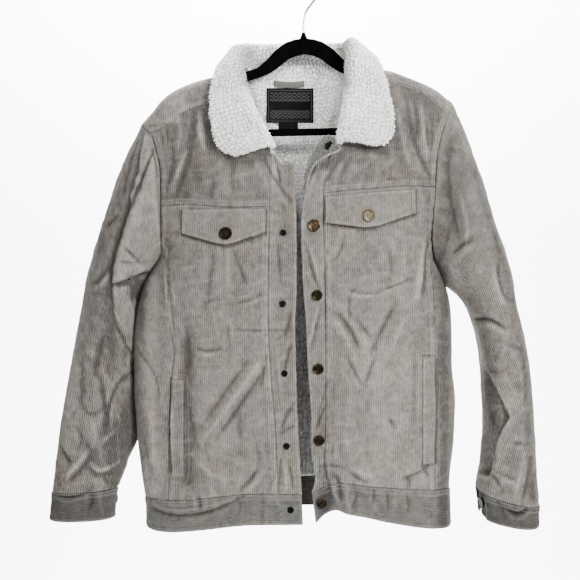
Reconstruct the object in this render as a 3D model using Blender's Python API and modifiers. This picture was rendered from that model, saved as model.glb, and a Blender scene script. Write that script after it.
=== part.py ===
"""Corduroy trucker jacket with a sherpa lining, hanging open on a slim hanger.

Blender 4.5, metres, +Z up. The jacket's front faces -Y. The origin is the top of the inside of
the hook, where a rail carries it. All tables and sizes are in millimetres.

The body is a tube that closes at the shoulder ridges. Its front and back are height fields over
the plane of the hanger: how far a side reaches and how deep the tube is come from short tables by
level. Each panel is a patch of that surface between four seams, thickened inward. The sleeves
are lofts between rings that each run from an outer point to an inner point. Left and right mean
-X and +X throughout.
"""

import math

import bmesh
import bpy
import numpy as np
from mathutils import Matrix, Vector

MM = 0.001

# Cloth and fit
SHELL = 2.2  # thickness of the corduroy
SHERPA = 3.6  # thickness of the body lining
SEAM_GAP = 0.3  # between pieces that are sewn together
LAY_GAP = 0.6  # under a piece that lies on a panel
LINING_MARGIN = 9.0  # how far a lining ends from the seams around it
COLLAR_PILE = 8.0  # thickness of the upper collar
UNDER_COLLAR = 2.0  # thickness of the under collar
SIDE_ROUNDING = 2.6  # exponent of the body's section
LOOP_ROUNDING = 2.4  # exponent of the armhole and of the sleeve's rings
RIDGE_RADIUS = 12.0  # how round the cloth passes over the hanger
FRONT_RAMP = 210.0  # drop below the ridge at which the front is full
BACK_RAMP = 160.0
LOOP_DEPTH = {"front": 44.0, "back": 42.0}
SPLIT = math.radians(125)  # where the top sleeve meets the under sleeve

# Hanger
HANGER_THICK = 5.0
HANGER_TILT = math.radians(1.2)
WIRE = 4.0
HOOK_RADIUS = 24.0
HOOK_BASE = -87.6
HOOK_SHANK = ((1, HOOK_BASE), (2.2, -74), (3.6, -61), (6.5, -53), (11.5, -46))
HOOK_SWEEP = (-38, 206, 14)  # the round part, in degrees: from, to and step
NECK_AT = 1.5  # the hanger's neck stands this far to the right
NECK_RADII = (2.6, 3.4, 6.0)  # at the wire, at the chamfer and at the hanger
NECK_CHAMFER = 2.5


def table(names, *rows):
    """A table with named columns, one row per level or fold."""
    data = np.array(rows, dtype=float)
    return {name: data[:, i] for i, name in enumerate(names.split())}


SIDES = ("left", "right")
SIGN = {"left": -1.0, "right": 1.0}

# Where the body turns round at the side, below the armhole
SIDE = {
    "left": table(
        "z x",
        (-880, -245), (-822, -246), (-790, -251), (-721, -260), (-665, -262), (-604, -264.7),
        (-546, -261), (-508, -254), (-477, -244), (-440, -224),
    ),
    "right": table(
        "z x",
        (-880, 233), (-822, 231.5), (-790, 230), (-721, 238), (-665, 238), (-604, 234),
        (-546, 232), (-508, 228.5), (-477, 220), (-444, 205),
    ),
}  # fmt: skip
# The armhole seam as seen from the front, from the underarm to the shoulder point
ARMHOLE = {
    "left": table(
        "z x",
        (-440, -224), (-420, -219.5), (-380, -218.5), (-343, -219), (-309, -220), (-280, -225),
        (-261, -231), (-250, -236), (-236, -254),
    ),
    "right": table(
        "z x",
        (-444, 205), (-425, 200.5), (-390, 199.5), (-343, 203), (-309, 205), (-284, 207),
        (-253, 214), (-221, 226), (-200, 236),
    ),
}  # fmt: skip
# Half depth of the body to the front and to the back
DEPTH = table(
    "z front back",
    (-880, 70, 62), (-800, 73, 66), (-700, 78, 74), (-600, 82, 78), (-500, 84, 78),
    (-420, 82, 74), (-340, 80, 68), (-100, 80, 66),
)  # fmt: skip
# The top line of the shoulders; the neck opens between its middle rows
RIDGE = table(
    "x z",
    (-254, -236), (-246, -225), (-232, -209), (-221, -195), (-200, -179), (-163, -164),
    (-134, -157), (-98, -146), (-50, -118), (-5, -108), (40, -113), (74, -129.5),
    (100, -141), (120, -145.5), (139, -149.5), (175, -162.5), (208, -178), (228, -194), (236, -200),
)  # fmt: skip
# Seams across the body
STRAP_SEAM = {
    "left": table("x z", (-236, -250), (-201, -233), (-180, -216), (-139, -205), (-86, -190)),
    "right": table("x z", (69, -151), (129, -167), (155, -176), (191, -190), (226, -221)),
}
CHEST_SEAM = {
    "left": table("x z", (-219, -364), (-183, -362), (-114, -367), (-51, -367), (0, -367)),
    "right": table("x z", (-3, -357), (31, -347), (56, -343), (101, -339), (159, -334), (204, -334)),
}
HEM_SEAM = {
    "left": table("x z", (-265, -814), (-199, -814), (-155, -810), (-87, -802), (0, -802)),
    "right": table("x z", (13, -800), (31, -791), (55, -785), (96, -790), (160, -796), (240, -803)),
}
HEM = {
    "left": table("x z", (-265, -855), (-246, -857), (-215, -864), (-160, -859), (-90, -850), (0, -848)),
    "right": table(
        "x z",
        (10, -842), (19, -845), (33, -832), (50, -826), (66, -832), (96, -838), (134, -847),
        (210, -860), (233, -856), (245, -855),
    ),
}  # fmt: skip
BACK_HEM = table(
    "x z",
    (-265, -855), (-246, -856), (-150, -846), (0, -840), (150, -844), (233, -855), (245, -855),
)  # fmt: skip
BACK_HEM_SEAM = table("x z", (-265, -814), (-150, -800), (0, -793), (150, -795), (240, -803))
BACK_YOKE_SEAM = table("x z", (-221, -304), (0, -290), (206, -286))
# Seams along the body, from the hem up
FRONT_EDGE = {
    "left": table(
        "z x",
        (-850, 0), (-800, -2), (-695, -8), (-540, -12), (-500, -10), (-402, -10), (-304, -14),
    ),
    "right": table(
        "z x",
        (-846, 19), (-836, 13), (-800, 13), (-779, 18), (-735, 12), (-679, 12), (-611, 7),
        (-540, 4), (-474, -1), (-385, -3), (-343, 2), (-318, 4), (-290, 9),
    ),
}  # fmt: skip
PLACKET_SEAM = {
    "left": table("z x", (-800, -38), (-693, -43), (-631, -48), (-531, -53), (-367, -51), (-286, -49)),
    "right": table("z x", (-792, 31), (-658, 34), (-507, 33), (-347, 31), (-290, 38)),
}
PANEL_SEAM = {
    "left": table(
        "z x",
        (-814, -206), (-772, -205), (-628, -200), (-585, -196), (-540, -204), (-492, -206),
        (-445, -212),
    ),
    "right": table("z x", (-803, 203), (-753, 202), (-594, 203), (-500, 200), (-445, 197)),
}  # fmt: skip
BACK_SEAM = {
    "left": table("z x", (-814, -204), (-600, -206), (-500, -205), (-445, -211)),
    "right": table("z x", (-803, 190), (-600, 194), (-500, 192), (-445, 195)),
}
SEAM_JOINS_ARMHOLE = {"left": -420.0, "right": -424.0}
HEM_LEVEL = -800.0  # level at which the front's edges are read to begin the hem seam
# Inner edge of each chest yoke: the placket seam, then the neckline
YOKE_INNER = {
    "left": table("x z", (-51, -367), (-50, -325), (-49, -286), (-56, -250), (-72, -224), (-86, -190)),
    "right": table("x z", (31, -347), (34, -312), (47, -277), (55, -244), (62, -205), (69, -151)),
}
# Sleeves: the outer and the inner point of each ring, half depths, and how far the ring's front
# hangs lower than its back
SLEEVE = {
    "left": table(
        "outer_x outer_z inner_x inner_z front back shift drop",
        (-254, -236, -224, -440, 44, 42, 0, 0),
        (-266, -262, -226, -446, 50, 48, 0, 0),
        (-285, -304, -234, -456, 56, 55, 0, 0),
        (-302, -351, -246, -471, 58, 60, 1, 0),
        (-317, -398, -256, -493, 58, 62, 2, 0),
        (-331, -445, -263, -521, 56, 62, 3, 0),
        (-345, -508, -267.5, -560, 54, 60, 4, 0),
        (-357, -571, -268.5, -604, 52, 56, 4, 0),
        (-368, -634, -266.5, -660, 50, 52, 4, 0),
        (-379, -696, -265, -714, 46, 46, 3, 0),
        (-387, -759, -275, -762, 38, 38, 2, 0),
        (-393, -806, -289, -799, 30, 30, 0, 4),
    ),
    "right": table(
        "outer_x outer_z inner_x inner_z front back shift drop",
        (236, -200, 205, -444, 44, 42, 0, 0),
        (253, -241, 208, -450, 50, 50, 0, 0),
        (266, -278, 213, -458, 56, 58, 0, 0),
        (285, -330, 223, -471, 60, 64, 0, 0),
        (303, -392, 238, -493, 62, 66, 0, 0),
        (320, -442, 255, -516, 62, 66, 0, 0),
        (333, -508, 268, -547, 60, 66, 0, 0),
        (348, -571, 278, -587, 58, 64, 0, 0),
        (357, -634, 280, -641, 55, 60, 0, 0),
        (362, -696, 283, -695, 50, 54, 0, 0),
        (366, -759, 279, -752, 42, 44, 0, 4),
        (371, -826, 272, -800, 32, 32, 0, 10),
    ),
}
CUFF_END = {
    "left": table(
        "outer_x outer_z inner_x inner_z front back shift drop",
        (-397, -850, -294, -846, 27, 27, 0, 4),
    ),
    "right": table(
        "outer_x outer_z inner_x inner_z front back shift drop",
        (371, -858, 276, -840, 28, 28, 0, 12),
    ),
}
# Where each cuff closes, as the ring angle of its edge; the tab goes on under it to the inner point
CUFF_EDGE = {"left": math.radians(-142), "right": math.radians(142)}
CUFF_FAR = math.radians(178)  # the cuff's other edge
CUFF_LAP = 0.25  # how far the tab goes under the cuff, in radians
TAB_END = math.radians(176)
CUFF_SNAP_AT = math.radians(160)
# Collar: the neck seam, where the stand ends and the roll begins, and the outer edge, from the
# left front round the back to the right front
COLLAR = table(
    "neck_x neck_y neck_z roll_x roll_y roll_z edge_x edge_y edge_z",
    (-43, -76.5, -272, -44, -81, -271, -106, -83, -291),
    (-55, -70, -250, -57, -76, -247, -130, -73, -266),
    (-70, -58.5, -224, -72, -66, -220, -137, -67, -230),
    (-81, -44, -194, -84, -56, -187, -139, -61, -196),
    (-89, -28, -159, -92, -41, -150, -138, -49, -174),
    (-91, -4, -137, -94, -14, -124, -131, -17, -141),
    (-77, 20, -139, -81, 20, -113, -112, 40, -145),
    (-48, 28, -150, -50, 31, -110, -62, 64, -157),
    (-5, 32, -151, -6, 36, -107, -6, 68, -162),
    (31, 28, -148, 32, 31, -108, 42, 64, -157),
    (58, 18, -134, 60, 19, -111, 92, 38, -143),
    (68, -5, -121, 66, -12, -112, 113, -17, -129),
    (66, -33, -145, 67, -42, -139, 124, -47, -163),
    (63, -49, -188, 66, -58, -181, 128, -61, -194),
    (60, -60, -217, 62, -67, -213, 134, -67, -224),
    (54, -70, -243, 56, -76, -240, 135, -73, -248),
    (51, -76.5, -266, 52, -81, -265, 124, -83, -273),
)
ROLL_RADIUS = 11.6
NECK_SEAM_DROP = 2.0  # the back neck seam lies this far under the collar's stand
# The largest folds: a soft trough (negative) or ridge along a line on one face of the body
FOLDS = {
    "front": table(
        "x0 z0 x1 z1 width depth",
        (-62, -620, -146, -712, 13, -4),
        (-78, -610, -165, -700, 14, 3.5),
        (40, -560, 92, -636, 15, -3.5),
        (150, -560, 92, -636, 15, -3),
        (-185, -235, -180, -350, 14, 3),
        (175, -225, 168, -320, 14, 3),
        (60, -790, 72, -842, 16, 5),
        (43, -798, 47, -840, 9, -4),
    ),
    "back": table(
        "x0 z0 x1 z1 width depth",
        (-120, -330, -90, -700, 26, 4),
        (110, -330, 90, -690, 26, 4),
        (-20, -400, 0, -760, 24, -4),
        (-180, -430, -110, -560, 18, -4),
        (165, -430, 105, -560, 18, -4),
    ),
}
SLEEVE_FOLDS = {
    "left": table(
        "x0 z0 x1 z1 width depth",
        (-262, -258, -280, -352, 12, -7),
        (-280, -352, -289, -470, 11, -9),
        (-292, -480, -268, -600, 12, -6),
        (-268, -300, -250, -430, 18, 5),
        (-345, -560, -318, -640, 14, -5),
        (-318, -640, -345, -720, 14, 4),
    ),
    "right": table(
        "x0 z0 x1 z1 width depth",
        (262, -540, 318, -560, 11, -5),
        (232, -290, 288, -470, 20, 4),
        (284, -585, 330, -690, 12, -5),
        (330, -690, 320, -790, 14, 4),
    ),
}
SNAPS = {  # height of each snap down the fronts, and its distance in from the edge
    "left": table("z x", (-406, -30), (-513, -31), (-618, -28), (-728, -25), (-825, -19)),
    "right": table("z x", (-395, 16), (-500, 21), (-611, 23), (-719, 24), (-815, 28)),
}
HEM_SNAPS_BELOW = -803.0  # snaps lower than this sit on the hem bands
CAP_RADIUS = 8.6
SOCKET_RADIUS = 5.2
TOP_SOCKET_RADIUS = 6.0
TOP_SOCKET = (38, -276)
FLAP_SNAP = {"left": (-116, -407), "right": (98, -380)}
# Pocket flaps: both sides' x, the levels of their lower corners, the point, and the top edge
FLAP = {
    "left": {"x": (-183, -57), "corners": (-406, -405), "point": (-117, -425), "top": -369.5},
    "right": {"x": (33, 170), "corners": (-391, -375), "point": (101, -399), "top": None},
}
FLAP_BELOW_SEAM = 4.5  # a flap without a level top follows the chest seam this far below it
# Hand pocket welts: x and z from and to
WELT = {"left": ((-199, -181), (-776, -628)), "right": ((182, 201), (-758, -596))}
# The right front's top corner, turned back: the fold and the free edge at each level
TURNED_CORNER = table(
    "z fold free",
    (-340, 2, 4), (-326, 4, 7), (-312, 7, 12), (-300, 10, 21), (-290, 14, 38), (-282, 18, 54),
    (-274, 22, 50), (-262, 29, 45),
)  # fmt: skip
# Pieces sewn to the back lining: x and z from and to, and thickness
NECK_LABEL = ((-59, 18), (-221, -167), 1.0)
SIZE_TAB = ((-39, -7), (-232, -221.4), 1.0)
HANGING_LOOP = ((-47, 3), (-166.4, -157.5), 1.6)


def smooth(at_rows, values, at):
    """Value at `at` on a curve through the rows, whose slope at a row is that of its neighbours."""
    last = len(at_rows) - 1
    at = min(max(at, at_rows[0]), at_rows[last])
    i = min(int(np.searchsorted(at_rows, at, side="right")) - 1, last - 1)
    step = at_rows[i + 1] - at_rows[i]
    low, high = max(i - 1, 0), min(i + 2, last)
    slope_a = (values[i + 1] - values[low]) / (at_rows[i + 1] - at_rows[low]) * step
    slope_b = (values[high] - values[i]) / (at_rows[high] - at_rows[i]) * step
    t = (at - at_rows[i]) / step
    return (
        (2 * t**3 - 3 * t**2 + 1) * values[i]
        + (t**3 - 2 * t**2 + t) * slope_a
        + (3 * t**2 - 2 * t**3) * values[i + 1]
        + (t**3 - t**2) * slope_b
    )


def read(rows, value, by, at):
    return smooth(rows[by], rows[value], at)


def unit(vector):
    return vector / max(np.linalg.norm(vector), 1e-9)


def power(value, exponent):
    return math.copysign(abs(value) ** exponent, value)


# The body's surface


def side_of(x):
    return "left" if x < 0 else "right"


def armhole_span(side):
    rows = ARMHOLE[side]["z"]
    return rows[0], rows[-1]


def reach(side, z):
    """X of the body's side below the underarm, or of the armhole seam above it."""
    if z < SIDE[side]["z"][-1]:
        return read(SIDE[side], "x", "z", z)
    return read(ARMHOLE[side], "x", "z", z)


def loop_half_depth(side, face, z):
    """How far the armhole seam stands from the hanger's plane at a level."""
    low, high = armhole_span(side)
    t = min(max((z - low) / (high - low), 0.0), 1.0)
    return LOOP_DEPTH[face] * max(1 - abs(2 * t - 1) ** LOOP_ROUNDING, 0.0) ** (1 / LOOP_ROUNDING)


def full_depth(face, x, z):
    """Depth of the body where its side doesn't round it off yet."""
    drop = max(read(RIDGE, "z", "x", x) - z, 0.0)
    ramp = FRONT_RAMP if face == "front" else BACK_RAMP
    cap = RIDGE_RADIUS * math.sqrt(1 - (1 - min(drop, RIDGE_RADIUS) / RIDGE_RADIUS) ** 2)
    growth = 1 - (1 - min(drop / ramp, 1.0)) ** 1.8
    return cap + (read(DEPTH, face, "z", z) - RIDGE_RADIUS) * growth


def fullness(side, face, z):
    """How much of the rounding falls inside the edge: 1 below the underarm, less at the armhole."""
    low, high = armhole_span(side)
    if z <= low:
        return 1.0
    edge = full_depth(face, reach(side, z), min(z, high))
    share = min(loop_half_depth(side, face, z) / max(edge, 1e-6), 0.97)
    if z >= high:
        share = 0.97
    return 1 - share**SIDE_ROUNDING


def angle_of(side, face, x, z):
    """Angle round the body's section, 0 at the centre, of a point given by its X."""
    part = abs(x / reach(side, z)) * fullness(side, face, z) ** (1 / SIDE_ROUNDING)
    return math.asin(min(part ** (SIDE_ROUNDING / 2), 1.0))


def body_base(side, face, angle, z):
    """The smooth body surface at an angle round its section and a level."""
    full = fullness(side, face, z)
    x = reach(side, z) * abs(math.sin(angle)) ** (2 / SIDE_ROUNDING) / full ** (1 / SIDE_ROUNDING)
    depth = full_depth(face, x, z) * max(math.cos(angle), 0.0) ** (2 / SIDE_ROUNDING)
    return np.array([x, -depth if face == "front" else depth, z])


def folds_at(rows, x, z):
    """Height of the folds of a face at a point of the hanger's plane."""
    height = 0.0
    for x0, z0, x1, z1, width, depth in zip(*(rows[k] for k in ("x0", "z0", "x1", "z1", "width", "depth"))):
        along = np.array([x1 - x0, z1 - z0])
        length = np.linalg.norm(along)
        t = ((x - x0) * along[0] + (z - z0) * along[1]) / length**2
        near = min(max(t, 0.0), 1.0)
        away = math.hypot(x - x0 - near * along[0], z - z0 - near * along[1])
        height += depth * math.exp(-((away / width) ** 2)) * math.sin(math.pi * (0.15 + 0.7 * near))
    return height


def body_normal(side, face, angle, z):
    step_angle, step_z = 0.01, 0.6
    if math.pi / 2 - angle < 1e-3 and z <= armhole_span(side)[0]:
        slope = (reach(side, z + step_z) - reach(side, z - step_z)) / (2 * step_z)
        return unit(np.array([SIGN[side], 0.0, -SIGN[side] * slope]))
    before = max(angle - step_angle, 0.0)
    across = body_base(side, face, angle + step_angle, z) - body_base(side, face, before, z)
    up = body_base(side, face, angle, z + step_z) - body_base(side, face, angle, z - step_z)
    normal = unit(np.cross(across, up))
    outward = np.array([0.0, -1.0 if face == "front" else 1.0, 0.02])
    return normal if normal @ outward >= 0 else -normal


def body_point(side, face, angle, z):
    """Point and outward normal of the body with its folds."""
    base = body_base(side, face, angle, z)
    normal = body_normal(side, face, angle, z)
    fade = min((math.pi / 2 - angle) / 0.5, 1.0)
    return base + normal * folds_at(FOLDS[face], base[0], z) * fade, normal


def body_at(face, x, z):
    side = side_of(x)
    return body_point(side, face, angle_of(side, face, x, z), z)


# The armhole and the sleeves


def loop_level(side, turn):
    """Level of the armhole seam at a turn, from 0 at the shoulder point to pi at the underarm."""
    low, high = armhole_span(side)
    return (low + high) / 2 + (high - low) / 2 * power(math.cos(turn), 2 / LOOP_ROUNDING)


def loop_turn(side, z):
    low, high = armhole_span(side)
    part = (2 * z - low - high) / (high - low)
    return math.acos(power(min(max(part, -1.0), 1.0), LOOP_ROUNDING / 2))


def loop_base(side, turn):
    """Point and body normal of the armhole seam; a negative turn is on the back."""
    face = "front" if turn >= 0 else "back"
    z = loop_level(side, abs(turn))
    low, high = armhole_span(side)
    if abs(turn) < 1e-6 or z >= high - 1e-6:
        return np.array([reach(side, high), 0.0, high]), unit(np.array([SIGN[side], 0.0, 1.0]))
    if z <= low + 1e-6:
        return np.array([reach(side, low), 0.0, low]), np.array([SIGN[side], 0.0, 0.0])
    x = reach(side, z)
    return body_point(side, face, angle_of(side, face, x, z), z)


def ring_point(side, rows, i, turn):
    """Point of ring i of a sleeve table at a turn, 0 at the outer point and pi at the inner one."""
    outer = np.array([rows["outer_x"][i], 0.0, rows["outer_z"][i]])
    inner = np.array([rows["inner_x"][i], 0.0, rows["inner_z"][i]])
    across = power(math.cos(turn), 2 / LOOP_ROUNDING)
    away = abs(math.sin(turn)) ** (2 / LOOP_ROUNDING)
    front = turn % (2 * math.pi) < math.pi
    depth = rows["front"][i] if front else rows["back"][i]
    point = (outer + inner) / 2 + (outer - inner) / 2 * across
    point[1] = rows["shift"][i] + (-depth if front else depth) * away
    point[2] += (-rows["drop"][i] if front else rows["drop"][i]) * away
    return point


def sleeve_base(side, row, turn):
    """The smooth sleeve at a row of its table, whole or between two, and a turn."""
    rows = SLEEVE[side]
    last = len(rows["front"]) - 1
    signed = turn if turn <= math.pi else turn - 2 * math.pi
    i = min(int(row), last - 1)
    t = row - i

    def knot(k):
        if k == 0:
            return loop_base(side, signed)[0]
        return ring_point(side, rows, k, turn % (2 * math.pi))

    before, a, b, after = (knot(min(max(k, 0), last)) for k in (i - 1, i, i + 1, i + 2))
    bend = 2 * before - 5 * a + 4 * b - after
    twist = 3 * a - before - 3 * b + after
    return 0.5 * (2 * a + (b - before) * t + bend * t**2 + twist * t**3)


def sleeve_normal(side, row, turn):
    last = len(SLEEVE[side]["front"]) - 1
    along = sleeve_base(side, min(row + 0.05, last), turn) - sleeve_base(side, max(row - 0.05, 0.0), turn)
    around = sleeve_base(side, row, turn + 0.02) - sleeve_base(side, row, turn - 0.02)
    return unit(np.cross(around, along)) * SIGN[side]


def sleeve_point(side, row, turn):
    """Point and outward normal of a sleeve with its folds."""
    base = sleeve_base(side, row, turn)
    if row < 1e-6:
        return loop_point(side, turn if turn <= math.pi else turn - 2 * math.pi)
    normal = sleeve_normal(side, row, turn)
    facing = max(-normal[1], 0.0)
    return base + normal * folds_at(SLEEVE_FOLDS[side], base[0], base[2]) * facing * min(row, 1.0), normal


def loop_point(side, turn):
    """The armhole seam with the normal that the body and the sleeve share there."""
    point, body = loop_base(side, turn)
    sleeve = sleeve_normal(side, 0.02, turn % (2 * math.pi))
    return point, unit(body + sleeve)


# Walls


def moved(grid, lift):
    """Points of a grid of (point, normal), moved along the normals."""
    return [[point + normal * lift for point, normal in row] for row in grid]


def pulled_in(grid, gap, sides):
    """The grid with its border drawn in by a gap on the named sides: first and last row or column."""
    rows = [list(row) for row in grid]

    def draw(a, b):
        share = gap / max(np.linalg.norm(b[0] - a[0]), 1e-6)
        return a[0] + (b[0] - a[0]) * share, a[1] + (b[1] - a[1]) * share

    if "first_row" in sides:
        rows[0] = [draw(a, b) for a, b in zip(rows[0], rows[1])]
    if "last_row" in sides:
        rows[-1] = [draw(a, b) for a, b in zip(rows[-1], rows[-2])]
    for row in rows:
        if "first_column" in sides:
            row[0] = draw(row[0], row[1])
        if "last_column" in sides:
            row[-1] = draw(row[-1], row[-2])
    return rows


ALL_SIDES = ("first_row", "last_row", "first_column", "last_column")


def finish(mesh_name, data, material):
    mesh = bpy.data.meshes.new(mesh_name)
    data.to_mesh(mesh)
    data.free()
    mesh.materials.append(material)
    mesh.shade_smooth()
    mesh.set_sharp_from_angle(angle=math.radians(50))
    piece = bpy.data.objects.new(mesh_name, mesh)
    JACKET.objects.link(piece)
    return piece


def facets(grid, i, j):
    """The two facets of a cell of a grid, cut along its shorter diagonal, as (row, column)."""
    a, b, c, d = (i, j), (i, j + 1), (i + 1, j + 1), (i + 1, j)
    points = [grid[row][column][0] for row, column in (a, b, c, d)]
    if np.linalg.norm(points[0] - points[2]) <= np.linalg.norm(points[1] - points[3]):
        return (a, b, c), (a, c, d)
    return (a, b, d), (b, c, d)


def wall(name, material, grid, thickness, lift=0.0, margin=SEAM_GAP / 2, drawn=ALL_SIDES, present=None):
    """A cloth wall on a grid of (point, normal): a loft between unlike sections, closed at its
    edges. It ends a margin short of its drawn sides, and `present` says which cells are there."""
    drawn_grid = pulled_in(grid, margin, drawn)
    layers = moved(drawn_grid, lift), moved(drawn_grid, lift - thickness)
    cells = {(i, j) for i in range(len(grid) - 1) for j in range(len(grid[0]) - 1)}
    if present is not None:
        cells = {cell for cell in cells if present(*cell)}
    data = bmesh.new()
    made = {}

    def corner(layer, place):
        key = (layer, place)
        if key not in made:
            made[key] = data.verts.new(layers[layer][place[0]][place[1]] * MM)
        return made[key]

    for i, j in sorted(cells):
        for facet in facets(grid, i, j):
            data.faces.new([corner(0, place) for place in facet])
            data.faces.new([corner(1, place) for place in reversed(facet)])
        loop = ((i, j), (i, j + 1), (i + 1, j + 1), (i + 1, j))
        beside = ((i - 1, j), (i, j + 1), (i + 1, j), (i, j - 1))
        for k in range(4):
            if beside[k] not in cells:
                a, b = loop[k], loop[(k + 1) % 4]
                data.faces.new([corner(0, b), corner(0, a), corner(1, a), corner(1, b)])
    bmesh.ops.recalc_face_normals(data, faces=data.faces)
    return finish(name, data, material)


def on_facets(grid, x, z, lift):
    """Point at a height over the facets of a grid, and their normal, at a place of the hanger's plane."""
    place = np.array([x, z])
    for i in range(len(grid) - 1):
        for j in range(len(grid[0]) - 1):
            for facet in facets(grid, i, j):
                corners = [grid[row][column][0] + grid[row][column][1] * lift for row, column in facet]
                a, b, c = (corner[[0, 2]] for corner in corners)
                span = np.array([b - a, c - a]).T
                if abs(np.linalg.det(span)) < 1e-9:
                    continue
                s, t = np.linalg.solve(span, place - a)
                if min(s, t, 1 - s - t) >= -1e-6:
                    point = corners[0] + s * (corners[1] - corners[0]) + t * (corners[2] - corners[0])
                    normal = unit(np.cross(corners[1] - corners[0], corners[2] - corners[0]))
                    return point, math.copysign(1.0, point[1] * normal[1]) * normal
    raise ValueError(f"no facet at {x}, {z}")


def between(start, end, count):
    return [start + (end - start) * i / count for i in range(count + 1)]


def curve_points(rows, start, end, count, by="x"):
    """Points (x, z) of a seam's table from one place to another."""
    value = "z" if by == "x" else "x"
    places = between(start, end, count)
    if by == "x":
        return [(x, read(rows, value, by, x)) for x in places]
    return [(read(rows, value, by, z), z) for z in places]


def patch(bottom, top, first, last):
    """Coons patch in the hanger's plane: rows run from bottom to top, columns from first to last."""
    rows, columns = len(first) - 1, len(bottom) - 1
    bottom, top, first, last = (np.array(side, dtype=float) for side in (bottom, top, first, last))
    grid = []
    for i in range(rows + 1):
        v = i / rows
        row = []
        for j in range(columns + 1):
            u = j / columns
            ruled = (1 - v) * bottom[j] + v * top[j] + (1 - u) * first[i] + u * last[i]
            low = (1 - u) * bottom[0] + u * bottom[-1]
            high = (1 - u) * top[0] + u * top[-1]
            row.append(ruled - (1 - v) * low - v * high)
        grid.append(row)
    return grid


def lifted(face, plan, extra=0.0):
    """A plan grid laid on a face of the body."""
    grid = []
    for row in plan:
        grid.append([])
        for x, z in row:
            point, normal = body_at(face, x, z)
            grid[-1].append((point + normal * extra, normal))
    return grid


# Counts of rows and columns
TURNS = {"strap": 3, "yoke": 5, "panel": 3, "under": 2, "back_yoke": 4, "back_panel": 3}
PANEL_ROWS = 9
PANEL_COLUMNS = 5
SIDE_COLUMNS = 3
PLACKET_COLUMNS = 2
PLACKET_YOKE_ROWS = 2  # rows of the chest yoke beside the placket, up to the neck corner
YOKE_NECK_COLUMNS = 5
BACK_COLUMNS = 2 * PANEL_COLUMNS + YOKE_NECK_COLUMNS
LINING_NARROWS = PANEL_ROWS - 2  # row from which the linings leave out the column at the armhole
HEM_ROWS = 2
COLLAR_SECTIONS = 20
FLAP_ROWS, FLAP_COLUMNS = 2, 6
WELT_ROWS, WELT_COLUMNS = 6, 2
CORNER_COLUMNS = 3
LABEL_ROWS, LABEL_COLUMNS = 3, 6
ROLL_STEPS = 3


def front_turns(side):
    """Turns of the armhole's vertices on the front, with one at each seam that meets it."""
    strap = loop_turn(side, STRAP_SEAM[side]["z"][0 if side == "left" else -1])
    chest = loop_turn(side, CHEST_SEAM[side]["z"][0 if side == "left" else -1])
    join = loop_turn(side, SEAM_JOINS_ARMHOLE[side])
    return {
        "strap": between(0.0, strap, TURNS["strap"]),
        "yoke": between(strap, chest, TURNS["yoke"]),
        "panel": between(chest, join, TURNS["panel"]),
        "under": between(join, math.pi, TURNS["under"]),
    }


def back_turns(side):
    yoke = loop_turn(side, BACK_YOKE_SEAM["z"][0 if side == "left" else -1])
    join = loop_turn(side, SEAM_JOINS_ARMHOLE[side])
    return {
        "back_yoke": between(0.0, yoke, TURNS["back_yoke"]),
        "back_panel": between(yoke, join, TURNS["back_panel"]),
        "under": between(join, math.pi, TURNS["under"]),
    }


def loop_plan(side, turns):
    """Armhole vertices in the hanger's plane."""
    return [(reach(side, loop_level(side, turn)), loop_level(side, turn)) for turn in turns]


def on_loop(grid, column, rows, side, turns):
    """Puts the armhole's own points and normals in a column of a grid."""
    for i, turn in zip(rows, turns):
        grid[i][column] = loop_point(side, turn)


def seam_side(side, face):
    return PANEL_SEAM[side] if face == "front" else BACK_SEAM[side]


def hem_seam_of(side, face):
    return HEM_SEAM[side] if face == "front" else BACK_HEM_SEAM


def outer_column(side, face):
    """The outer edge of a front or back panel: its seam up to the armhole, then the armhole."""
    seam = seam_side(side, face)
    bottom_x = seam["x"][0]
    bottom = read(hem_seam_of(side, face), "z", "x", bottom_x)
    join = SEAM_JOINS_ARMHOLE[side]
    join_x = reach(side, join)
    points = []
    for z in between(bottom, join, PANEL_ROWS):
        x = read(seam, "x", "z", z)
        top_x = seam["x"][-1]
        blend = max((z - seam["z"][-1]) / (join - seam["z"][-1]), 0.0)
        points.append((x + (join_x - top_x) * blend, z))
    return points


def side_levels(side, face):
    return [z for _, z in outer_column(side, face)]


def front_panel_plan(side):
    """Front from the hem seam to the chest seam, in the hanger's plane."""
    turns = list(reversed(front_turns(side)["panel"]))
    outer = outer_column(side, "front") + loop_plan(side, turns[1:])
    inner_bottom = read(PLACKET_SEAM[side], "x", "z", HEM_LEVEL)
    inner_z = [z for _, z in outer]
    top = read(CHEST_SEAM[side], "z", "x", PLACKET_SEAM[side]["x"][-2])
    bottom = read(HEM_SEAM[side], "z", "x", inner_bottom)
    scale = (top - bottom) / (inner_z[-1] - inner_z[0])
    inner = []
    for z in inner_z:
        level = bottom + (z - inner_z[0]) * scale
        inner.append((read(PLACKET_SEAM[side], "x", "z", level), level))
    hem = curve_points(HEM_SEAM[side], inner[0][0], outer[0][0], PANEL_COLUMNS)
    chest = curve_points(CHEST_SEAM[side], inner[-1][0], outer[-1][0], PANEL_COLUMNS)
    return patch(hem, chest, inner, outer)


def front_panel(side):
    grid = lifted("front", front_panel_plan(side))
    turns = list(reversed(front_turns(side)["panel"]))
    on_loop(grid, -1, range(PANEL_ROWS, len(grid)), side, turns)
    return grid


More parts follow.
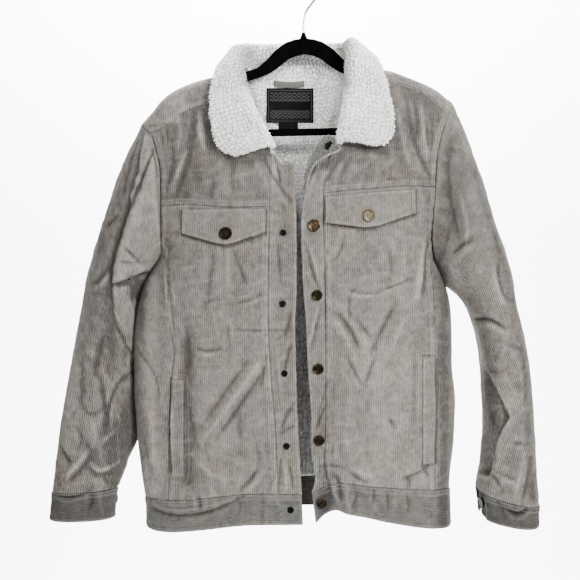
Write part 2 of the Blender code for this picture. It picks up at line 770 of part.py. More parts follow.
def front_yoke_plan(side):
    """Chest piece between the chest seam and the shoulder seam, in the hanger's plane."""
    outer = loop_plan(side, list(reversed(front_turns(side)["yoke"])))
    edge = YOKE_INNER[side]
    start, end = edge["x"][0], edge["x"][-1]
    places = between(0, len(edge["x"]) - 1, len(outer) - 1)
    index = np.arange(len(edge["x"]), dtype=float)
    inner = [(smooth(index, edge["x"], k), smooth(index, edge["z"], k)) for k in places]
    chest = curve_points(CHEST_SEAM[side], start, outer[0][0], PANEL_COLUMNS)
    strap = curve_points(STRAP_SEAM[side], end, outer[-1][0], PANEL_COLUMNS)
    return patch(chest, strap, inner, outer)


def front_yoke(side):
    grid = lifted("front", front_yoke_plan(side))
    on_loop(grid, -1, range(len(grid)), side, list(reversed(front_turns(side)["yoke"])))
    return grid


def placket_plan(side):
    """Front edge strip from the hem seam to its top corner, row by row beside the panel and yoke."""
    edge = FRONT_EDGE[side]
    beside = front_panel_plan(side) + front_yoke_plan(side)[1 : PLACKET_YOKE_ROWS + 1]
    seam_line = [tuple(row[0]) for row in beside]
    low = read(HEM_SEAM[side], "z", "x", read(edge, "x", "z", HEM_LEVEL))
    scale = (edge["z"][-1] - low) / (seam_line[-1][1] - seam_line[0][1])
    levels = [low + (z - seam_line[0][1]) * scale for _, z in seam_line]
    edge_line = [(read(edge, "x", "z", z), z) for z in levels]
    bottom = curve_points(HEM_SEAM[side], edge_line[0][0], seam_line[0][0], PLACKET_COLUMNS)
    across = [
        (
            edge_line[-1][0] + (seam_line[-1][0] - edge_line[-1][0]) * t,
            edge_line[-1][1] + (seam_line[-1][1] - edge_line[-1][1]) * t,
        )
        for t in between(0, 1, PLACKET_COLUMNS)
    ]
    return [[tuple(place) for place in row] for row in patch(bottom, across, edge_line, seam_line)]


def placket(side):
    return lifted("front", placket_plan(side))


def crossing(side, face, share):
    """Level at which a column of the side panel runs into the armhole."""
    low, high = armhole_span(side)[0], SEAM_JOINS_ARMHOLE[side]
    for _ in range(40):
        middle = (low + high) / 2
        seam = side_seam_angle(side, face, middle)
        angle = seam + (math.pi / 2 - seam) * (1 - share)
        edge = math.asin(math.sqrt(fullness(side, face, middle)))
        if angle < edge:
            low = middle
        else:
            high = middle
    return (low + high) / 2


def side_seam_angle(side, face, z):
    """Angle of the front or back panel seam at a level."""
    seam = seam_side(side, face)
    join = SEAM_JOINS_ARMHOLE[side]
    blend = max((z - seam["z"][-1]) / (join - seam["z"][-1]), 0.0)
    x = read(seam, "x", "z", z) + (reach(side, join) - seam["x"][-1]) * blend
    return angle_of(side, face, x, z)


def side_panel(side):
    """Panel under the arm, from the front panel seam round the side to the back seam."""
    columns = [("front", 1 - t / SIDE_COLUMNS) for t in range(SIDE_COLUMNS)]
    columns.append(("front", 0.0))
    columns += [("back", t / SIDE_COLUMNS) for t in range(1, SIDE_COLUMNS + 1)]
    grid = [[] for _ in range(PANEL_ROWS + 1)]
    for face, share in columns:
        top = armhole_span(side)[0] if share == 0 else crossing(side, face, share)
        levels = side_levels(side, face)
        for i in range(PANEL_ROWS + 1):
            part = (levels[i] - levels[0]) / (levels[-1] - levels[0])
            z = levels[0] + (top - levels[0]) * part
            seam = side_seam_angle(side, face, min(z, SEAM_JOINS_ARMHOLE[side]))
            angle = seam + (math.pi / 2 - seam) * (1 - share)
            if i == PANEL_ROWS:
                turn = loop_turn(side, top)
                grid[i].append(loop_point(side, turn if face == "front" else -turn))
            else:
                grid[i].append(body_point(side, face, angle, z))
    return grid


def back_panel():
    """Back from the hem seam to the yoke seam, from armhole to armhole."""
    outers = {}
    turns = {}
    for side in SIDES:
        turns[side] = list(reversed(back_turns(side)["back_panel"]))
        outers[side] = outer_column(side, "back") + loop_plan(side, turns[side][1:])
    hem = curve_points(BACK_HEM_SEAM, outers["left"][0][0], outers["right"][0][0], BACK_COLUMNS)
    yoke = curve_points(BACK_YOKE_SEAM, outers["left"][-1][0], outers["right"][-1][0], BACK_COLUMNS)
    grid = lifted("back", patch(hem, yoke, outers["left"], outers["right"]))
    for side, column in (("left", 0), ("right", -1)):
        on_loop(grid, column, range(PANEL_ROWS, len(outers[side])), side, [-t for t in turns[side]])
    return grid


def neck_seam_z(x):
    """Level of the back neck seam; beyond the neck, the shoulder ridge."""
    rows = slice(5, 12)
    if COLLAR["neck_x"][5] < x < COLLAR["neck_x"][11]:
        return smooth(COLLAR["neck_x"][rows], COLLAR["neck_z"][rows], x) - NECK_SEAM_DROP
    return read(RIDGE, "z", "x", x)


def strap_share(count):
    """Rows of a shoulder strap, closer together at the ridge."""
    return [(t / count) ** 1.8 for t in range(count + 1)]


def back_yoke():
    """Yoke from the back seam over both shoulders to the front shoulder seams."""
    left_neck, right_neck = COLLAR["neck_x"][5], COLLAR["neck_x"][11]
    left_end, right_end = RIDGE["x"][0], RIDGE["x"][-1]
    top = between(left_end, left_neck, PANEL_COLUMNS)
    top += between(left_neck, right_neck, YOKE_NECK_COLUMNS)[1:]
    top += between(right_neck, right_end, PANEL_COLUMNS)[1:]
    columns = len(top) - 1
    turns = {side: list(reversed(back_turns(side)["back_yoke"])) for side in SIDES}
    outers = {side: loop_plan(side, turns[side]) for side in SIDES}
    bottom_x = between(outers["left"][0][0], outers["right"][0][0], columns)
    bottom = [(x, read(BACK_YOKE_SEAM, "z", "x", x)) for x in bottom_x]
    top_line = [(x, neck_seam_z(x)) for x in top]
    plan = patch(bottom, top_line, outers["left"], outers["right"])
    grid = lifted("back", plan)
    for side, column in (("left", 0), ("right", -1)):
        on_loop(grid, column, range(len(outers[side])), side, [-t for t in turns[side]])
    back_rows = len(grid) - 1
    for j, x in enumerate(top):
        if not (left_neck < x < right_neck):
            slope = (read(RIDGE, "z", "x", x + 2) - read(RIDGE, "z", "x", x - 2)) / 4
            point = np.array([x, 0.0, read(RIDGE, "z", "x", x)])
            if 0 < j < columns:
                grid[back_rows][j] = (point, unit(np.array([-slope, 0.0, 1.0])))
    shares = strap_share(TURNS["strap"])[1:]
    for i, share in enumerate(shares):
        row = []
        for j, x in enumerate(top):
            side = side_of(x)
            seam = STRAP_SEAM[side]
            neck = left_neck if side == "left" else right_neck
            end = left_end if side == "left" else right_end
            if left_neck < x < right_neck:
                row.append(grid[back_rows][j])
                continue
            part = (x - neck) / (end - neck)
            inner_x = YOKE_INNER[side]["x"][-1]
            outer_x = seam["x"][0 if side == "left" else -1]
            seam_x = inner_x + (outer_x - inner_x) * part
            seam_z = read(seam, "z", "x", seam_x)
            plan_x = x + (seam_x - x) * share
            plan_z = read(RIDGE, "z", "x", x) + (seam_z - read(RIDGE, "z", "x", x)) * share
            if j in (0, columns):
                strap = front_turns(side)["strap"][-1]
                row.append(loop_point(side, strap * (i + 1) / TURNS["strap"]))
            else:
                row.append(body_at("front", plan_x, plan_z))
        grid.append(row)
    open_columns = range(PANEL_COLUMNS, PANEL_COLUMNS + YOKE_NECK_COLUMNS)

    def present(i, j):
        return i < back_rows or j not in open_columns

    return grid, present


# Linings lie inside the shell on the same points


def front_lining(side):
    """Lining of one front: the points of the placket beside those of the panel and the yoke."""
    strip = placket(side)
    beyond = front_panel(side) + front_yoke(side)[1:]
    spare = strip[-1][:-1]
    grid = [(strip[i][:-1] if i < len(strip) else spare) + row for i, row in enumerate(beyond)]
    corner = len(strip) - 1
    last = len(grid[0]) - 2

    def present(i, j):
        return (i < corner or j >= PLACKET_COLUMNS) and (i < LINING_NARROWS or j < last)

    return grid, present


def back_lining():
    """Lining of the back: the points of the back panel and of the yoke up to the neck."""
    yoke, _ = back_yoke()
    grid = back_panel() + yoke[1 : TURNS["back_yoke"] + 1]
    last = BACK_COLUMNS - 1

    def present(i, j):
        if i == len(grid) - 2:
            return PANEL_COLUMNS < j < PANEL_COLUMNS + YOKE_NECK_COLUMNS - 1
        return i < LINING_NARROWS or 0 < j < last

    return grid, present


# Hem band, collar, cuffs


def hem_side_column(side, face, share, v):
    """Point of the hem band between a side seam (share 0) and the side line (share 1)."""
    seam_x = seam_side(side, face)["x"][0]
    top = side_levels(side, face if share < 1 else "front")[0]
    reach_x = seam_x + (reach(side, top) - seam_x) * share
    low = read(HEM[side] if face == "front" else BACK_HEM, "z", "x", reach_x)
    seam = side_seam_angle(side, face, top)
    z = low + (top - low) * v
    return body_point(side, face, seam + (math.pi / 2 - seam) * share, z)


def hem_band(side):
    """Front hem band from the front edge to the side line, under the points of the panels."""
    edge = FRONT_EDGE[side]
    top = [x for x, _ in placket_plan(side)[0] + list(front_panel_plan(side)[0])[1:]]
    seam_x, edge_x = top[PLACKET_COLUMNS], top[0]
    edge_low = read(edge, "x", "z", edge["z"][0])
    grid = []
    for v in between(0, 1, HEM_ROWS):
        row = []
        for j, x in enumerate(top):
            spread = (edge_low - seam_x) / (edge_x - seam_x) if j < PLACKET_COLUMNS else 1.0
            foot = seam_x + (x - seam_x) * spread
            across = foot + (x - foot) * v
            low, high = read(HEM[side], "z", "x", foot), read(HEM_SEAM[side], "z", "x", x)
            row.append(body_at("front", across, low + (high - low) * v))
        row += [hem_side_column(side, "front", t / SIDE_COLUMNS, v) for t in range(1, SIDE_COLUMNS + 1)]
        grid.append(row)
    return grid


def hem_band_back():
    """Back hem band from side line to side line, under the points of the back panel."""
    grid = []
    ends = {side: BACK_SEAM[side]["x"][0] for side in SIDES}
    for v in between(0, 1, HEM_ROWS):
        row = [hem_side_column("left", "back", t / SIDE_COLUMNS, v) for t in range(SIDE_COLUMNS, 0, -1)]
        for x in between(ends["left"], ends["right"], BACK_COLUMNS):
            low, high = read(BACK_HEM, "z", "x", x), read(BACK_HEM_SEAM, "z", "x", x)
            row.append(body_at("back", x, low + (high - low) * v))
        row += [hem_side_column("right", "back", t / SIDE_COLUMNS, v) for t in range(1, SIDE_COLUMNS + 1)]
        grid.append(row)
    return grid


def collar_section(t):
    """Points across the collar at a place along it: up the stand, round the roll, down the fall."""
    index = np.arange(len(COLLAR["neck_x"]), dtype=float)
    neck, roll, edge = (
        np.array([smooth(index, COLLAR[f"{line}_{axis}"], t) for axis in "xyz"])
        for line in ("neck", "roll", "edge")
    )
    up = unit(roll - neck)
    out = unit(edge - roll - up * ((edge - roll) @ up))
    centre = roll + out * ROLL_RADIUS
    away = edge - centre
    distance = math.hypot(away @ out, away @ up)
    turn = math.acos(-ROLL_RADIUS / distance) - math.atan2(away @ up, away @ out)
    arc = [
        centre + (up * math.sin(a) - out * math.cos(a)) * ROLL_RADIUS
        for a in between(0.0, turn, ROLL_STEPS)
    ]
    return [neck, *arc, (arc[-1] + edge) / 2, edge]


def collar_grid():
    """Pile side of the collar with its normals, from the neck seam over the roll to the edge."""
    count = len(COLLAR["neck_x"]) - 1
    points = [collar_section(t) for t in between(0, count, COLLAR_SECTIONS)]
    grid = []
    for i, row in enumerate(points):
        grid.append([])
        for j, point in enumerate(row):
            along = points[min(i + 1, len(points) - 1)][j] - points[max(i - 1, 0)][j]
            across = unit(row[min(j + 1, len(row) - 1)] - point) + unit(point - row[max(j - 1, 0)])
            grid[-1].append((point, unit(np.cross(along, across))))
    return grid


def ring_grid(side, start, end, turns, rows=2, lift=0.0):
    """Rows between two sleeve rings."""
    grid = []
    for i in range(rows + 1):
        v = i / rows
        row = []
        for turn in turns:
            point = start(turn) * (1 - v) + end(turn) * v
            around_start = start(turn + 0.02) - start(turn - 0.02)
            around_end = end(turn + 0.02) - end(turn - 0.02)
            around = around_start * (1 - v) + around_end * v
            normal = unit(np.cross(around, end(turn) - start(turn))) * SIGN[side]
            row.append((point + normal * lift, normal))
        grid.append(row)
    return grid


def cuff_rings(side):
    last = len(SLEEVE[side]["front"]) - 1

    def start(turn):
        return ring_point(side, SLEEVE[side], last, turn % (2 * math.pi))

    def end(turn):
        return ring_point(side, CUFF_END[side], 0, turn % (2 * math.pi))

    return start, end


def sleeve_turns(side):
    """Turns of a sleeve's columns, with those of the armhole's vertices at its top."""
    front, back = front_turns(side), back_turns(side)
    turns = set()
    for part in front.values():
        turns |= {round(t, 6) for t in part}
    for part in back.values():
        turns |= {round(2 * math.pi - t, 6) for t in part}
    return sorted(t for t in turns if t < 2 * math.pi - 1e-4)


def sleeve_piece(side, part):
    """Top sleeve or under sleeve from the armhole to the cuff seam."""
    turns = sleeve_turns(side)
    near_front = min(turns, key=lambda t: abs(t - SPLIT))
    near_back = min(turns, key=lambda t: abs(t - (2 * math.pi - SPLIT)))
    if part == "top":
        chosen = [t for t in turns if t >= near_back - 1e-6] + [t for t in turns if t <= near_front + 1e-6]
    else:
        chosen = [t for t in turns if near_front - 1e-6 <= t <= near_back + 1e-6]
    rows = len(SLEEVE[side]["front"]) - 1
    return [[sleeve_point(side, row, turn) for turn in chosen] for row in between(0, rows, rows)]


# Pieces that lie on a panel


def flap_plan(side):
    """Pocket flap: hangs from the chest seam and comes to a point."""
    x0, x1 = FLAP[side]["x"]
    low0, low1 = FLAP[side]["corners"]
    tip_x, tip_z = FLAP[side]["point"]
    top = FLAP[side]["top"]
    seam, bottom = [], []
    for x in between(x0, x1, FLAP_COLUMNS):
        below = read(CHEST_SEAM[side], "z", "x", x) - FLAP_BELOW_SEAM
        seam.append((x, below if top is None else top))
        if x < tip_x:
            bottom.append((x, low0 + (tip_z - low0) * (x - x0) / (tip_x - x0)))
        else:
            bottom.append((x, low1 + (tip_z - low1) * (x1 - x) / (x1 - tip_x)))
    first = [(x0, z) for z in between(bottom[0][1], seam[0][1], FLAP_ROWS)]
    last = [(x1, z) for z in between(bottom[-1][1], seam[-1][1], FLAP_ROWS)]
    return patch(bottom, seam, first, last)


def welt_plan(side):
    (x0, x1), (z0, z1) = WELT[side]
    return [[(x, z) for x in between(x0, x1, WELT_COLUMNS)] for z in between(z0, z1, WELT_ROWS)]


def corner_plan():
    plan = []
    for z, fold, free in zip(*(TURNED_CORNER[name] for name in ("z", "fold", "free"))):
        plan.append([(x, z) for x in between(fold, free, CORNER_COLUMNS)])
    return plan


def lay(name, material, plan, thickness, face="front"):
    """A piece that lies on a panel: the panel's own points, moved out."""
    return wall(name, material, lifted(face, plan), thickness, LAY_GAP + thickness, drawn=())


# Small parts


def placed(piece, point, normal, up=(0, 0, 1)):
    """Puts a part made along +Z on a surface."""
    out = Vector(normal).normalized()
    side = Vector(up).cross(out).normalized()
    above = out.cross(side)
    turn = Matrix((side, above, out)).transposed().to_4x4()
    piece.matrix_world = Matrix.Translation(Vector(point) * MM) @ turn
    return piece


def turned(name, profile, material, segments=16):
    """A turned part: a profile of (radius, height), top to bottom, with a Screw modifier."""
    mesh = bpy.data.meshes.new(name)
    verts = [(r * MM, 0.0, h * MM) for r, h in profile]
    mesh.from_pydata(verts, [(i, i + 1) for i in range(len(verts) - 1)], [])
    mesh.materials.append(material)
    piece = bpy.data.objects.new(name, mesh)
    JACKET.objects.link(piece)
    screw = piece.modifiers.new("Turn", "SCREW")
    screw.axis = "Z"
    screw.steps = segments
    screw.render_steps = segments
    screw.use_merge_vertices = True
    screw.merge_threshold = 0.00001
    return piece


def cap_profile(radius):
    """Snap cap: a low dome with a rolled rim and a dished middle."""
    return [
        (0.0, 2.5),
        (0.55 * radius, 2.7),
        (0.72 * radius, 3.3),
        (0.93 * radius, 2.8),
        (radius, 1.6),
        (0.93 * radius, 0.4),
        (0.5 * radius, 0.0),
        (0.0, 0.0),
    ]


def socket_profile(radius):
    """Snap socket: a flat ring round a well."""
    return [
        (0.0, 1.0),
        (0.42 * radius, 1.0),
        (0.5 * radius, 2.0),
        (0.8 * radius, 2.0),
        (radius, 1.2),
        (0.9 * radius, 0.0),
        (0.0, 0.0),
    ]


def snap(name, profile, material, grid, x, z, top):
    """A snap on the outside of a piece: over the facets of its grid, whose outer face is at `top`."""
    point, normal = on_facets(grid, x, z, top)
    return placed(turned(name, profile, material), point + normal * LAY_GAP, normal)


def curve_object(name, material, points, dimensions="3D", cyclic=False):
    data = bpy.data.curves.new(name, "CURVE")
    data.dimensions = dimensions
    data.materials.append(material)
    spline = data.splines.new("POLY")
    spline.points.add(len(points) - 1)
    for knot, point in zip(spline.points, points):
        knot.co = (*(np.array(point) * MM), 1.0)
    spline.use_cyclic_u = cyclic
    piece = bpy.data.objects.new(name, data)
    JACKET.objects.link(piece)
    return piece


def hook(material):
    """Wire hook: out of the hanger's neck, out to the right and round over the rail."""
    centre = -HOOK_RADIUS + WIRE / 2
    path = list(HOOK_SHANK)
    for degrees in range(*HOOK_SWEEP):
        angle = math.radians(degrees)
        path.append((HOOK_RADIUS * math.cos(angle), centre + HOOK_RADIUS * math.sin(angle)))
    piece = curve_object("hook", material, [(x, 0.0, z) for x, z in path])
    piece.data.bevel_depth = WIRE / 2 * MM
    piece.data.bevel_resolution = 2
    piece.data.use_fill_caps = True
    return piece


# The hanger's outline, right half, before its tilt: the top and the underside of the arm
HANGER_TOP = table(
    "x z",
    (0, -97), (15, -99), (29, -103.5), (46, -116), (60, -131), (74, -142.5), (97, -149.5),
    (139, -160), (180, -176), (205, -190), (219, -201),
)  # fmt: skip
HANGER_UNDER = table(
    "x z",
    (0, -122), (14, -124.5), (26, -130), (40, -141), (55, -151), (72, -157.5), (97, -164),
    (139, -175), (180, -191), (200, -203),
)  # fmt: skip
BAR_TOP, BAR_UNDER = -239.0, -250.0
ARM_END = ((222, -212), (220, -232), (212, -246), (200, BAR_UNDER))
OPENING_END = ((208, -214), (208, -228), (198, BAR_TOP))


def tilted(points):
    turn = Matrix.Rotation(HANGER_TILT, 2)
    return [turn @ Vector(point) for point in points]


def hanger_frame(material):
    """Flat hanger: an arch, two arms and a bar round one opening."""
    half = [*zip(HANGER_TOP["x"], HANGER_TOP["z"]), *ARM_END]
    outline = half + [(-x, z) for x, z in reversed(half[1:])]
    inside = [*zip(HANGER_UNDER["x"], HANGER_UNDER["z"]), *OPENING_END]
    opening = inside + [(-x, z) for x, z in reversed(inside[1:])]
    flat = [(x, z, 0.0) for x, z in tilted(outline)]
    piece = curve_object("hanger_frame", material, flat, "2D", cyclic=True)
    spline = piece.data.splines.new("POLY")
    spline.points.add(len(opening) - 1)
    for knot, (x, z) in zip(spline.points, tilted(opening)):
        knot.co = (x * MM, z * MM, 0.0, 1.0)
    spline.use_cyclic_u = True
    piece.data.fill_mode = "BOTH"
    piece.data.extrude = HANGER_THICK / 2 * MM
    piece.rotation_euler = (math.pi / 2, 0.0, 0.0)
    return piece


def hanger_neck(material):
    """Cone that the wire comes out of."""
    top = HOOK_BASE - SEAM_GAP
    base = HANGER_TOP["z"][0] + SEAM_GAP
    wire, chamfer, foot = NECK_RADII
    profile = [(0.0, top), (wire, top), (chamfer, top - NECK_CHAMFER), (foot, base), (0.0, base)]
    piece = turned("hanger_neck", profile, material)
    piece.location.x = NECK_AT * MM
    return piece


def material(name, colour, roughness, metallic=0.0):
    made = bpy.data.materials.new(name)
    made.use_nodes = True
    shader = made.node_tree.nodes["Principled BSDF"]
    shader.inputs["Base Color"].default_value = (*colour, 1.0)
    shader.inputs["Roughness"].default_value = roughness
    shader.inputs["Metallic"].default_value = metallic
    return made


def clear():
    for item in list(bpy.data.objects):
        bpy.data.objects.remove(item, do_unlink=True)


def build_body(corduroy, band, sherpa):
    for side in SIDES:
        wall(f"front_panel_{side}", corduroy, front_panel(side), SHELL)
        wall(f"front_yoke_{side}", corduroy, front_yoke(side), SHELL)
        wall(f"placket_{side}", corduroy, placket(side), SHELL)
        wall(f"side_panel_{side}", corduroy, side_panel(side), SHELL)
        wall(f"hem_band_{side}", band, hem_band(side), SHELL)
    wall("back_panel", corduroy, back_panel(), SHELL)
    yoke, present = back_yoke()
    wall("back_yoke", corduroy, yoke, SHELL, present=present)
    wall("hem_band_back", band, hem_band_back(), SHELL)
    under = -(SHELL + LAY_GAP)
    for side in SIDES:
        grid, present = front_lining(side)
        drawn = ("first_row", "last_row", "last_column")
        wall(f"lining_{side}", sherpa, grid, SHERPA, under, LINING_MARGIN, drawn, present)
    drawn = ("first_row", "first_column", "last_column")
    grid, present = back_lining()
    wall("lining_back", sherpa, grid, SHERPA, under, LINING_MARGIN, drawn, present)


def build_sleeves(corduroy, band):
    for side in SIDES:
        for part in ("top", "under"):
            wall(f"sleeve_{part}_{side}", corduroy, sleeve_piece(side, part), SHELL, margin=1.5 * SEAM_GAP)
        start, end = cuff_rings(side)
        edge = CUFF_EDGE[side]
        far = -math.copysign(CUFF_FAR, edge)
        low, high = min(far, edge), max(far, edge)
        turns = [t if t <= math.pi else t - 2 * math.pi for t in sleeve_turns(side)]
        turns = [low] + sorted(t for t in turns if low + 0.05 < t < high - 0.05) + [high]
        grid = ring_grid(side, start, end, turns)
        seam = len(SLEEVE[side]["front"]) - 1
        grid[0] = [sleeve_point(side, seam, turn % (2 * math.pi)) for turn in turns]
        wall(f"cuff_{side}", band, grid, SHELL)
        inside = -(SHELL + 2 * LAY_GAP)
        lap = edge - math.copysign(CUFF_LAP, edge)
        under = between(lap, math.copysign(TAB_END, edge), 4)
        wall(f"cuff_tab_{side}", band, ring_grid(side, start, end, under, lift=inside), SHELL)
        snap_turn = math.copysign(CUFF_SNAP_AT, edge)
        point, normal = ring_grid(side, start, end, [snap_turn], lift=inside)[1][0]
        cap = turned(f"cuff_snap_{side}", cap_profile(CAP_RADIUS), BRONZE)
        placed(cap, point + normal * SEAM_GAP, normal)


def build_collar(sherpa, corduroy):
    grid = collar_grid()
    wall("collar_top", sherpa, grid, COLLAR_PILE, drawn=())
    wall("collar_under", corduroy, grid, UNDER_COLLAR, -(COLLAR_PILE + SEAM_GAP), drawn=())


def build_trims(corduroy, sherpa, tape, black):
    for side in SIDES:
        lay(f"flap_{side}", corduroy, flap_plan(side), SHELL)
        lay(f"welt_{side}", corduroy, welt_plan(side), SHELL)
        x, z = FLAP_SNAP[side]
        flap = lifted("front", flap_plan(side))
        snap(f"flap_snap_{side}", cap_profile(CAP_RADIUS + 0.4), BRONZE, flap, x, z, LAY_GAP + SHELL)
    thick = SHELL + SHERPA
    lay("turned_corner_right", sherpa, corner_plan(), thick)
    corner = lifted("front", corner_plan())
    top_socket = socket_profile(TOP_SOCKET_RADIUS)
    snap("snap_socket_top", top_socket, BLACK_METAL, corner, *TOP_SOCKET, LAY_GAP + thick)
    for side, name, profile, metal in (
        ("right", "snap_cap", cap_profile(CAP_RADIUS), BRONZE),
        ("left", "snap_socket", socket_profile(SOCKET_RADIUS), BLACK_METAL),
    ):
        for i, (z, x) in enumerate(zip(SNAPS[side]["z"], SNAPS[side]["x"]), start=1):
            under = hem_band(side) if z < HEM_SNAPS_BELOW else placket(side)
            snap(f"{name}_{i}", profile, metal, under, x, z, 0.0)
    inside = -(SHELL + LAY_GAP + SHERPA)
    lining, _ = back_lining()
    for name, cloth, ((x0, x1), (z0, z1), thickness) in (
        ("neck_label", black, NECK_LABEL),
        ("size_tab", black, SIZE_TAB),
        ("hanging_loop", tape, HANGING_LOOP),
    ):
        grid = []
        for z in between(z0, z1, LABEL_ROWS):
            places = between(x0, x1, LABEL_COLUMNS)
            grid.append([on_facets(lining, x, z, inside - LAY_GAP) for x in places])
        wall(name, cloth, grid, thickness, drawn=())


JACKET = bpy.data.collections.new("sherpa_lined_jacket")
clear()
bpy.context.scene.collection.children.link(JACKET)
CORDUROY = material("corduroy", (0.36, 0.33, 0.29), 0.9)
BAND = material("corduroy_band", (0.28, 0.27, 0.25), 0.9)
PILE = material("sherpa_pile", (0.82, 0.82, 0.78), 0.95)
TAPE = material("grey_tape", (0.2, 0.2, 0.19), 0.9)
BLACK_CLOTH = material("black_woven", (0.02, 0.02, 0.022), 0.8)
BRONZE = material("antique_bronze", (0.1, 0.07, 0.045), 0.35, 1.0)
BLACK_METAL = material("blackened_metal", (0.03, 0.03, 0.03), 0.4, 1.0)
VELVET = material("black_flock", (0.012, 0.012, 0.012), 0.95)
HOOK_METAL = material("hook_metal", (0.12, 0.12, 0.12), 0.3, 1.0)

build_body(CORDUROY, BAND, PILE)
build_sleeves(CORDUROY, BAND)
build_collar(PILE, CORDUROY)
build_trims(CORDUROY, PILE, TAPE, BLACK_CLOTH)
hanger_frame(VELVET)
hanger_neck(VELVET)
hook(HOOK_METAL)
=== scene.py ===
"""Looks of the corduroy jacket with a sherpa lining: panels, pile, trims, hanger and stage.

Laid out as a Blender add-on and run as a script. The jacket's front faces -Y, +Z is up, and the
origin is the top of the inside of the hanger's hook. Tables and helpers are in millimetres, and
meshes are in metres. Left and right mean -X and +X.
"""

import math

import bpy
import numpy as np
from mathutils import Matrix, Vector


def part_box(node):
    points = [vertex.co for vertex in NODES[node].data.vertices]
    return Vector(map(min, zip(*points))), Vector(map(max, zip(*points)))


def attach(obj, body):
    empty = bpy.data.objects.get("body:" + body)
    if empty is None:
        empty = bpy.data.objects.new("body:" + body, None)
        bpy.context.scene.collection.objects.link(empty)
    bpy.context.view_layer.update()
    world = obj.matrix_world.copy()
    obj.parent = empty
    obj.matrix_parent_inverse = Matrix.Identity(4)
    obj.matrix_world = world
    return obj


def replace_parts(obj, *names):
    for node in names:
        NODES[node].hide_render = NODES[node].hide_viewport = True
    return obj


bl_info = {
    "name": "Corduroy jacket looks",
    "version": (1, 0, 0),
    "blender": (4, 5, 0),
    "location": "3D View > Sidebar > Jacket",
    "description": "Builds the cloth, pile, trims and stage of a corduroy jacket on a hanger",
    "category": "Object",
}

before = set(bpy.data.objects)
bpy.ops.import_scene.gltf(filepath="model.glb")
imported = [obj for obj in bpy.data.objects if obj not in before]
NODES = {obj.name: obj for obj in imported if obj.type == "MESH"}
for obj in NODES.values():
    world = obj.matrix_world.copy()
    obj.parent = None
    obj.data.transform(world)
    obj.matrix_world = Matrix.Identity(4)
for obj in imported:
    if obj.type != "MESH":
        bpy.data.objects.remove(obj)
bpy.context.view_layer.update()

MM = 0.001
SIDES = ("left", "right")
SIGN = {"left": -1.0, "right": 1.0}

# ---------------------------------------------------------------- sizes shared with the solids

SIDE_ROUNDING = 2.6
LOOP_ROUNDING = 2.4
RIDGE_RADIUS = 12.0
RAMP = {"front": 210.0, "back": 160.0}
LOOP_DEPTH = {"front": 44.0, "back": 42.0}
SPLIT = math.radians(125)
SHELL = 2.2
SHERPA = 3.6
LINING_AT = -(SHELL + 0.6)
ROLL_RADIUS = 11.6
CORNER_RADIUS = 14.0
PILE_CONTRAST = 1.05


def table(names, *rows):
    """A table with named columns, one row per level or fold."""
    data = np.array(rows, dtype=float)
    return {name: data[:, i] for i, name in enumerate(names.split())}


# Columns of the tables of rings, of creases and of soft lines.
RING = "outer_x outer_z inner_x inner_z front back shift drop"
CREASE = "x0 z0 x1 z1 x2 z2 left right height"
LINE = "x0 z0 x1 z1 width depth"
# fmt: off
SIDE = {
    "left": table(
        "z x",
        (-880, -245), (-822, -246), (-790, -251), (-721, -260), (-665, -262), (-604, -264.7), (-546, -261),
        (-508, -254), (-477, -244), (-440, -224),
    ),
    "right": table(
        "z x",
        (-880, 233), (-822, 231.5), (-790, 230), (-721, 238), (-665, 238), (-604, 234), (-546, 232), (-508, 228.5),
        (-477, 220), (-444, 205),
    ),
}
ARMHOLE = {
    "left": table(
        "z x",
        (-440, -224), (-420, -219.5), (-380, -218.5), (-343, -219), (-309, -220), (-280, -225), (-261, -231),
        (-250, -236), (-236, -254),
    ),
    "right": table(
        "z x",
        (-444, 205), (-425, 200.5), (-390, 199.5), (-343, 203), (-309, 205), (-284, 207), (-253, 214), (-221, 226),
        (-200, 236),
    ),
}
DEPTH = table(
    "z front back",
    (-880, 70, 62), (-800, 73, 66), (-700, 78, 74), (-600, 82, 78), (-500, 84, 78), (-420, 82, 74), (-340, 80, 68),
    (-100, 80, 66),
)
RIDGE = table(
    "x z",
    (-254, -236), (-246, -225), (-232, -209), (-221, -195), (-200, -179), (-163, -164), (-134, -157), (-98, -146),
    (-50, -118), (-5, -108), (40, -113), (74, -129.5), (100, -141), (120, -145.5), (139, -149.5), (175, -162.5),
    (208, -178), (228, -194), (236, -200),
)
STRAP_SEAM = {
    "left": table("x z", (-254, -262), (-236, -250), (-201, -233), (-180, -216), (-139, -205), (-86, -190)),
    "right": table("x z", (69, -151), (129, -167), (155, -176), (191, -190), (226, -221), (240, -232)),
}
CHEST_SEAM = {
    "left": table("x z", (-219, -364), (-183, -362), (-114, -367), (-51, -367), (0, -367)),
    "right": table("x z", (-3, -357), (31, -347), (56, -343), (101, -339), (159, -334), (204, -334)),
}
HEM_SEAM = {
    "left": table("x z", (-265, -814), (-199, -814), (-155, -810), (-87, -802), (0, -802)),
    "right": table("x z", (13, -800), (31, -791), (55, -785), (96, -790), (160, -796), (240, -803)),
}
HEM = {
    "left": table("x z", (-265, -855), (-246, -857), (-215, -864), (-160, -859), (-90, -850), (0, -848)),
    "right": table(
        "x z",
        (10, -842), (19, -845), (33, -832), (50, -826), (66, -832), (96, -838), (134, -847), (210, -860),
        (233, -856), (245, -855),
    ),
}
BACK_HEM = table("x z", (-265, -855), (-246, -856), (-150, -846), (0, -840), (150, -844), (233, -855), (245, -855))
BACK_HEM_SEAM = table("x z", (-265, -814), (-150, -800), (0, -793), (150, -795), (240, -803))
BACK_YOKE_SEAM = table("x z", (-221, -304), (0, -290), (206, -286))
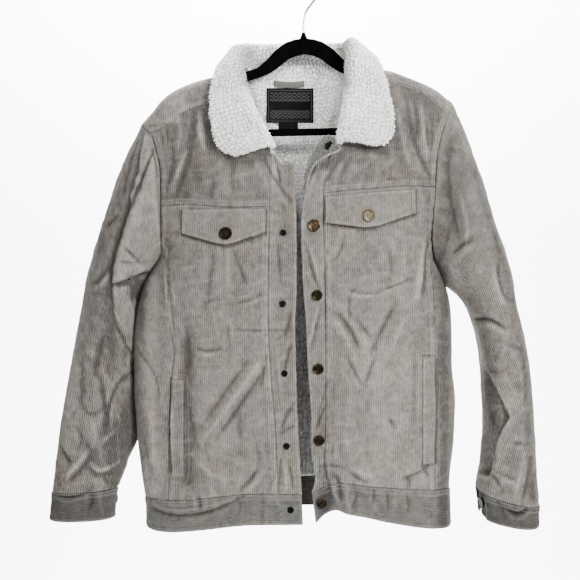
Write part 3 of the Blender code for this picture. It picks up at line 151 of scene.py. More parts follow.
FRONT_EDGE = {
    "left": table("z x", (-850, 0), (-800, -2), (-695, -8), (-540, -12), (-500, -10), (-402, -10), (-304, -14)),
    "right": table(
        "z x",
        (-846, 19), (-836, 13), (-800, 13), (-779, 18), (-735, 12), (-679, 12), (-611, 7), (-540, 4), (-474, -1),
        (-385, -3), (-343, 2), (-318, 4), (-290, 9),
    ),
}
PLACKET_SEAM = {
    "left": table("z x", (-800, -38), (-693, -43), (-631, -48), (-531, -53), (-367, -51), (-286, -49)),
    "right": table("z x", (-792, 31), (-658, 34), (-507, 33), (-347, 31), (-290, 38)),
}
PANEL_SEAM = {
    "left": table(
        "z x",
        (-814, -206), (-772, -205), (-628, -200), (-585, -196), (-540, -204), (-492, -206), (-445, -212),
        (-420, -219.5),
    ),
    "right": table("z x", (-803, 203), (-753, 202), (-594, 203), (-500, 200), (-445, 197), (-424, 200.5)),
}
BACK_SEAM = {
    "left": table("z x", (-814, -204), (-600, -206), (-500, -205), (-445, -211), (-420, -219.5)),
    "right": table("z x", (-803, 190), (-600, 194), (-500, 192), (-445, 195), (-424, 200.5)),
}
COLLAR_END = table(
    "x z",
    (-60, -286), (-44, -286.5), (-38, -293), (-33, -298.5), (-20, -300), (-15.5, -303), (-12.5, -309),
)
YOKE_INNER = {
    "left": table("z x", (-367, -51), (-325, -50), (-286, -49), (-250, -56), (-224, -72), (-190, -86)),
    "right": table("z x", (-347, 31), (-312, 34), (-277, 47), (-244, 55), (-205, 62), (-151, 69)),
}
SLEEVE = {
    "left": table(
        RING,
        (-254, -236, -224, -440, 44, 42, 0, 0), (-266, -262, -226, -446, 50, 48, 0, 0),
        (-285, -304, -234, -456, 56, 55, 0, 0), (-302, -351, -246, -471, 58, 60, 1, 0),
        (-317, -398, -256, -493, 58, 62, 2, 0), (-331, -445, -263, -521, 56, 62, 3, 0),
        (-345, -508, -267.5, -560, 54, 60, 4, 0), (-357, -571, -268.5, -604, 52, 56, 4, 0),
        (-368, -634, -266.5, -660, 50, 52, 4, 0), (-379, -696, -265, -714, 46, 46, 3, 0),
        (-387, -759, -275, -762, 38, 38, 2, 0), (-393, -806, -289, -799, 30, 30, 0, 4),
    ),
    "right": table(
        RING,
        (236, -200, 205, -444, 44, 42, 0, 0), (253, -241, 208, -450, 50, 50, 0, 0),
        (266, -278, 213, -458, 56, 58, 0, 0), (285, -330, 223, -471, 60, 64, 0, 0),
        (303, -392, 238, -493, 62, 66, 0, 0), (320, -442, 255, -516, 62, 66, 0, 0),
        (333, -508, 268, -547, 60, 66, 0, 0), (348, -571, 278, -587, 58, 64, 0, 0),
        (357, -634, 280, -641, 55, 60, 0, 0), (362, -696, 283, -695, 50, 54, 0, 0),
        (366, -759, 279, -752, 42, 44, 0, 4), (371, -826, 272, -800, 32, 32, 0, 10),
    ),
}
CUFF_END = {
    "left": table(RING, (-397, -850, -294, -846, 27, 27, 0, 4)),
    "right": table(RING, (371, -858, 276, -840, 28, 28, 0, 12)),
}
CUFF_EDGE = {"left": math.radians(-142), "right": math.radians(142)}
COLLAR = table(
    "neck_x neck_y neck_z roll_x roll_y roll_z edge_x edge_y edge_z",
    (-43, -76.5, -272, -44, -81, -271, -106, -83, -291), (-55, -70, -250, -57, -76, -247, -130, -73, -266),
    (-70, -58.5, -224, -72, -66, -220, -137, -67, -230), (-81, -44, -194, -84, -56, -187, -139, -61, -196),
    (-89, -28, -163, -92, -41, -150, -138, -49, -174), (-91, -4, -144, -94, -14, -124, -131, -17, -141),
    (-77, 20, -146, -81, 20, -113, -112, 40, -145), (-48, 28, -151, -50, 31, -110, -62, 64, -157),
    (-5, 32, -152, -6, 36, -107, -6, 68, -162), (31, 28, -149, 32, 31, -108, 42, 64, -157),
    (58, 18, -140, 60, 19, -111, 92, 38, -143), (68, -5, -128, 66, -12, -112, 113, -17, -129),
    (66, -33, -150, 67, -42, -139, 124, -47, -163), (63, -49, -188, 66, -58, -181, 128, -61, -194),
    (60, -60, -217, 62, -67, -213, 134, -67, -224), (54, -70, -243, 56, -76, -240, 135, -73, -248),
    (51, -76.5, -266, 52, -81, -265, 124, -83, -273),
)
FLAP_SNAP = {"left": (-116, -407), "right": (98, -380)}
SNAPS = {
    "left": table("z x", (-406, -30), (-513, -31), (-618, -28), (-728, -25), (-825, -19)),
    "right": table("z x", (-395, 16), (-500, 21), (-611, 23), (-719, 24), (-815, 28)),
}

# ------------------------------------------------------------------------------------- creases

# Each row is a crease along a bend through three places, in the hanger's plane. left and right
# are how far it fades to either side of its direction, and height is above or below the cloth.
BODY_CREASES = {
    "front": table(
        CREASE,
        # left front
        (-70, -605, -107, -658, -150, -716, 6, 8, 4.2), (-56, -607, -92, -661, -132, -719, 6, 4, -3),
        (-82, -598, -119, -649, -157, -704, 4, 8, -2.4), (-56, -583, -59, -616, -67, -640, 3, 4, -2.4),
        (-160, -581, -144, -584, -124, -581, 2.5, 2.5, -1.8), (-160, -587, -144, -589, -124, -587, 3, 3, 1.4),
        (-208, -438, -204, -497, -192, -584, 5, 3, -2.8), (-210, -462, -208, -497, -201, -558, 4, 4, 2.4),
        (-136, -427, -141, -480, -150, -531, 9, 9, -2.4), (-114, -427, -114, -462, -112, -492, 8, 8, 2.2),
        (-106, -431, -95, -459, -86, -483, 5, 5, -2), (-178, -549, -175, -584, -177, -616, 6, 6, -2.8),
        (-114, -546, -112, -566, -109, -584, 5, 5, -1.5), (-150, -513, -138, -507, -122, -503, 3, 5, -1.2),
        (-179, -625, -175, -683, -154, -741, 9, 7, -2.6), (-192, -704, -189, -734, -183, -776, 5, 5, 1.6),
        (-254, -587, -227, -625, -223, -657, 4, 4, -2.2), (-236, -679, -233, -702, -233, -760, 4, 4, 2.2),
        (-242, -737, -236, -770, -239, -785, 4, 4, -1.8), (-94, -679, -96, -702, -92, -741, 8, 8, -1.6),
        (-73, -722, -67, -741, -65, -760, 6, 6, -1.6), (-142, -712, -148, -731, -141, -752, 8, 8, -1.6),
        (-68, -764, -82, -781, -98, -799, 4, 4, -2.8), (-62, -770, -74, -785, -86, -800, 4, 4, 2.2),
        (-101, -513, -80, -507, -62, -498, 2, 2, -1.2), (-101, -516, -80, -511, -62, -502, 2.5, 2.5, 1),
        (-109, -552, -62, -553, -11, -552, 1.6, 1.6, -1.4), (-172, -737, -147, -764, -122, -779, 9, 9, 1.6),
        (-216, -741, -207, -764, -216, -797, 5, 5, -1.6),
        # left front strip
        (-17, -573, -24, -593, -27, -611, 3, 3, -3), (-15, -666, -26, -683, -34, -708, 3.5, 3.5, -3.2),
        (-13, -699, -23, -702, -33, -710, 2.5, 2.5, -1.6), (-39, -419, -36, -454, -35, -480, 4, 4, -1.8),
        (-19, -523, -23, -546, -29, -563, 3.5, 3.5, -2.6), (-34, -747, -36, -770, -37, -795, 2.5, 2.5, -2.6),
        (-29, -753, -27, -774, -27, -796, 3, 3, 2), (-23, -752, -17, -778, -16, -795, 2.5, 2.5, -2.2),
        (-52, -795, -46, -779, -42, -768, 2.5, 2.5, -1.8), (-41, -575, -36, -621, -33, -658, 4, 4, 1.8),
        # left yoke
        (-177, -278, -187, -303, -200, -335, 4, 5, 3.2), (-172, -255, -178, -292, -193, -345, 7, 4, -2.8),
        (-202, -257, -200, -292, -207, -331, 4, 4, -1.8), (-169, -219, -167, -240, -170, -264, 4, 4, -2.6),
        (-152, -219, -147, -247, -135, -271, 4, 4, -3.2), (-159, -219, -157, -252, -150, -278, 4, 4, 2.2),
        (-210, -244, -209, -254, -208, -265, 2.5, 2.5, -2), (-218, -252, -217, -259, -217, -268, 2.5, 2.5, -1.8),
        (-192, -228, -189, -254, -192, -277, 6, 6, 2.4), (-61, -288, -44, -323, -19, -357, 5, 4, -3.2),
        (-45, -287, -37, -315, -35, -332, 3.5, 3.5, -3), (-70, -305, -58, -326, -53, -354, 6, 6, 2),
        (-103, -296, -107, -326, -101, -353, 9, 9, -1.6), (-138, -296, -135, -326, -141, -356, 9, 9, -1.4),
        # right front
        (53, -527, 71, -551, 84, -580, 3, 6, -3.6), (45, -534, 62, -560, 74, -589, 5, 5, 2.2),
        (78, -534, 90, -548, 102, -563, 3, 5, -2.4), (140, -513, 122, -547, 102, -589, 8, 9, -3.4),
        (154, -534, 139, -565, 122, -598, 9, 9, 3), (66, -592, 80, -619, 89, -637, 3, 4, -2.4),
        (109, -593, 99, -619, 94, -637, 5, 6, -2.8), (95, -640, 98, -661, 92, -688, 9, 9, -1.6),
        (131, -685, 134, -693, 140, -702, 4, 4, -2.6), (62, -405, 57, -432, 44, -451, 3, 3, -1.8),
        (75, -492, 69, -516, 74, -541, 4, 4, -1.6), (61, -489, 96, -497, 116, -494, 1.8, 1.8, -1.3),
        (116, -494, 140, -485, 161, -475, 1.8, 1.8, -1.5), (61, -494, 96, -502, 140, -489, 2.5, 2.5, 1),
        (196, -402, 189, -459, 181, -503, 8, 3, -5), (185, -417, 178, -462, 170, -507, 6, 5, 2),
        (128, -432, 134, -459, 128, -483, 7, 7, -1.5), (154, -426, 152, -450, 158, -471, 7, 7, 1.6),
        (30, -758, 38, -781, 39, -797, 3, 3, -3), (45, -771, 54, -784, 56, -808, 3.5, 3.5, -3.6),
        (41, -781, 48, -802, 54, -814, 4, 4, 3), (32, -758, 47, -758, 63, -762, 3, 3, -1.8),
        (69, -765, 83, -777, 98, -783, 3.5, 3.5, -2.8), (71, -759, 89, -770, 107, -774, 5, 5, 2),
        (189, -765, 170, -773, 149, -782, 4, 4, -2.8), (156, -777, 161, -782, 160, -795, 3, 3, -2.2),
        (179, -760, 187, -769, 192, -776, 2, 2, -1.8), (104, -704, 95, -731, 104, -758, 9, 9, -1.5),
        (71, -658, 65, -704, 71, -749, 9, 9, 1.5), (167, -553, 170, -628, 164, -719, 7, 7, -1.5),
        (207, -553, 208, -628, 201, -734, 6, 6, -2),
        # right front strip
        (4, -414, 16, -450, 24, -482, 4, 4, 2.4), (35, -432, 33, -492, 36, -583, 3, 3, -2.2),
        (7, -426, 12, -456, 21, -486, 2.5, 3, -2), (29, -510, 19, -550, 12, -583, 4, 4, -2.4),
        (22, -516, 13, -553, 7, -577, 4, 4, 1.8), (41, -619, 26, -670, 19, -711, 3, 3, -1.8),
        (35, -665, 26, -685, 22, -702, 2.5, 2.5, -2.2), (22, -741, 25, -758, 24, -773, 2.5, 2.5, -1.8),
        (32, -734, 33, -756, 34, -779, 3, 3, -2.2),
        # right yoke
        (161, -198, 169, -260, 196, -320, 4, 4, -3.8), (169, -194, 174, -219, 175, -253, 3, 3, -2.2),
        (182, -204, 184, -248, 192, -288, 5, 5, 2.6), (190, -239, 191, -256, 190, -271, 3, 3, -2.6),
        (198, -216, 199, -245, 198, -268, 3, 3, -2), (57, -282, 46, -307, 29, -335, 7, 4, -4),
        (22, -308, 13, -329, 7, -347, 4, 4, 2.6), (72, -290, 63, -308, 54, -328, 6, 6, -1.8),
        (104, -284, 113, -308, 107, -332, 9, 9, 1.6), (146, -216, 152, -262, 167, -308, 6, 6, 2),
        # hems
        (-233, -830, -163, -834, -86, -801, 3, 4, -3), (-231, -823, -171, -826, -98, -803, 3, 3, 2),
        (-159, -805, -157, -815, -156, -826, 2.5, 2.5, -2.2), (-166, -805, -165, -814, -165, -824, 2.5, 2.5, 1.8),
        (-148, -805, -147, -814, -148, -824, 2.5, 2.5, 1.6), (-62, -805, -61, -824, -62, -847, 6, 6, -1.8),
        (-98, -808, -95, -821, -101, -836, 4, 4, -1.8), (105, -793, 107, -805, 105, -818, 3, 3, -1.8),
        (127, -795, 129, -813, 131, -835, 3, 3, -2), (139, -797, 140, -814, 137, -830, 4, 4, 1.4),
        (156, -799, 160, -813, 160, -830, 3, 3, -1.8), (74, -788, 80, -805, 74, -821, 5, 5, -2),
        (65, -785, 66, -806, 71, -827, 4, 4, 2.4),
    ),
    "back": table(
        CREASE,
        (-120, -330, -112, -500, -90, -700, 22, 30, 4.0), (110, -330, 106, -500, 90, -690, 30, 22, 4.0),
        (-20, -400, -8, -560, 0, -760, 22, 26, -4.0), (-196, -440, -150, -500, -110, -560, 12, 20, -3.4),
        (180, -440, 140, -500, 105, -560, 20, 12, -3.4), (-196, -500, -160, -560, -130, -640, 14, 20, 2.4),
        (184, -500, 156, -570, 130, -650, 20, 14, 2.4), (-60, -620, -40, -700, -54, -780, 14, 18, -2.4),
        (60, -600, 48, -690, 60, -780, 18, 14, -2.2), (-150, -230, -150, -260, -144, -290, 14, 16, -1.6),
        (140, -225, 144, -255, 138, -280, 16, 14, -1.6), (-150, -700, -160, -750, -150, -800, 12, 16, 2.4),
        (150, -690, 158, -740, 150, -790, 16, 12, 2.2), (0, -190, 6, -230, 0, -280, 20, 20, 1.6),
    ),
}
SLEEVE_CREASES = {
    "left": {
        "front": table(
            CREASE,
            (-257, -332, -283, -428, -298, -507, 3, 14, -4.5), (-268, -278, -283, -332, -304, -408, 8, 8, 3),
            (-255, -263, -268, -306, -274, -348, 4, 5, -3), (-326, -485, -309, -470, -297, -452, 4, 4, -2.8),
            (-320, -491, -304, -478, -295, -465, 4, 4, 2.4), (-284, -378, -294, -387, -301, -397, 3, 3, -2),
            (-276, -423, -263, -437, -251, -451, 3, 3, -3.4), (-281, -428, -268, -443, -254, -455, 4, 4, 2),
            (-282, -448, -268, -449, -234, -446, 3, 4, -2.6), (-251, -469, -255, -494, -258, -543, 6, 5, -8),
            (-235, -463, -251, -471, -271, -482, 3, 6, -7), (-306, -564, -315, -592, -318, -625, 6, 5, -4),
            (-311, -625, -305, -667, -303, -706, 5, 5, -4.6), (-261, -616, -288, -645, -301, -691, 7, 4, -5.5),
            (-292, -657, -295, -683, -294, -706, 6, 6, 2.8), (-339, -675, -324, -683, -306, -675, 3, 3, -1.6),
            (-337, -592, -341, -633, -339, -675, 4, 4, -1.4), (-329, -584, -332, -627, -329, -665, 5, 5, 1.2),
            (-349, -675, -356, -686, -364, -698, 4, 4, -2.2), (-373, -737, -367, -748, -358, -757, 3, 3, -3.6),
            (-334, -743, -350, -763, -366, -780, 4, 5, 4.2), (-330, -751, -344, -769, -362, -787, 5, 3, -4),
            (-309, -728, -301, -719, -292, -711, 4, 4, 3), (-306, -734, -298, -725, -289, -717, 4, 3, -3.2),
            (-328, -758, -313, -769, -286, -758, 4, 4, 3), (-328, -767, -313, -778, -286, -767, 4, 4, -4),
            (-280, -667, -273, -694, -280, -725, 9, 9, -3), (-308, -776, -306, -784, -303, -793, 2.5, 2.5, -2.8),
            (-347, -706, -341, -722, -350, -740, 6, 6, -2), (-326, -691, -320, -715, -326, -737, 6, 6, 2),
            (-362, -648, -372, -691, -372, -729, 6, 6, 2),
        ),
        "back": table(
            CREASE,
            (-250, -300, -268, -380, -290, -470, 14, 14, -5.0), (-240, -450, -270, -480, -310, -500, 10, 10, -4.5),
            (-282, -500, -296, -560, -284, -620, 12, 12, 4.0), (-330, -500, -340, -580, -330, -640, 12, 12, -4.0),
            (-280, -600, -310, -640, -350, -650, 9, 9, -4.0), (-310, -660, -320, -720, -310, -780, 12, 12, 3.5),
            (-350, -660, -352, -720, -360, -780, 9, 9, -3.0),
        ),
    },
    "right": {
        "front": table(
            CREASE,
            (228, -262, 224, -340, 240, -418, 8, 26, -3.2), (256, -416, 240, -426, 228, -438, 3, 5, -2.6),
            (256, -428, 240, -442, 226, -458, 6, 8, 2.2), (226, -452, 232, -470, 246, -482, 4, 5, 1.6),
            (260, -543, 278, -537, 307, -550, 3, 4, -5.2), (262, -553, 281, -547, 307, -558, 5, 5, 2.8),
            (297, -451, 301, -485, 315, -509, 6, 4, -2.8), (289, -449, 294, -483, 306, -514, 5, 6, 2.2),
            (240, -348, 249, -397, 243, -434, 7, 7, 2.4), (255, -278, 277, -348, 298, -416, 8, 8, 2),
            (237, -501, 249, -520, 265, -535, 4, 4, 2.4), (289, -765, 307, -777, 327, -786, 3, 3, -2.8),
            (282, -772, 297, -784, 309, -806, 3, 3, -2.4), (295, -767, 314, -784, 332, -795, 4, 4, 2),
            (320, -723, 330, -728, 341, -729, 3, 3, -1.8), (352, -749, 346, -787, 338, -826, 8, 3, -3.4),
            (338, -746, 333, -783, 326, -816, 5, 6, 2), (282, -615, 291, -618, 300, -618, 3, 3, -1.8),
            (307, -599, 320, -630, 338, -648, 8, 8, -1.8), (301, -569, 320, -578, 338, -584, 5, 5, -1.6),
            (318, -584, 332, -618, 338, -660, 7, 7, 2), (306, -726, 301, -749, 297, -771, 5, 4, 2),
            (283, -660, 289, -699, 286, -737, 4, 4, -2), (323, -507, 329, -530, 336, -553, 4, 4, -2.4),
        ),
        "back": table(
            CREASE,
            (240, -300, 256, -380, 276, -460, 14, 14, -4.6), (226, -450, 256, -480, 296, -496, 10, 10, -4.2),
            (270, -500, 286, -560, 280, -620, 12, 12, 4.0), (320, -500, 330, -570, 322, -640, 12, 12, -4.0),
            (276, -600, 300, -640, 340, -650, 9, 9, -4.0), (300, -660, 310, -720, 300, -780, 12, 12, 3.4),
            (340, -660, 342, -720, 348, -780, 9, 9, -3.0),
        ),
    },
}

CUFF_CREASES = {
    "left": table(
        CREASE,
        (-383, -810, -362, -813, -335, -806, 2.5, 2.5, -3.6), (-383, -816, -362, -819, -335, -812, 3, 3, 1.8),
        (-332, -804, -326, -818, -332, -836, 4, 4, -2), (-313, -801, -315, -821, -310, -841, 4, 4, 1.6),
    ),
    "right": table(
        CREASE,
        (314, -829, 332, -838, 350, -828, 3, 3, -5.5), (314, -836, 332, -845, 350, -836, 3.5, 3.5, 3.2),
        (295, -810, 306, -826, 314, -841, 4, 4, -2.4),
    ),
}
# Painted shade on the cloth, mostly where it lies in the shade of an overlap, and painted light where the depth is
# below zero: a line from place to place, its width and how dark.
SHADES = {
    "neck": table(
        LINE,
        (-90, -160, -74, -205, 12, 0.5), (-74, -205, -55, -236, 11, 0.5), (-55, -236, -40, -262, 9, 0.4),
        (66, -150, 60, -196, 9, 0.42), (60, -196, 51, -221, 9, 0.42), (51, -221, 50, -252, 8, 0.4),
        (-92, -116, -62, -140, 14, 0.55), (60, -108, 64, -140, 9, 0.5), (-78, -152, 58, -148, 3, 0.22),
    ),
    "front": table(
        LINE,
        (-102, -301, -53, -285, 6, 0.4), (56, -281, 128, -282, 6, 0.34), (84, -290, 166, -306, 34, 0.11),
        (12, -314, 57, -289, 9, 0.5), (4, -334, 12, -314, 5, 0.4), (-242, -466, -248, -553, 5, 0.3),
        (207, -436, 216, -506, 6, 0.45), (216, -506, 217, -540, 4, 0.3), (-184, -407, -117, -427, 2.8, 0.8),
        (-117, -427, -56, -407, 2.8, 0.8), (-184.5, -372, -184.5, -406, 2.0, 0.6),
        (-55.5, -372, -55.5, -406, 2.2, 0.8), (32, -393, 101, -401, 2.8, 0.8), (101, -401, 171, -377, 2.8, 0.8),
        (171.5, -341, 171.5, -376, 2.2, 0.7), (31.5, -352, 31.5, -392, 2.0, 0.6),
        (-199.5, -628, -200, -668, 3.2, 1.1), (-200, -668, -203, -770, 2.6, 1.0),
        (203.5, -592, 203, -756, 1.8, 0.5), (-144, -160, -142, -206, 11, 0.5), (-142, -206, -138, -268, 11, 0.5),
        (-138, -268, -104, -299, 8, 0.5), (-104, -299, -52, -288, 7, 0.5), (134, -196, 140, -246, 8, 0.36),
        (140, -246, 118, -280, 8, 0.4), (118, -280, 62, -277, 8, 0.4), (96, -165, 150, -235, 42, 0.32),
        (-165, -200, -172, -340, 22, 0.22), (150, -165, 205, -215, 24, 0.36), (-174, -570, -174, -780, 13, 0.5),
        (37, -640, 35, -835, 11, 0.28), (-20, -290, -24, -400, 13, 0.3), (-24, -400, -24, -700, 11, 0.13),
        (123, -585, 125, -750, 40, -0.2), (-140, -630, -140, -720, 24, -0.12), (196, -330, 204, -540, 12, 0.32),
        (212, -470, 217, -560, 10, 0.42), (217, -560, 217, -860, 11, 0.5), (-233, -480, -230, -800, 11, -0.5),
        (216, -468, 219, -530, 7, 0.75), (37, -780, 36, -850, 12, 0.5), (205.5, -598, 205, -752, 1.8, 0.9),
        (182, -592, 203, -594, 1.8, 0.6), (184, -761, 204, -757, 2.2, 0.7),
    ),
    "left": table(
        LINE,
        (-281, -486, -247, -464, 4, 0.5), (-258, -480, -247, -500, 9, 0.55), (-250, -500, -256, -566, 6, 0.6),
        (-264, -371, -290, -445, 5, 0.3), (-290, -445, -291, -526, 6, 0.4), (-291, -526, -268, -590, 5, 0.35),
        (-240, -262, -262, -365, 4, 0.35), (-252, -600, -260, -655, 15, 0.32), (-260, -655, -286, -765, 20, 0.5),
        (-330, -440, -345, -560, 13, -0.4), (-350, -560, -362, -715, 13, -0.45), (-294, -515, -294, -615, 11, 0.5),
        (-294, -560, -296, -700, 13, 0.3), (-296, -700, -290, -800, 16, 0.55), (-260, -515, -260, -590, 9, -0.5),
        (-266, -472, -262, -500, 8, 0.8), (-322, -735, -326, -800, 15, 0.28), (-300, -745, -350, -785, 9, 0.22),
        (-300, -640, -322, -690, 12, 0.2),
    ),
    "right": table(
        LINE,
        (212, -255, 203, -330, 8, 0.16), (226, -262, 222, -420, 24, 0.22), (256, -417, 232, -434, 5, 0.3),
        (222, -425, 236, -495, 11, -0.3), (262, -300, 280, -355, 9, 0.36), (280, -355, 306, -446, 9, 0.4),
        (306, -446, 323, -507, 9, 0.36), (323, -507, 331, -568, 9, 0.22), (331, -568, 346, -660, 9, 0.38),
        (346, -660, 349, -750, 8, 0.3), (349, -750, 357, -815, 10, 0.42), (312, -570, 318, -670, 12, -0.18),
        (269, -590, 275, -622, 6, 0.42), (275, -622, 283, -660, 8, 0.38), (279, -660, 284, -690, 10, 0.34),
        (276, -690, 276, -757, 9, 0.34), (267, -757, 267, -800, 8, 0.5),
    ),
}
# Border of the half of the left sleeve that turns away from the front, which gets painted shade: x by the way down.
OUTER_HALF = table(
    "down x",
    (240, -238), (262, -241), (370, -264), (434, -289), (480, -289), (507, -289), (553, -283), (590, -268),
    (640, -290), (700, -305), (780, -320),
)
# Folds that stand over the cloth beside them: height, how far the edge rolls, and the outline.
SLEEVE_FOLDS = {
    "left": (
        (9, 9, (
            (-231, -284), (-264, -371), (-280, -416), (-290, -445), (-293, -483), (-282, -481), (-260, -472),
            (-235, -464), (-225, -451), (-219, -442), (-202, -440), (-202, -318), (-222, -318),
        )),
        (5, 5, (
            (-244, -248), (-231, -260), (-232, -283), (-251, -329), (-261, -361), (-265, -382), (-264, -348),
            (-254, -312),
        )),
        (6, 6.5, (
            (-290, -483), (-293, -492), (-290, -526), (-283, -553), (-271, -584), (-258, -604), (-251, -602),
            (-257, -555), (-264, -518), (-268, -485),
        )),
    ),
    "right": (
        (-6, 7, (
            (268, -576), (280, -607), (292, -633), (306, -663), (317, -686), (306, -706), (300, -723),
            (292, -767), (286, -783), (255, -783), (246, -660), (255, -576),
        )),
    ),
}

# -------------------------------------------------------------------------------- small pieces

# Rows of the collar's table that run round the back of the neck.
BACK_NECK = slice(5, 12)
# Where the shoulder line, and the yoke's seam in front, end at the sleeves.
RIDGE_END = {"left": RIDGE["x"][0], "right": RIDGE["x"][-1]}
STRAP_END = {"left": -236.0, "right": 226.0}
PLACKET_TOP = -277.0
# Front pieces: height and width that their points are spread over, share of the mesh step across,
# seed, painted shade, and styles of their four borders.
FRONT_PIECES = {
    "front_panel": (450, 160, 1.0, 11, 0.0, ("under", "under", "double", "double")),
    "front_yoke": (150, 160, 1.0, 21, 0.17, ("double", "under", "plain", "double")),
    "placket": (510, 42, 0.8, 31, 0.0, ("under", "edge", "edge", "under")),
}
# Sleeve parts: first and last turn, width, and the turn where the wales start.
SLEEVE_PARTS = {
    "top": (-SPLIT, SPLIT, 260.0, 0.35),
    "under": (SPLIT, 2 * math.pi - SPLIT, 110.0, math.pi),
}
# Thickness of the bands, and the tone of the back band's inner face, which is painted shade.
BAND_THICKNESS, FACING_SHADE = 3.2, 0.12
# How far the under sleeve swells against the body, and how much painted shade it gets there.
SWELL = {"left": (10.5, 0.55), "right": (9.0, 0.0)}
POCKET_STEP = 1.7
# Sides, levels of the lower corners, the point, and levels of the upper corners.
FLAP = {
    "left": ((-183.0, -57.0), (-406.0, -405.0), (-117.0, -425.0), (-369.5, -369.5)),
    "right": ((33.0, 170.0), (-391.0, -375.0), (101.0, -399.0), (-351.0, -338.3)),
}
# Sides, bottom and top, and the painted shade at the free edge; below zero it is a painted highlight.
WELT = {
    "left": ((-199.0, -181.0), (-776.0, -628.0), -0.35),
    "right": ((182.0, 201.0), (-758.0, -596.0), 0.55),
}
# Outlines of the stitching round the pocket bags.
BAGS = (
    ((-178, -412), (-176, -470), (-160, -498), (-120, -504), (-80, -498), (-62, -470), (-60, -410)),
    ((38, -396), (40, -450), (54, -484), (99, -496), (140, -488), (165, -473), (168, -382)),
    ((-206, -622), (-178, -622), (-176, -640), (-174, -700), (-176, -782), (-206, -782)),
    ((206, -590), (178, -590), (176, -620), (175, -690), (178, -764), (206, -764)),
)
# Fold and free edge of the turned-back corner.
CORNER = table(
    "z fold free",
    (-340, 2, 4), (-326, 4, 7), (-312, 7, 12), (-300, 10, 21), (-290, 14, 38), (-282, 18, 54), (-274, 22, 50),
    (-262, 29, 45),
)
# Outlines of turned parts, from the middle out and under: share of the radius, and height. The cap
# has a rolled rim, a fine bead and a low dome; the socket is a rolled ring round a deep well.
CAP = (
    (0, 2.55), (0.2, 2.5), (0.42, 2.4), (0.56, 2.3), (0.6, 2.5), (0.64, 2.6), (0.68, 2.45), (0.74, 2.7),
    (0.82, 3.05), (0.9, 3.0), (0.97, 2.5), (1, 1.8), (0.98, 1.1), (0.92, 0.5), (0.86, 0.2), (0.85, -1.2),
    (0, -1.2),
)
SOCKET = (
    (0, 0.5), (0.3, 0.5), (0.36, 0.7), (0.4, 1.5), (0.46, 1.9), (0.56, 2.1), (0.7, 2.1), (0.84, 1.9),
    (0.95, 1.5), (1, 1.0), (0.99, 0.4), (0.95, -1.2), (0, -1.2),
)
# Radius, height over the cloth, material and slot of the snaps.
FIRST_CAP = (9.4, 0.9, "bronze with painted highlight", "antique_bronze")
OTHER_CAPS = (8.2, 0.9, "bronze", "antique_bronze")
SOCKETS = (5.0, 0.6, "black metal", "blackened_metal")
FLAP_CAPS = {"left": (9.6, 5.2, "dark bronze", "antique_bronze"), "right": (9.6, 5.2, "brass", "antique_bronze")}
TOP_SNAP, TOP_SOCKET = (38.0, -276.0), (7.4, 8.0, "black metal", "blackened_metal")
TOP_LEAN = (0.9, 0.0, -0.5)
# Radius of the cuffs' caps, how far they sit below the middle of their solids, material and slot.
CUFF_CAP = (8.6, 1.4, "dark bronze", "antique_bronze")
# Points along and across the collar, its loose curls, and its thickness over the under collar.
COLLAR_GRID, COLLAR_CURLS, COLLAR_THICKNESS = (560, 96), 16000, 8.4
LINING_STEP, LINING_GAP = 3.6, 3.4
# Painted shade on the linings inside the body: how dark they get, and from which level to which, in millimetres down.
BACK_LINING_SHADE = ((0.24, 226.0, 256.0), (0.52, 270.0, 420.0), (0.06, 500.0, 640.0))
FRONT_LINING_SHADE = (0.7, 225.0, 330.0)
# Sides, bottom and top, height over the lining, material and points across.
LABELS = {
    "neck_label": ((-59.0, 18.0), (-221.0, -167.0), 2.8, "neck label", 56),
    "size_tab": ((-39.0, -7.0), (-232.0, -221.4), 2.4, "size tab", 20),
}
# Material and rounding of the hanger's solids, in metres.
HANGER_LOOKS = {
    "hanger_frame": ("black flock", 0.0012),
    "hanger_neck": ("black flock", 0.0003),
    "hook": ("hook wire", 0.0003),
}
# Rounds in which a place between seams settles.
SETTLING = 40
# Camera, world, floor and backdrop, in metres, and the lights: place, target, size, watts and
# spread in degrees.
LENS, SENSOR, CAMERA_PLACE = 79.07, 36.0, (-0.0198, -2.0, -0.4922)
WORLD_STRENGTH = 0.24
FLOOR_Z, BACKDROP_Y, BEND_RADIUS = -1.7, 1.6, 1.4
LIGHTS = {
    "key": ((1.45, -1.95, 0.5), (0.0, 0.0, -0.48), 0.75, 150.0, 180),
    "fill": ((-0.45, -2.8, 0.0), (0.0, 0.0, -0.48), 1.0, 27.0, 180),
    "top": ((0.2, -0.6, 1.6), (0.0, 0.0, -0.48), 1.0, 20.0, 180),
    "neck": ((-0.1, -1.7, 0.3), (-0.015, 0.0, -0.175), 0.25, 0.45, 15),
    "backdrop": ((0.0, 1.3, 1.8), (0.0, 3.0, -0.6), 3.0, 1100.0, 180),
}
# fmt: on

# ---------------------------------------------------------------------------- curves and noise


def smooth(at_rows, values, at):
    """Values on a curve through the rows, whose slope at a row is that of its neighbours."""
    at = np.clip(np.asarray(at, dtype=float), at_rows[0], at_rows[-1])
    last = len(at_rows) - 1
    i = np.clip(np.searchsorted(at_rows, at, side="right") - 1, 0, last - 1)
    step = at_rows[i + 1] - at_rows[i]
    low, high = np.maximum(i - 1, 0), np.minimum(i + 2, last)
    slope_a = (values[i + 1] - values[low]) / (at_rows[i + 1] - at_rows[low]) * step
    slope_b = (values[high] - values[i]) / (at_rows[high] - at_rows[i]) * step
    t = (at - at_rows[i]) / step
    return (
        (2 * t**3 - 3 * t**2 + 1) * values[i]
        + (t**3 - 2 * t**2 + t) * slope_a
        + (3 * t**2 - 2 * t**3) * values[i + 1]
        + (t**3 - t**2) * slope_b
    )


def read(rows, value, by, at):
    """A column's value where another column is at a place."""
    return smooth(rows[by], rows[value], at)


def step_between(low, high, value):
    """Smooth step from 0 at low to 1 at high."""
    t = np.clip((value - low) / (high - low), 0.0, 1.0)
    return t * t * (3 - 2 * t)


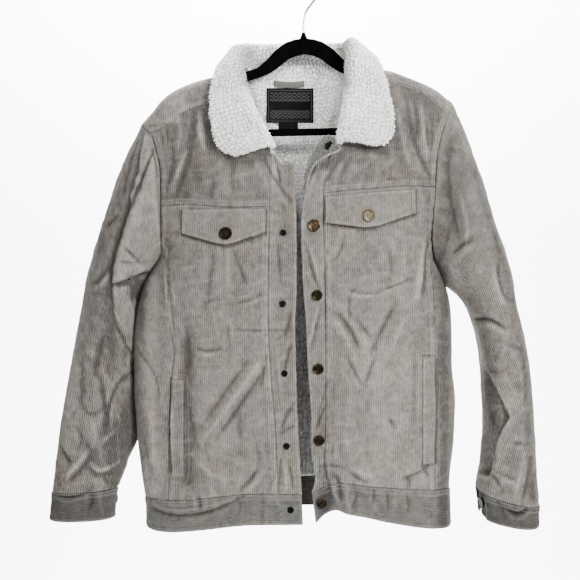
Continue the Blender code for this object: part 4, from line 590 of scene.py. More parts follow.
def hashed(i, j, seed):
    """Even numbers from 0 to 1 for whole i and j."""
    n = np.asarray(i, dtype=np.int64) * 374761393 + np.asarray(j, dtype=np.int64) * 668265263 + seed * 1442695041
    n = (n ^ (n >> 13)) * 1274126177
    n = n ^ (n >> 16)
    return (n & 0xFFFFFF) / float(0xFFFFFF)


def soft_noise(s, t, size, seed):
    """Smooth noise from -1 to 1 with bumps about that many millimetres wide."""
    x, y = s / size, t / size
    i, j = np.floor(x), np.floor(y)
    fx, fy = x - i, y - j
    fx, fy = fx * fx * (3 - 2 * fx), fy * fy * (3 - 2 * fy)
    a, b = hashed(i, j, seed), hashed(i + 1, j, seed)
    c, d = hashed(i, j + 1, seed), hashed(i + 1, j + 1, seed)
    return 2 * ((a * (1 - fx) + b * fx) * (1 - fy) + (c * (1 - fx) + d * fx) * fy) - 1


def nubs(s, t, size, seed):
    """Height from 0 to 1 of round pile nubs about that many millimetres across, and their tone."""
    x, y = s / size, t / size
    i, j = np.floor(x), np.floor(y)
    nearest = np.full(np.shape(x), 9.0)
    second = np.full(np.shape(x), 9.0)
    tone = np.zeros(np.shape(x))
    for di in (-1, 0, 1):
        for dj in (-1, 0, 1):
            cx = i + di + 0.15 + 0.7 * hashed(i + di, j + dj, seed)
            cy = j + dj + 0.15 + 0.7 * hashed(i + di, j + dj, seed + 1)
            away = np.hypot(x - cx, y - cy)
            closer = away < nearest
            second = np.where(closer, nearest, np.minimum(second, away))
            tone = np.where(closer, hashed(i + di, j + dj, seed + 2), tone)
            nearest = np.where(closer, away, nearest)
    return step_between(0.02, 0.42, second - nearest), tone


def creases_at(rows, x, z):
    """Height of a table of creases at places of the hanger's plane."""
    height = np.zeros(np.shape(x))
    t = np.linspace(0, 1, 15)
    for row in zip(*rows.values()):
        x0, z0, x1, z1, x2, z2, left, right, depth = row
        middle_x, middle_z = 2 * x1 - (x0 + x2) / 2, 2 * z1 - (z0 + z2) / 2
        line_x = (1 - t) ** 2 * x0 + 2 * t * (1 - t) * middle_x + t**2 * x2
        line_z = (1 - t) ** 2 * z0 + 2 * t * (1 - t) * middle_z + t**2 * z2
        best = np.full(np.shape(x), 1e9)
        along = np.zeros(np.shape(x))
        offset = np.zeros(np.shape(x))
        for k in range(len(t) - 1):
            dx, dz = line_x[k + 1] - line_x[k], line_z[k + 1] - line_z[k]
            length = math.hypot(dx, dz)
            part = np.clip(((x - line_x[k]) * dx + (z - line_z[k]) * dz) / length**2, 0, 1)
            px, pz = x - line_x[k] - part * dx, z - line_z[k] - part * dz
            away = np.hypot(px, pz)
            closer = away < best
            best = np.where(closer, away, best)
            along = np.where(closer, t[k] + part * (t[k + 1] - t[k]), along)
            offset = np.where(closer, (px * dz - pz * dx) / length, offset)
        width = np.where(offset > 0, right, left)
        ends = np.sin(math.pi * (0.06 + 0.88 * along)) ** 0.6
        height += depth * np.exp(-(np.sqrt(best**2 + 1.2) - 1.1) / (0.75 * width)) * ends
    return height


def from_line(x, z, x0, z0, x1, z1):
    """How far places are from a straight line between two places."""
    dx, dz = x1 - x0, z1 - z0
    part = np.clip(((x - x0) * dx + (z - z0) * dz) / (dx * dx + dz * dz), 0, 1)
    return np.hypot(x - x0 - part * dx, z - z0 - part * dz)


def folds_over(folds, x, z):
    """Height of folds with rounded edges at places of the hanger's plane."""
    height = np.zeros(np.shape(x))
    for rise, roll, outline in folds:
        away = np.full(np.shape(x), 1e9)
        inside = np.zeros(np.shape(x), dtype=bool)
        for (x0, z0), (x1, z1) in zip(outline, (*outline[1:], outline[0])):
            away = np.minimum(away, from_line(x, z, x0, z0, x1, z1))
            inside ^= ((z0 > z) != (z1 > z)) & (x < x0 + (z - z0) * (x1 - x0) / ((z1 - z0) or 1e-9))
        wavy = away + 1.2 * soft_noise(x, z, 12, 77)
        level = np.clip(wavy / roll, 0, 1)
        height = np.where(inside, height + rise * np.sqrt(1 - (1 - level) ** 2), height)
    return height


# ------------------------------------------------------------------------------ body's surface


def unit(vectors):
    """Vectors of length 1."""
    return vectors / np.maximum(np.linalg.norm(vectors, axis=-1, keepdims=True), 1e-9)


def grid_normals(points, outward):
    """Normals of a grid of points, turned to agree with a rough outward direction."""
    normal = unit(np.cross(np.gradient(points, axis=1), np.gradient(points, axis=0)))
    agree = np.sum(normal * outward, axis=-1, keepdims=True)
    return normal * np.where(np.sum(agree) < 0, -1.0, 1.0)


def armhole_span(side):
    """Lowest and highest level of an armhole."""
    return ARMHOLE[side]["z"][0], ARMHOLE[side]["z"][-1]


def reach(side, z):
    """How far out the body goes at a level."""
    below = z < SIDE[side]["z"][-1]
    return np.where(below, read(SIDE[side], "x", "z", z), read(ARMHOLE[side], "x", "z", z))


def loop_half_depth(side, face, z):
    """Depth of the armhole's loop at a level."""
    low, high = armhole_span(side)
    t = np.clip((z - low) / (high - low), 0.0, 1.0)
    return LOOP_DEPTH[face] * np.maximum(1 - np.abs(2 * t - 1) ** LOOP_ROUNDING, 0.0) ** (1 / LOOP_ROUNDING)


def full_depth(face, x, z):
    """Depth of the body away from its sides: round at the shoulder line, then full."""
    drop = np.maximum(read(RIDGE, "z", "x", x) - z, 0.0)
    cap = RIDGE_RADIUS * np.sqrt(1 - (1 - np.minimum(drop, RIDGE_RADIUS) / RIDGE_RADIUS) ** 2)
    growth = 1 - (1 - np.minimum(drop / RAMP[face], 1.0)) ** 1.8
    return cap + (read(DEPTH, face, "z", z) - RIDGE_RADIUS) * growth


def fullness(side, face, z):
    """Share of its round side that the body has at a level; the armhole cuts the rest."""
    low, high = armhole_span(side)
    edge = full_depth(face, reach(side, z), np.minimum(z, high))
    share = np.minimum(loop_half_depth(side, face, z) / np.maximum(edge, 1e-6), 0.97)
    share = np.where(z >= high, 0.97, share)
    return np.where(z <= low, 1.0, 1 - share**SIDE_ROUNDING)


def angle_of(side, face, x, z):
    """Turn round the body's side: 0 at its middle, a right angle at the side line."""
    part = np.abs(x / reach(side, z)) * fullness(side, face, z) ** (1 / SIDE_ROUNDING)
    return np.arcsin(np.minimum(part ** (SIDE_ROUNDING / 2), 1.0))


def body_by_angle(side, face, angle, z):
    """Base surface of the body at turns round its side."""
    full = fullness(side, face, z)
    x = reach(side, z) * np.abs(np.sin(angle)) ** (2 / SIDE_ROUNDING) / full ** (1 / SIDE_ROUNDING)
    depth = full_depth(face, x, z) * np.maximum(np.cos(angle), 0.0) ** (2 / SIDE_ROUNDING)
    return np.stack([x, np.where(face == "front", -depth, depth), z], axis=-1)


def body_at(face, x, z):
    """Base surface of the body at places of the hanger's plane."""
    points = np.zeros((*np.shape(x), 3))
    for side in SIDES:
        here = (x < 0) if side == "left" else (x >= 0)
        found = body_by_angle(side, face, angle_of(side, face, x, z), z)
        points[here] = found[here]
    return points


def side_fade(face, x, z):
    """Share of the creases that is left towards the side line."""
    fade = np.zeros(np.shape(x))
    for side in SIDES:
        here = (x < 0) if side == "left" else (x >= 0)
        angle = angle_of(side, face, x, z)
        fade[here] = np.clip((math.pi / 2 - angle[here]) / 0.35, 0, 1)
    return fade


def body_relief(face, x, z):
    """Creases and unevenness of a face of the body."""
    uneven = 0.9 * soft_noise(x, z * 0.4, 34, 3) + 0.45 * soft_noise(x * 1.2 + z * 0.3, z * 0.6, 15, 5)
    return (creases_at(BODY_CREASES[face], x, z) + uneven + crumple(x, z, 30)) * side_fade(face, x, z)


def creased(face, x, z):
    """Creases of a face of the body, as deep as the settings ask for."""
    return sizes().crease * body_relief(face, x, z)


def crumple(x, z, seed):
    """Small sharp wrinkles that run every way, in patches."""
    large = (1 - np.abs(soft_noise(x + 0.35 * z, z - 0.2 * x, 24, seed))) ** 4
    small = (1 - np.abs(soft_noise(x - 0.3 * z, 1.3 * z, 12, seed + 1))) ** 3
    where = 0.5 + 0.5 * soft_noise(x, z, 60, seed + 2)
    return 1.1 * large * where + 0.55 * small * (1 - 0.4 * where) - 0.4


def shade_along(rows, x, z):
    """Painted shade of cloth along soft lines from place to place, each with its width; below zero it is painted light.
    """
    shade, light = np.zeros(np.shape(x)), np.zeros(np.shape(x))
    for x0, z0, x1, z1, width, depth in zip(*rows.values()):
        soft = depth * np.exp(-((from_line(x, z, x0, z0, x1, z1) / width) ** 2))
        shade, light = np.maximum(shade, soft), np.minimum(light, soft)
    return shade + light


# ------------------------------------------------------------------------------------- sleeves


def power(value, exponent):
    """Power that keeps the sign."""
    return np.sign(value) * np.abs(value) ** exponent


def loop_level(side, turn):
    """Level on the armhole's loop at a turn from its top."""
    low, high = armhole_span(side)
    return (low + high) / 2 + (high - low) / 2 * power(np.cos(turn), 2 / LOOP_ROUNDING)


def loop_points(side, turn):
    """Points of the armhole at turns from -pi on the back to pi on the front."""
    low, high = armhole_span(side)
    z = np.clip(loop_level(side, np.abs(turn)), low, high)
    x = reach(side, z)
    x = np.where(z <= low, ARMHOLE[side]["x"][0], x)
    points = np.zeros((*np.shape(turn), 3))
    for face, sign in (("front", -1.0), ("back", 1.0)):
        here = (turn >= 0) if face == "front" else (turn < 0)
        depth = loop_half_depth(side, face, z)
        full = full_depth(face, x, z)
        deep = np.minimum(depth, 0.97 * full)
        points[here] = np.stack([x, sign * deep, z], axis=-1)[here]
    return points


def ring_points(rows, i, turn):
    """Points of one ring of a sleeve's or cuff's table."""
    outer = np.array([rows["outer_x"][i], 0.0, rows["outer_z"][i]])
    inner = np.array([rows["inner_x"][i], 0.0, rows["inner_z"][i]])
    across = power(np.cos(turn), 2 / LOOP_ROUNDING)[..., None]
    away = np.abs(np.sin(turn)) ** (2 / LOOP_ROUNDING)
    front = turn >= 0
    points = (outer + inner) / 2 + (outer - inner) / 2 * across
    depth = np.where(front, -rows["front"][i], rows["back"][i])
    points[..., 1] = rows["shift"][i] + depth * away
    points[..., 2] += np.where(front, -rows["drop"][i], rows["drop"][i]) * away
    return points


def sleeve_points(side, row, turn):
    """Base surface of a sleeve at rows of its table and turns, as a grid."""
    rows = SLEEVE[side]
    last = len(rows["front"]) - 1
    rings = np.array([loop_points(side, turn), *(ring_points(rows, i, turn) for i in range(1, last + 1))])
    i = np.clip(row.astype(int), 0, last - 1)
    t = (row - i)[:, None, None]
    before, a, b, after = (rings[np.clip(i + k, 0, last)] for k in (-1, 0, 1, 2))
    return 0.5 * (
        2 * a + (b - before) * t + (2 * before - 5 * a + 4 * b - after) * t**2 + (3 * a - before - 3 * b + after) * t**3
    )


# ------------------------------------------------------------------------------- cloth meshes

MATERIALS = {}
FRONT, BACK = np.array([0.0, -1.0, 0.0]), np.array([0.0, 1.0, 0.0])
OUTWARD = {"front": FRONT, "back": BACK}
ALL_SIDES = (True, True, True, True)
SLEEVE_GRAIN = math.radians(14)
# Painted highlight, with some real wear, along folded edges, and how wide it is.
EDGE_WEAR_AND_HIGHLIGHT, EDGE_HIGHLIGHT_WIDTH = 0.14, 1.5
# Painted shade in creases and painted light on ridges, painted light on raised cloth, painted shade on turned-in sides,
# and rounds of softening.
FOLD_SHADE_AND_LIGHT, LEVEL_LIGHT, TUCK_SHADE, SOFTENINGS = 0.42, 0.02, 0.32, 10
# Places beside a seam that get points of their own, in millimetres from it.
SEAM_STATIONS = (0.0, 0.8, 1.6, 2.4, 3.4, 5.0, 6.6, 7.4, 8.2, 9.2, 10.6)
# Ways to turn an edge in: each step is how far out and how far down it lies, in millimetres.
CLOTH_EDGE = ((0.0, 0.7), (-0.3, 1.6), (-4.0, 2.4))
CLOSE_EDGE = ((0.12, 0.4), (0.0, 1.2), (-4.0, 2.0))
LAID_EDGE = ((0.35, 0.6), (0.2, 1.5), (-3.0, 2.0))
PILE_EDGE = (
    (1.2, 0.2), (2.4, 0.8), (3.4, 1.8), (3.9, 3.1), (4.0, 4.4), (3.6, 5.7), (2.7, 6.9), (1.2, 7.8), (-2.0, 8.4),
    (-9.0, 8.6),
)  # fmt: skip
CORNER_EDGE = ((0.9, 0.5), (1.5, 1.8), (1.5, 3.4), (0.6, 5.0), (-4.0, 5.6))
UNDER_COLLAR_EDGE = ((0.0, -0.6), (-0.2, -1.4))
LABEL_EDGE = ((0.2, 0.4), (0.0, 0.9))
LOOP_EDGE = ((0.4, 0.4), (0.4, 1.2), (-2.0, 1.6))
BACK_LINING_EDGE, FRONT_LINING_EDGE = ((-3.0, 2.0),), ((0.0, 2.0),)
# Depth of the groove at a seam, height of the allowance beside it, and places of its stitch lines.
SEAM_STYLES = {
    "under": (1.0, 0.0, ()),
    "single": (1.0, 0.5, (1.6,)),
    "double": (1.0, 0.8, (1.6, 7.4)),
    "edge": (0.5, 0.4, (2.4,)),
    "plain": (0.3, 0.0, ()),
}
GROOVE_WIDTH, PRESS_DEPTH, PRESS_WIDTH = 1.2, 0.5, 0.75
PUCKER_HEIGHT, PUCKER_SIZE, PUCKER_REACH = 0.55, 5.5, 8.5
STITCH = {"length": 2.5, "gap": 0.9, "half": 0.28, "rise": 0.32, "sunk": 0.1, "side": 0.05, "shortest_line": 12}
STITCH_FACES = np.array([(0, 1, 2), (0, 2, 3), (1, 4, 5), (1, 5, 2), (2, 5, 6), (2, 6, 3), (4, 7, 5), (5, 7, 6)])


def arcs(points, axis):
    """Length run along an axis of a grid, from 0."""
    steps = np.linalg.norm(np.diff(points, axis=axis), axis=-1)
    zero = np.zeros_like(np.take(steps, [0], axis=axis))
    return np.cumsum(np.concatenate([zero, steps], axis=axis), axis=axis)


def stations(length, spacing, ends=(True, True)):
    """Places from 0 to 1 along a length in millimetres, closer together beside seams."""
    margin = SEAM_STATIONS[-1] + spacing * 0.7
    start, stop = (margin if ends[0] else 0.0), length - (margin if ends[1] else 0.0)
    places = list(np.linspace(start, stop, max(int(round((stop - start) / spacing)), 1) + 1))
    if ends[0]:
        places += SEAM_STATIONS
    if ends[1]:
        places += [length - place for place in SEAM_STATIONS]
    return np.array(sorted(set(places))) / length


def seam_relief(distance, along, style, seed):
    """Groove, raised allowance, pressed-in stitch lines and puckers beside a seam."""
    groove, raised, lines = SEAM_STYLES[style]
    relief = -groove * np.exp(-((distance / GROOVE_WIDTH) ** 2))
    if raised:
        width = lines[-1] + 1.6
        relief += raised * step_between(0.2, 1.6, distance) * (1 - step_between(width, width + 2.2, distance))
    for line in lines:
        relief -= PRESS_DEPTH * np.exp(-(((distance - line) / PRESS_WIDTH) ** 2))
    pucker = soft_noise(along, distance * 0.15, PUCKER_SIZE, seed) * np.exp(-((distance / PUCKER_REACH) ** 2))
    return relief + PUCKER_HEIGHT * pucker * (1.0 if lines else 0.4)


def grid_mesh(name, layers, material, slot_name=None):
    """One piece from grids: each layer is (points, uv, tone)."""
    faces, base = [], 0
    for points, *_ in layers:
        rows, columns = points.shape[:2]
        index = np.arange(rows * columns).reshape(rows, columns) + base
        corners = (index[:-1, :-1], index[:-1, 1:], index[1:, 1:], index[1:, :-1])
        faces.append(np.stack(corners, axis=-1).reshape(-1, 4))
        base += rows * columns
    verts, uvs, tones = (
        np.concatenate([layer[k].reshape(-1, size) for layer in layers]) for k, size in enumerate((3, 2, 1))
    )
    return mesh_object(name, verts, np.concatenate(faces), uvs, tones[:, 0], material, slot_name)


def mesh_object(name, verts, faces, uvs, tones, material, slot_name=None):
    """A piece with one material that rides on the body; without a slot it is for the stage."""
    name = f"{name}_surface" if name in NODES else name
    mesh = bpy.data.meshes.new(name)
    count, width = faces.shape
    mesh.vertices.add(len(verts))
    mesh.vertices.foreach_set("co", (verts * MM).ravel())
    mesh.loops.add(faces.size)
    mesh.loops.foreach_set("vertex_index", faces.ravel().astype(np.int32))
    mesh.polygons.add(count)
    mesh.polygons.foreach_set("loop_start", np.arange(0, faces.size, width, dtype=np.int32))
    mesh.polygons.foreach_set("loop_total", np.full(count, width, dtype=np.int32))
    mesh.materials.append(MATERIALS[material])
    layer = mesh.uv_layers.new(name="Cloth")
    layer.data.foreach_set("uv", uvs[faces.ravel()].astype(np.float32).ravel())
    tone = mesh.attributes.new("tone", "FLOAT", "POINT")
    tone.data.foreach_set("value", tones.astype(np.float32))
    mesh.update(calc_edges=True)
    mesh.validate()
    mesh.shade_smooth()
    piece = bpy.data.objects.new(name, mesh)
    bpy.context.scene.collection.objects.link(piece)
    if slot_name:
        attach(piece, "root")
    return piece


def declare(piece, node):
    """Hide the solid that a piece stands for."""
    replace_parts(piece, node)


def margins(turn_in, sides):
    """Rows and columns that turned-in sides add: first row, last row, first column, last column."""
    added = [len(turn_in) * bool(side) for side in sides]
    return tuple(added[:2]), tuple(added[2:])


def tucked(points, normals, uv, tone, turn_in, sides=ALL_SIDES, leading=None, drop=0.1):
    """The grid with its sides turned in; the grid in leading, or its own, says which way is out. The turned-in rows
    lose drop from their tone as painted shade.
    """
    leading = points if leading is None else leading
    pads = margins(turn_in, sides)
    take = np.ix_(*(np.pad(np.arange(size), pad, mode="edge") for size, pad in zip(points.shape, pads)))
    over_row, over_column = (
        np.concatenate([-np.arange(before, 0, -1), np.zeros(size), np.arange(1, after + 1)])
        for size, (before, after) in zip(points.shape, pads)
    )
    by_row, by_column = (unit(np.gradient(leading, axis=axis))[take] for axis in (0, 1))
    level = np.maximum(np.abs(over_row)[:, None], np.abs(over_column)[None, :]).astype(int)
    out, down = (np.array([0.0, *(step[k] for step in turn_in)])[level][..., None] for k in (0, 1))
    share_row = (over_row[:, None] / np.maximum(level, 1))[..., None]
    share_column = (over_column[None, :] / np.maximum(level, 1))[..., None]
    direction = by_row * share_row + by_column * share_column
    direction = direction / np.maximum(np.linalg.norm(direction, axis=-1, keepdims=True), 1.0)
    moved = points[take] + direction * out - normals[take] * down
    slid = uv[take] + np.concatenate([share_column * out, share_row * out], axis=-1) * MM
    return moved, slid, tone[take] - drop * (level > 0)


class Cloth:
    """A cloth piece on a grid: base points, relief, painted shade, seams and the lines of its stitches."""

    def __init__(self, name, points, outward, wale="down", seed=1):
        self.name, self.base, self.seed = name, points, seed
        self.normals = grid_normals(points, outward)
        self.relief, self.shade = np.zeros(points.shape[:2]), np.zeros(points.shape[:2])
        row_arc, column_arc = arcs(points, 0), arcs(points, 1)
        self.distances = (row_arc, row_arc[-1:] - row_arc, column_arc, column_arc[:, -1:] - column_arc)
        self.alongs = (column_arc, column_arc, row_arc, row_arc)
        if wale == "down":
            steps = np.linalg.norm(np.diff(points[..., :2], axis=1), axis=-1)
            across = np.concatenate([np.zeros((len(points), 1)), np.cumsum(steps, axis=1)], axis=1)
            sign = 1.0 if points[0, -1, 0] >= points[0, 0, 0] else -1.0
            self.uv = np.stack([points[:, :1, 0] + sign * across, points[..., 2]], axis=-1) * MM
        else:
            pair = (column_arc, row_arc) if wale == "rows" else (row_arc, column_arc)
            self.uv = np.stack(pair, axis=-1) * MM

    def seams(self, *styles):
        """Styles of the first row, last row, first column and last column; None leaves one plain and open."""
        self.styles = styles
        for k, style in enumerate(styles):
            if style:
                self.relief += seam_relief(self.distances[k], self.alongs[k], style, self.seed + k)

    def finished(self, turn_in=CLOTH_EDGE, sides=ALL_SIDES, lift=0.0):
        """The grid of the piece with its relief, its seams and its turned-in sides."""
        self.points = self.base + self.normals * (self.relief + lift)[..., None]
        normals = grid_normals(self.points, self.normals)
        soft = self.relief
        for _ in range(SOFTENINGS):
            wide = np.pad(soft, 1, mode="edge")
            soft = (wide[:-2, 1:-1] + wide[2:, 1:-1] + wide[1:-1, :-2] + wide[1:-1, 2:]) / 4
        # The tone is painted shade and light: darker in creases, under overlaps and on turned-in sides, lighter on
        # ridges, raised cloth and folded edges.
        tone = 0.5 + (self.relief - soft) * FOLD_SHADE_AND_LIGHT + soft * LEVEL_LIGHT - self.shade
        self.lines = []
        for k, (distance, style) in enumerate(zip(self.distances, self.styles)):
            if style in ("edge", "double"):
                tone += EDGE_WEAR_AND_HIGHLIGHT * np.exp(-((distance / EDGE_HIGHLIGHT_WIDTH) ** 2))
            for line in SEAM_STYLES[style][2] if style else ():
                self.lines.append(line_beside(self.points, normals, distance, k, line))
        return tucked(
            self.points, self.normals, self.uv, np.clip(tone, 0, 1), turn_in, sides, self.base, TUCK_SHADE
        )

    def add(self, material, slot_name, held="hung", rests=(), turn_in=CLOTH_EDGE, lift=0.0):
        """Make the mesh and stand it for its solid; returns the stitch lines."""
        piece = grid_mesh(self.name, [self.finished(turn_in, lift=lift)], material, slot_name)
        declare(piece, self.name)
        return self.lines


def line_beside(points, normals, distance, border, line):
    """Points and normals of a stitch line at a distance from a border of a grid."""
    if border in (0, 1):
        distance, points, normals = distance.T, points.transpose(1, 0, 2), normals.transpose(1, 0, 2)
    if distance[0, 0] >= distance[0, -1]:
        distance, points, normals = distance[:, ::-1], points[:, ::-1], normals[:, ::-1]
    rows = np.arange(len(distance))
    k = np.clip(np.sum(distance < line, axis=1), 1, distance.shape[1] - 1)
    low, high = distance[rows, k - 1], distance[rows, k]
    t = np.clip(((line - low) / np.maximum(high - low, 1e-6))[:, None], 0, 1)
    found, normal = (grid[rows, k - 1] * (1 - t) + grid[rows, k] * t for grid in (points, normals))
    return found, unit(normal)


def stitches_object(name, lines, seed):
    """Raised stitches along lines of (points, normals)."""
    blocks, pitch = [], STITCH["length"] + STITCH["gap"]
    for line, (points, normals) in enumerate(lines):
        run = np.concatenate([[0], np.cumsum(np.linalg.norm(np.diff(points, axis=0), axis=-1))])
        if run[-1] < STITCH["shortest_line"]:
            continue
        starts = np.arange(1.5, run[-1] - pitch - 1.0, pitch)
        shift = 0.25 * (hashed(np.arange(len(starts)), np.full(len(starts), line), seed) - 0.5)
        begin, end = starts + shift, starts + STITCH["length"] + shift
        a, b, normal = (
            np.stack([np.interp(place, run, values[:, k]) for k in range(3)], axis=-1)
            for values, place in ((points, begin), (points, end), (normals, (begin + end) / 2))
        )
        normal = unit(normal)
        across = unit(np.cross(b - a, normal)) * STITCH["half"]
        ring = [a - normal * STITCH["sunk"]]
        for place in (a * 0.72 + b * 0.28, a * 0.28 + b * 0.72):
            ring += [
                place + across + normal * STITCH["side"],
                place + normal * STITCH["rise"],
                place - across + normal * STITCH["side"],
            ]
        blocks.append(np.stack([*ring, b - normal * STITCH["sunk"]], axis=1))
    verts = np.concatenate(blocks).reshape(-1, 3)
    faces = (np.arange(len(verts) // 8)[:, None, None] * 8 + STITCH_FACES).reshape(-1, 3)
    mesh_object(name, verts, faces, verts[:, ::2] * MM, np.full(len(verts), 0.5), "thread", "corduroy")


def spread(bottom, top, inner, outer, rows, columns):
    """Places (x, z) between four seams: bottom and top give z by x, inner and outer give x by z."""
    v, u = rows[:, None], columns[None, :]
    x0 = (inner(np.array(-400.0)) + outer(np.array(-400.0))) / 2
    z = bottom(x0) + (top(x0) - bottom(x0)) * v + 0 * u
    for _ in range(SETTLING):
        x = inner(z) + (outer(z) - inner(z)) * u
        z = bottom(x) + (top(x) - bottom(x)) * v
    return x, z


def z_by_x(rows):
    """Level along a seam by x."""
    return lambda at: read(rows, "z", "x", at)


def x_by_z(rows):
    """X along a seam by level."""
    return lambda at: read(rows, "x", "z", at)


def edge_then_armhole(side, rows, inside=0.0):
    """X of a panel's outer edge: its seam, then the armhole, or so far inside of them."""
    join = rows["z"][-1]
    seam, armhole = x_by_z(rows), x_by_z(ARMHOLE[side])
    return lambda z: np.where(z < join, seam(z), armhole(z)) - SIGN[side] * inside


# ----------------------------------------------------------------------------------- materials

FLOAT, VECTOR = "NodeSocketFloat", "NodeSocketVector"
SHADER_INPUTS = {
    "colour": "Base Color",
    "rough": "Roughness",
    "metallic": "Metallic",
    "specular": "Specular IOR Level",
    "sheen": "Sheen Weight",
    "sheen_rough": "Sheen Roughness",
    "sheen_tint": "Sheen Tint",
    "normal": "Normal",
}
# Colour of the tarnish, colour where it is worn off, and roughness.
METALS = {
    "bronze": ((0.006, 0.0047, 0.003), (0.032, 0.0235, 0.014), 0.25),
    "dark bronze": ((0.004, 0.0034, 0.0022), (0.016, 0.0128, 0.008), 0.3),
    # The first cap's bronze is a lighter copy of the bronze, as a painted highlight.
    "bronze with painted highlight": ((0.014, 0.0105, 0.0065), (0.075, 0.05, 0.03), 0.25),
    "brass": ((0.03, 0.026, 0.016), (0.13, 0.112, 0.07), 0.4),
    "black metal": ((0.0025, 0.0025, 0.0025), (0.012, 0.011, 0.01), 0.4),
}
COOL_TINT, WARM_TINT, NAP_TINT = (0.98, 1.0, 1.03), (1.03, 0.99, 0.93), (0.9, 0.87, 0.82, 1.0)
BAND_TINT = (0.6, 0.63, 0.665)
# Corduroys: the dye, shares of its rib's and its well's colour, and how worn the cloth is.
CORDUROYS = {
    "corduroy": ("rib", 1.0, 1.0, 0.35),
    "sleeve corduroy": ("rib", 1.07, 0.55, 0.35),
    # The cuffs' corduroy is the band's corduroy darkened as painted shade; the band's inner face uses it too.
    "shaded cuff corduroy": ("band", 0.59, 0.4, 0.5),
    "corduroy band": ("band", 0.98, 0.84, 0.5),
}
# Share of the pile's colour in its gaps, as painted shade, and the turned corner's pile colours, darkened as painted
# shade, with its clump and depth.
PILE_GAPS = {"pile": 0.72, "lining pile": 0.66}
SHADED_CORNER_PILE = ((0.08, 0.078, 0.072), (0.036, 0.035, 0.032), 0.0028, 0.001)
LABEL_HALF = (0.0385, 0.027)


class Wiring:
    """Short calls that add nodes to a tree and join them."""

    def __init__(self, tree):
        self.tree = tree

    def put(self, value, socket):
        """Join a socket to an input, or set a constant on it."""
        if isinstance(value, bpy.types.NodeSocket):
            self.tree.links.new(value, socket)
        else:
            socket.default_value = value

    def node(self, kind, values, out=None, **settings):
        """Outputs of a new node, or one of them, after its settings and what goes into its inputs."""
        node = self.tree.nodes.new(f"ShaderNode{kind}")
        for name, value in settings.items():
            setattr(node, name, value)
        for key, value in values.items():
            self.put(value, node.inputs[key])
        return node.outputs if out is None else node.outputs[out]

    def math(self, operation, *terms, clamp=False):
        return self.node("Math", dict(enumerate(terms)), 0, operation=operation, use_clamp=clamp)

    def times(self, a, b):
        return self.math("MULTIPLY", a, b)

    def minus(self, a, b):
        return self.math("SUBTRACT", a, b)

    def blend(self, a, share, b, clamp=False):
        """A times its share, plus b."""
        return self.math("MULTIPLY_ADD", a, share, b, clamp=clamp)

    def vector(self, operation, a, b):
        return self.node("VectorMath", {0: a, 1: b}, 0, operation=operation)

    def split(self, vector):
        """First two parts of a vector."""
        outputs = self.node("SeparateXYZ", {0: vector})
        return outputs[0], outputs[1]

    def combine(self, x, y, z=0.0):
        return self.node("CombineXYZ", {0: x, 1: y, 2: z}, 0)

    def noise(self, vector, scale, detail, roughness):
        values = {"Vector": vector, "Scale": scale, "Detail": detail, "Roughness": roughness}
        return self.node("TexNoise", values, "Fac")

    def stretched(self, u, v, across, along, detail=3.0, roughness=0.6, slice_at=0.0):
        """Noise with its own scale across and along the cloth."""
        return self.noise(self.combine(self.times(u, across), self.times(v, along), slice_at), 1.0, detail, roughness)

    def cells(self, vector, scale, feature):
        return self.node("TexVoronoi", {"Vector": vector, "Scale": scale}, "Distance", feature=feature)

    def mix(self, factor, a, b, blend="MIX"):
        values = {0: factor, 6: (*a, 1.0) if isinstance(a, tuple) else a, 7: (*b, 1.0) if isinstance(b, tuple) else b}
        return self.node("Mix", values, 2, data_type="RGBA", blend_type=blend)

    def shaded(self, colour, shade):
        """A colour times a grey."""
        return self.mix(1.0, colour, self.combine(shade, shade, shade), "MULTIPLY")

    def ramp(self, value, low, high, to_low=0.0, to_high=1.0):
        """A value from low to high, carried smoothly over to another span."""
        values = {"Value": value, "From Min": low, "From Max": high, "To Min": to_low, "To Max": to_high}
        return self.node("MapRange", values, 0, interpolation_type="SMOOTHSTEP")

    def wave(self, place, pitch):
        """Sine of a place from 0 to 1."""
        return self.blend(self.math("SINE", self.times(place, pitch)), 0.5, 0.5)

    def uv(self):
        return self.node("UVMap", {}, 0, uv_map="Cloth")

    def places(self):
        return self.node("TexCoord", {}, "Object")

    def tone(self):
        """Painted shade and light from the mesh's tone: folds, overlaps, edges and the gaps of the pile."""
        return self.minus(self.node("Attribute", {}, "Fac", attribute_name="tone"), 0.5)

    def bump(self, height, distance, strength):
        return self.node("Bump", {"Strength": strength, "Distance": distance, "Height": height}, 0)

    def placed(self, group, **values):
        """Outputs of a node group."""
        return self.node("Group", values, node_tree=bpy.data.node_groups[group])

    def shader(self, **values):
        """Set or join inputs of the material's shader."""
        inputs = self.tree.nodes["Principled BSDF"].inputs
        for key, value in values.items():
            self.put(value, inputs[SHADER_INPUTS[key]])


def new_group(name, inputs, make):
    """A node group with inputs of (kind, value), whose outputs are what make gives by name."""
    tree = bpy.data.node_groups.new(name, "ShaderNodeTree")
    for label, (kind, value) in inputs.items():
        socket = tree.interface.new_socket(label, in_out="INPUT", socket_type=kind)
        if value is not None:
            socket.default_value = value
    given = tree.nodes.new("NodeGroupInput").outputs
    w = Wiring(tree)
    made = make(w, **{label.lower(): given[label] for label in inputs})
    for label in made:
        tree.interface.new_socket(label, in_out="OUTPUT", socket_type=FLOAT)
    result = tree.nodes.new("NodeGroupOutput")
    for label, value in made.items():
        w.put(value, result.inputs[label])


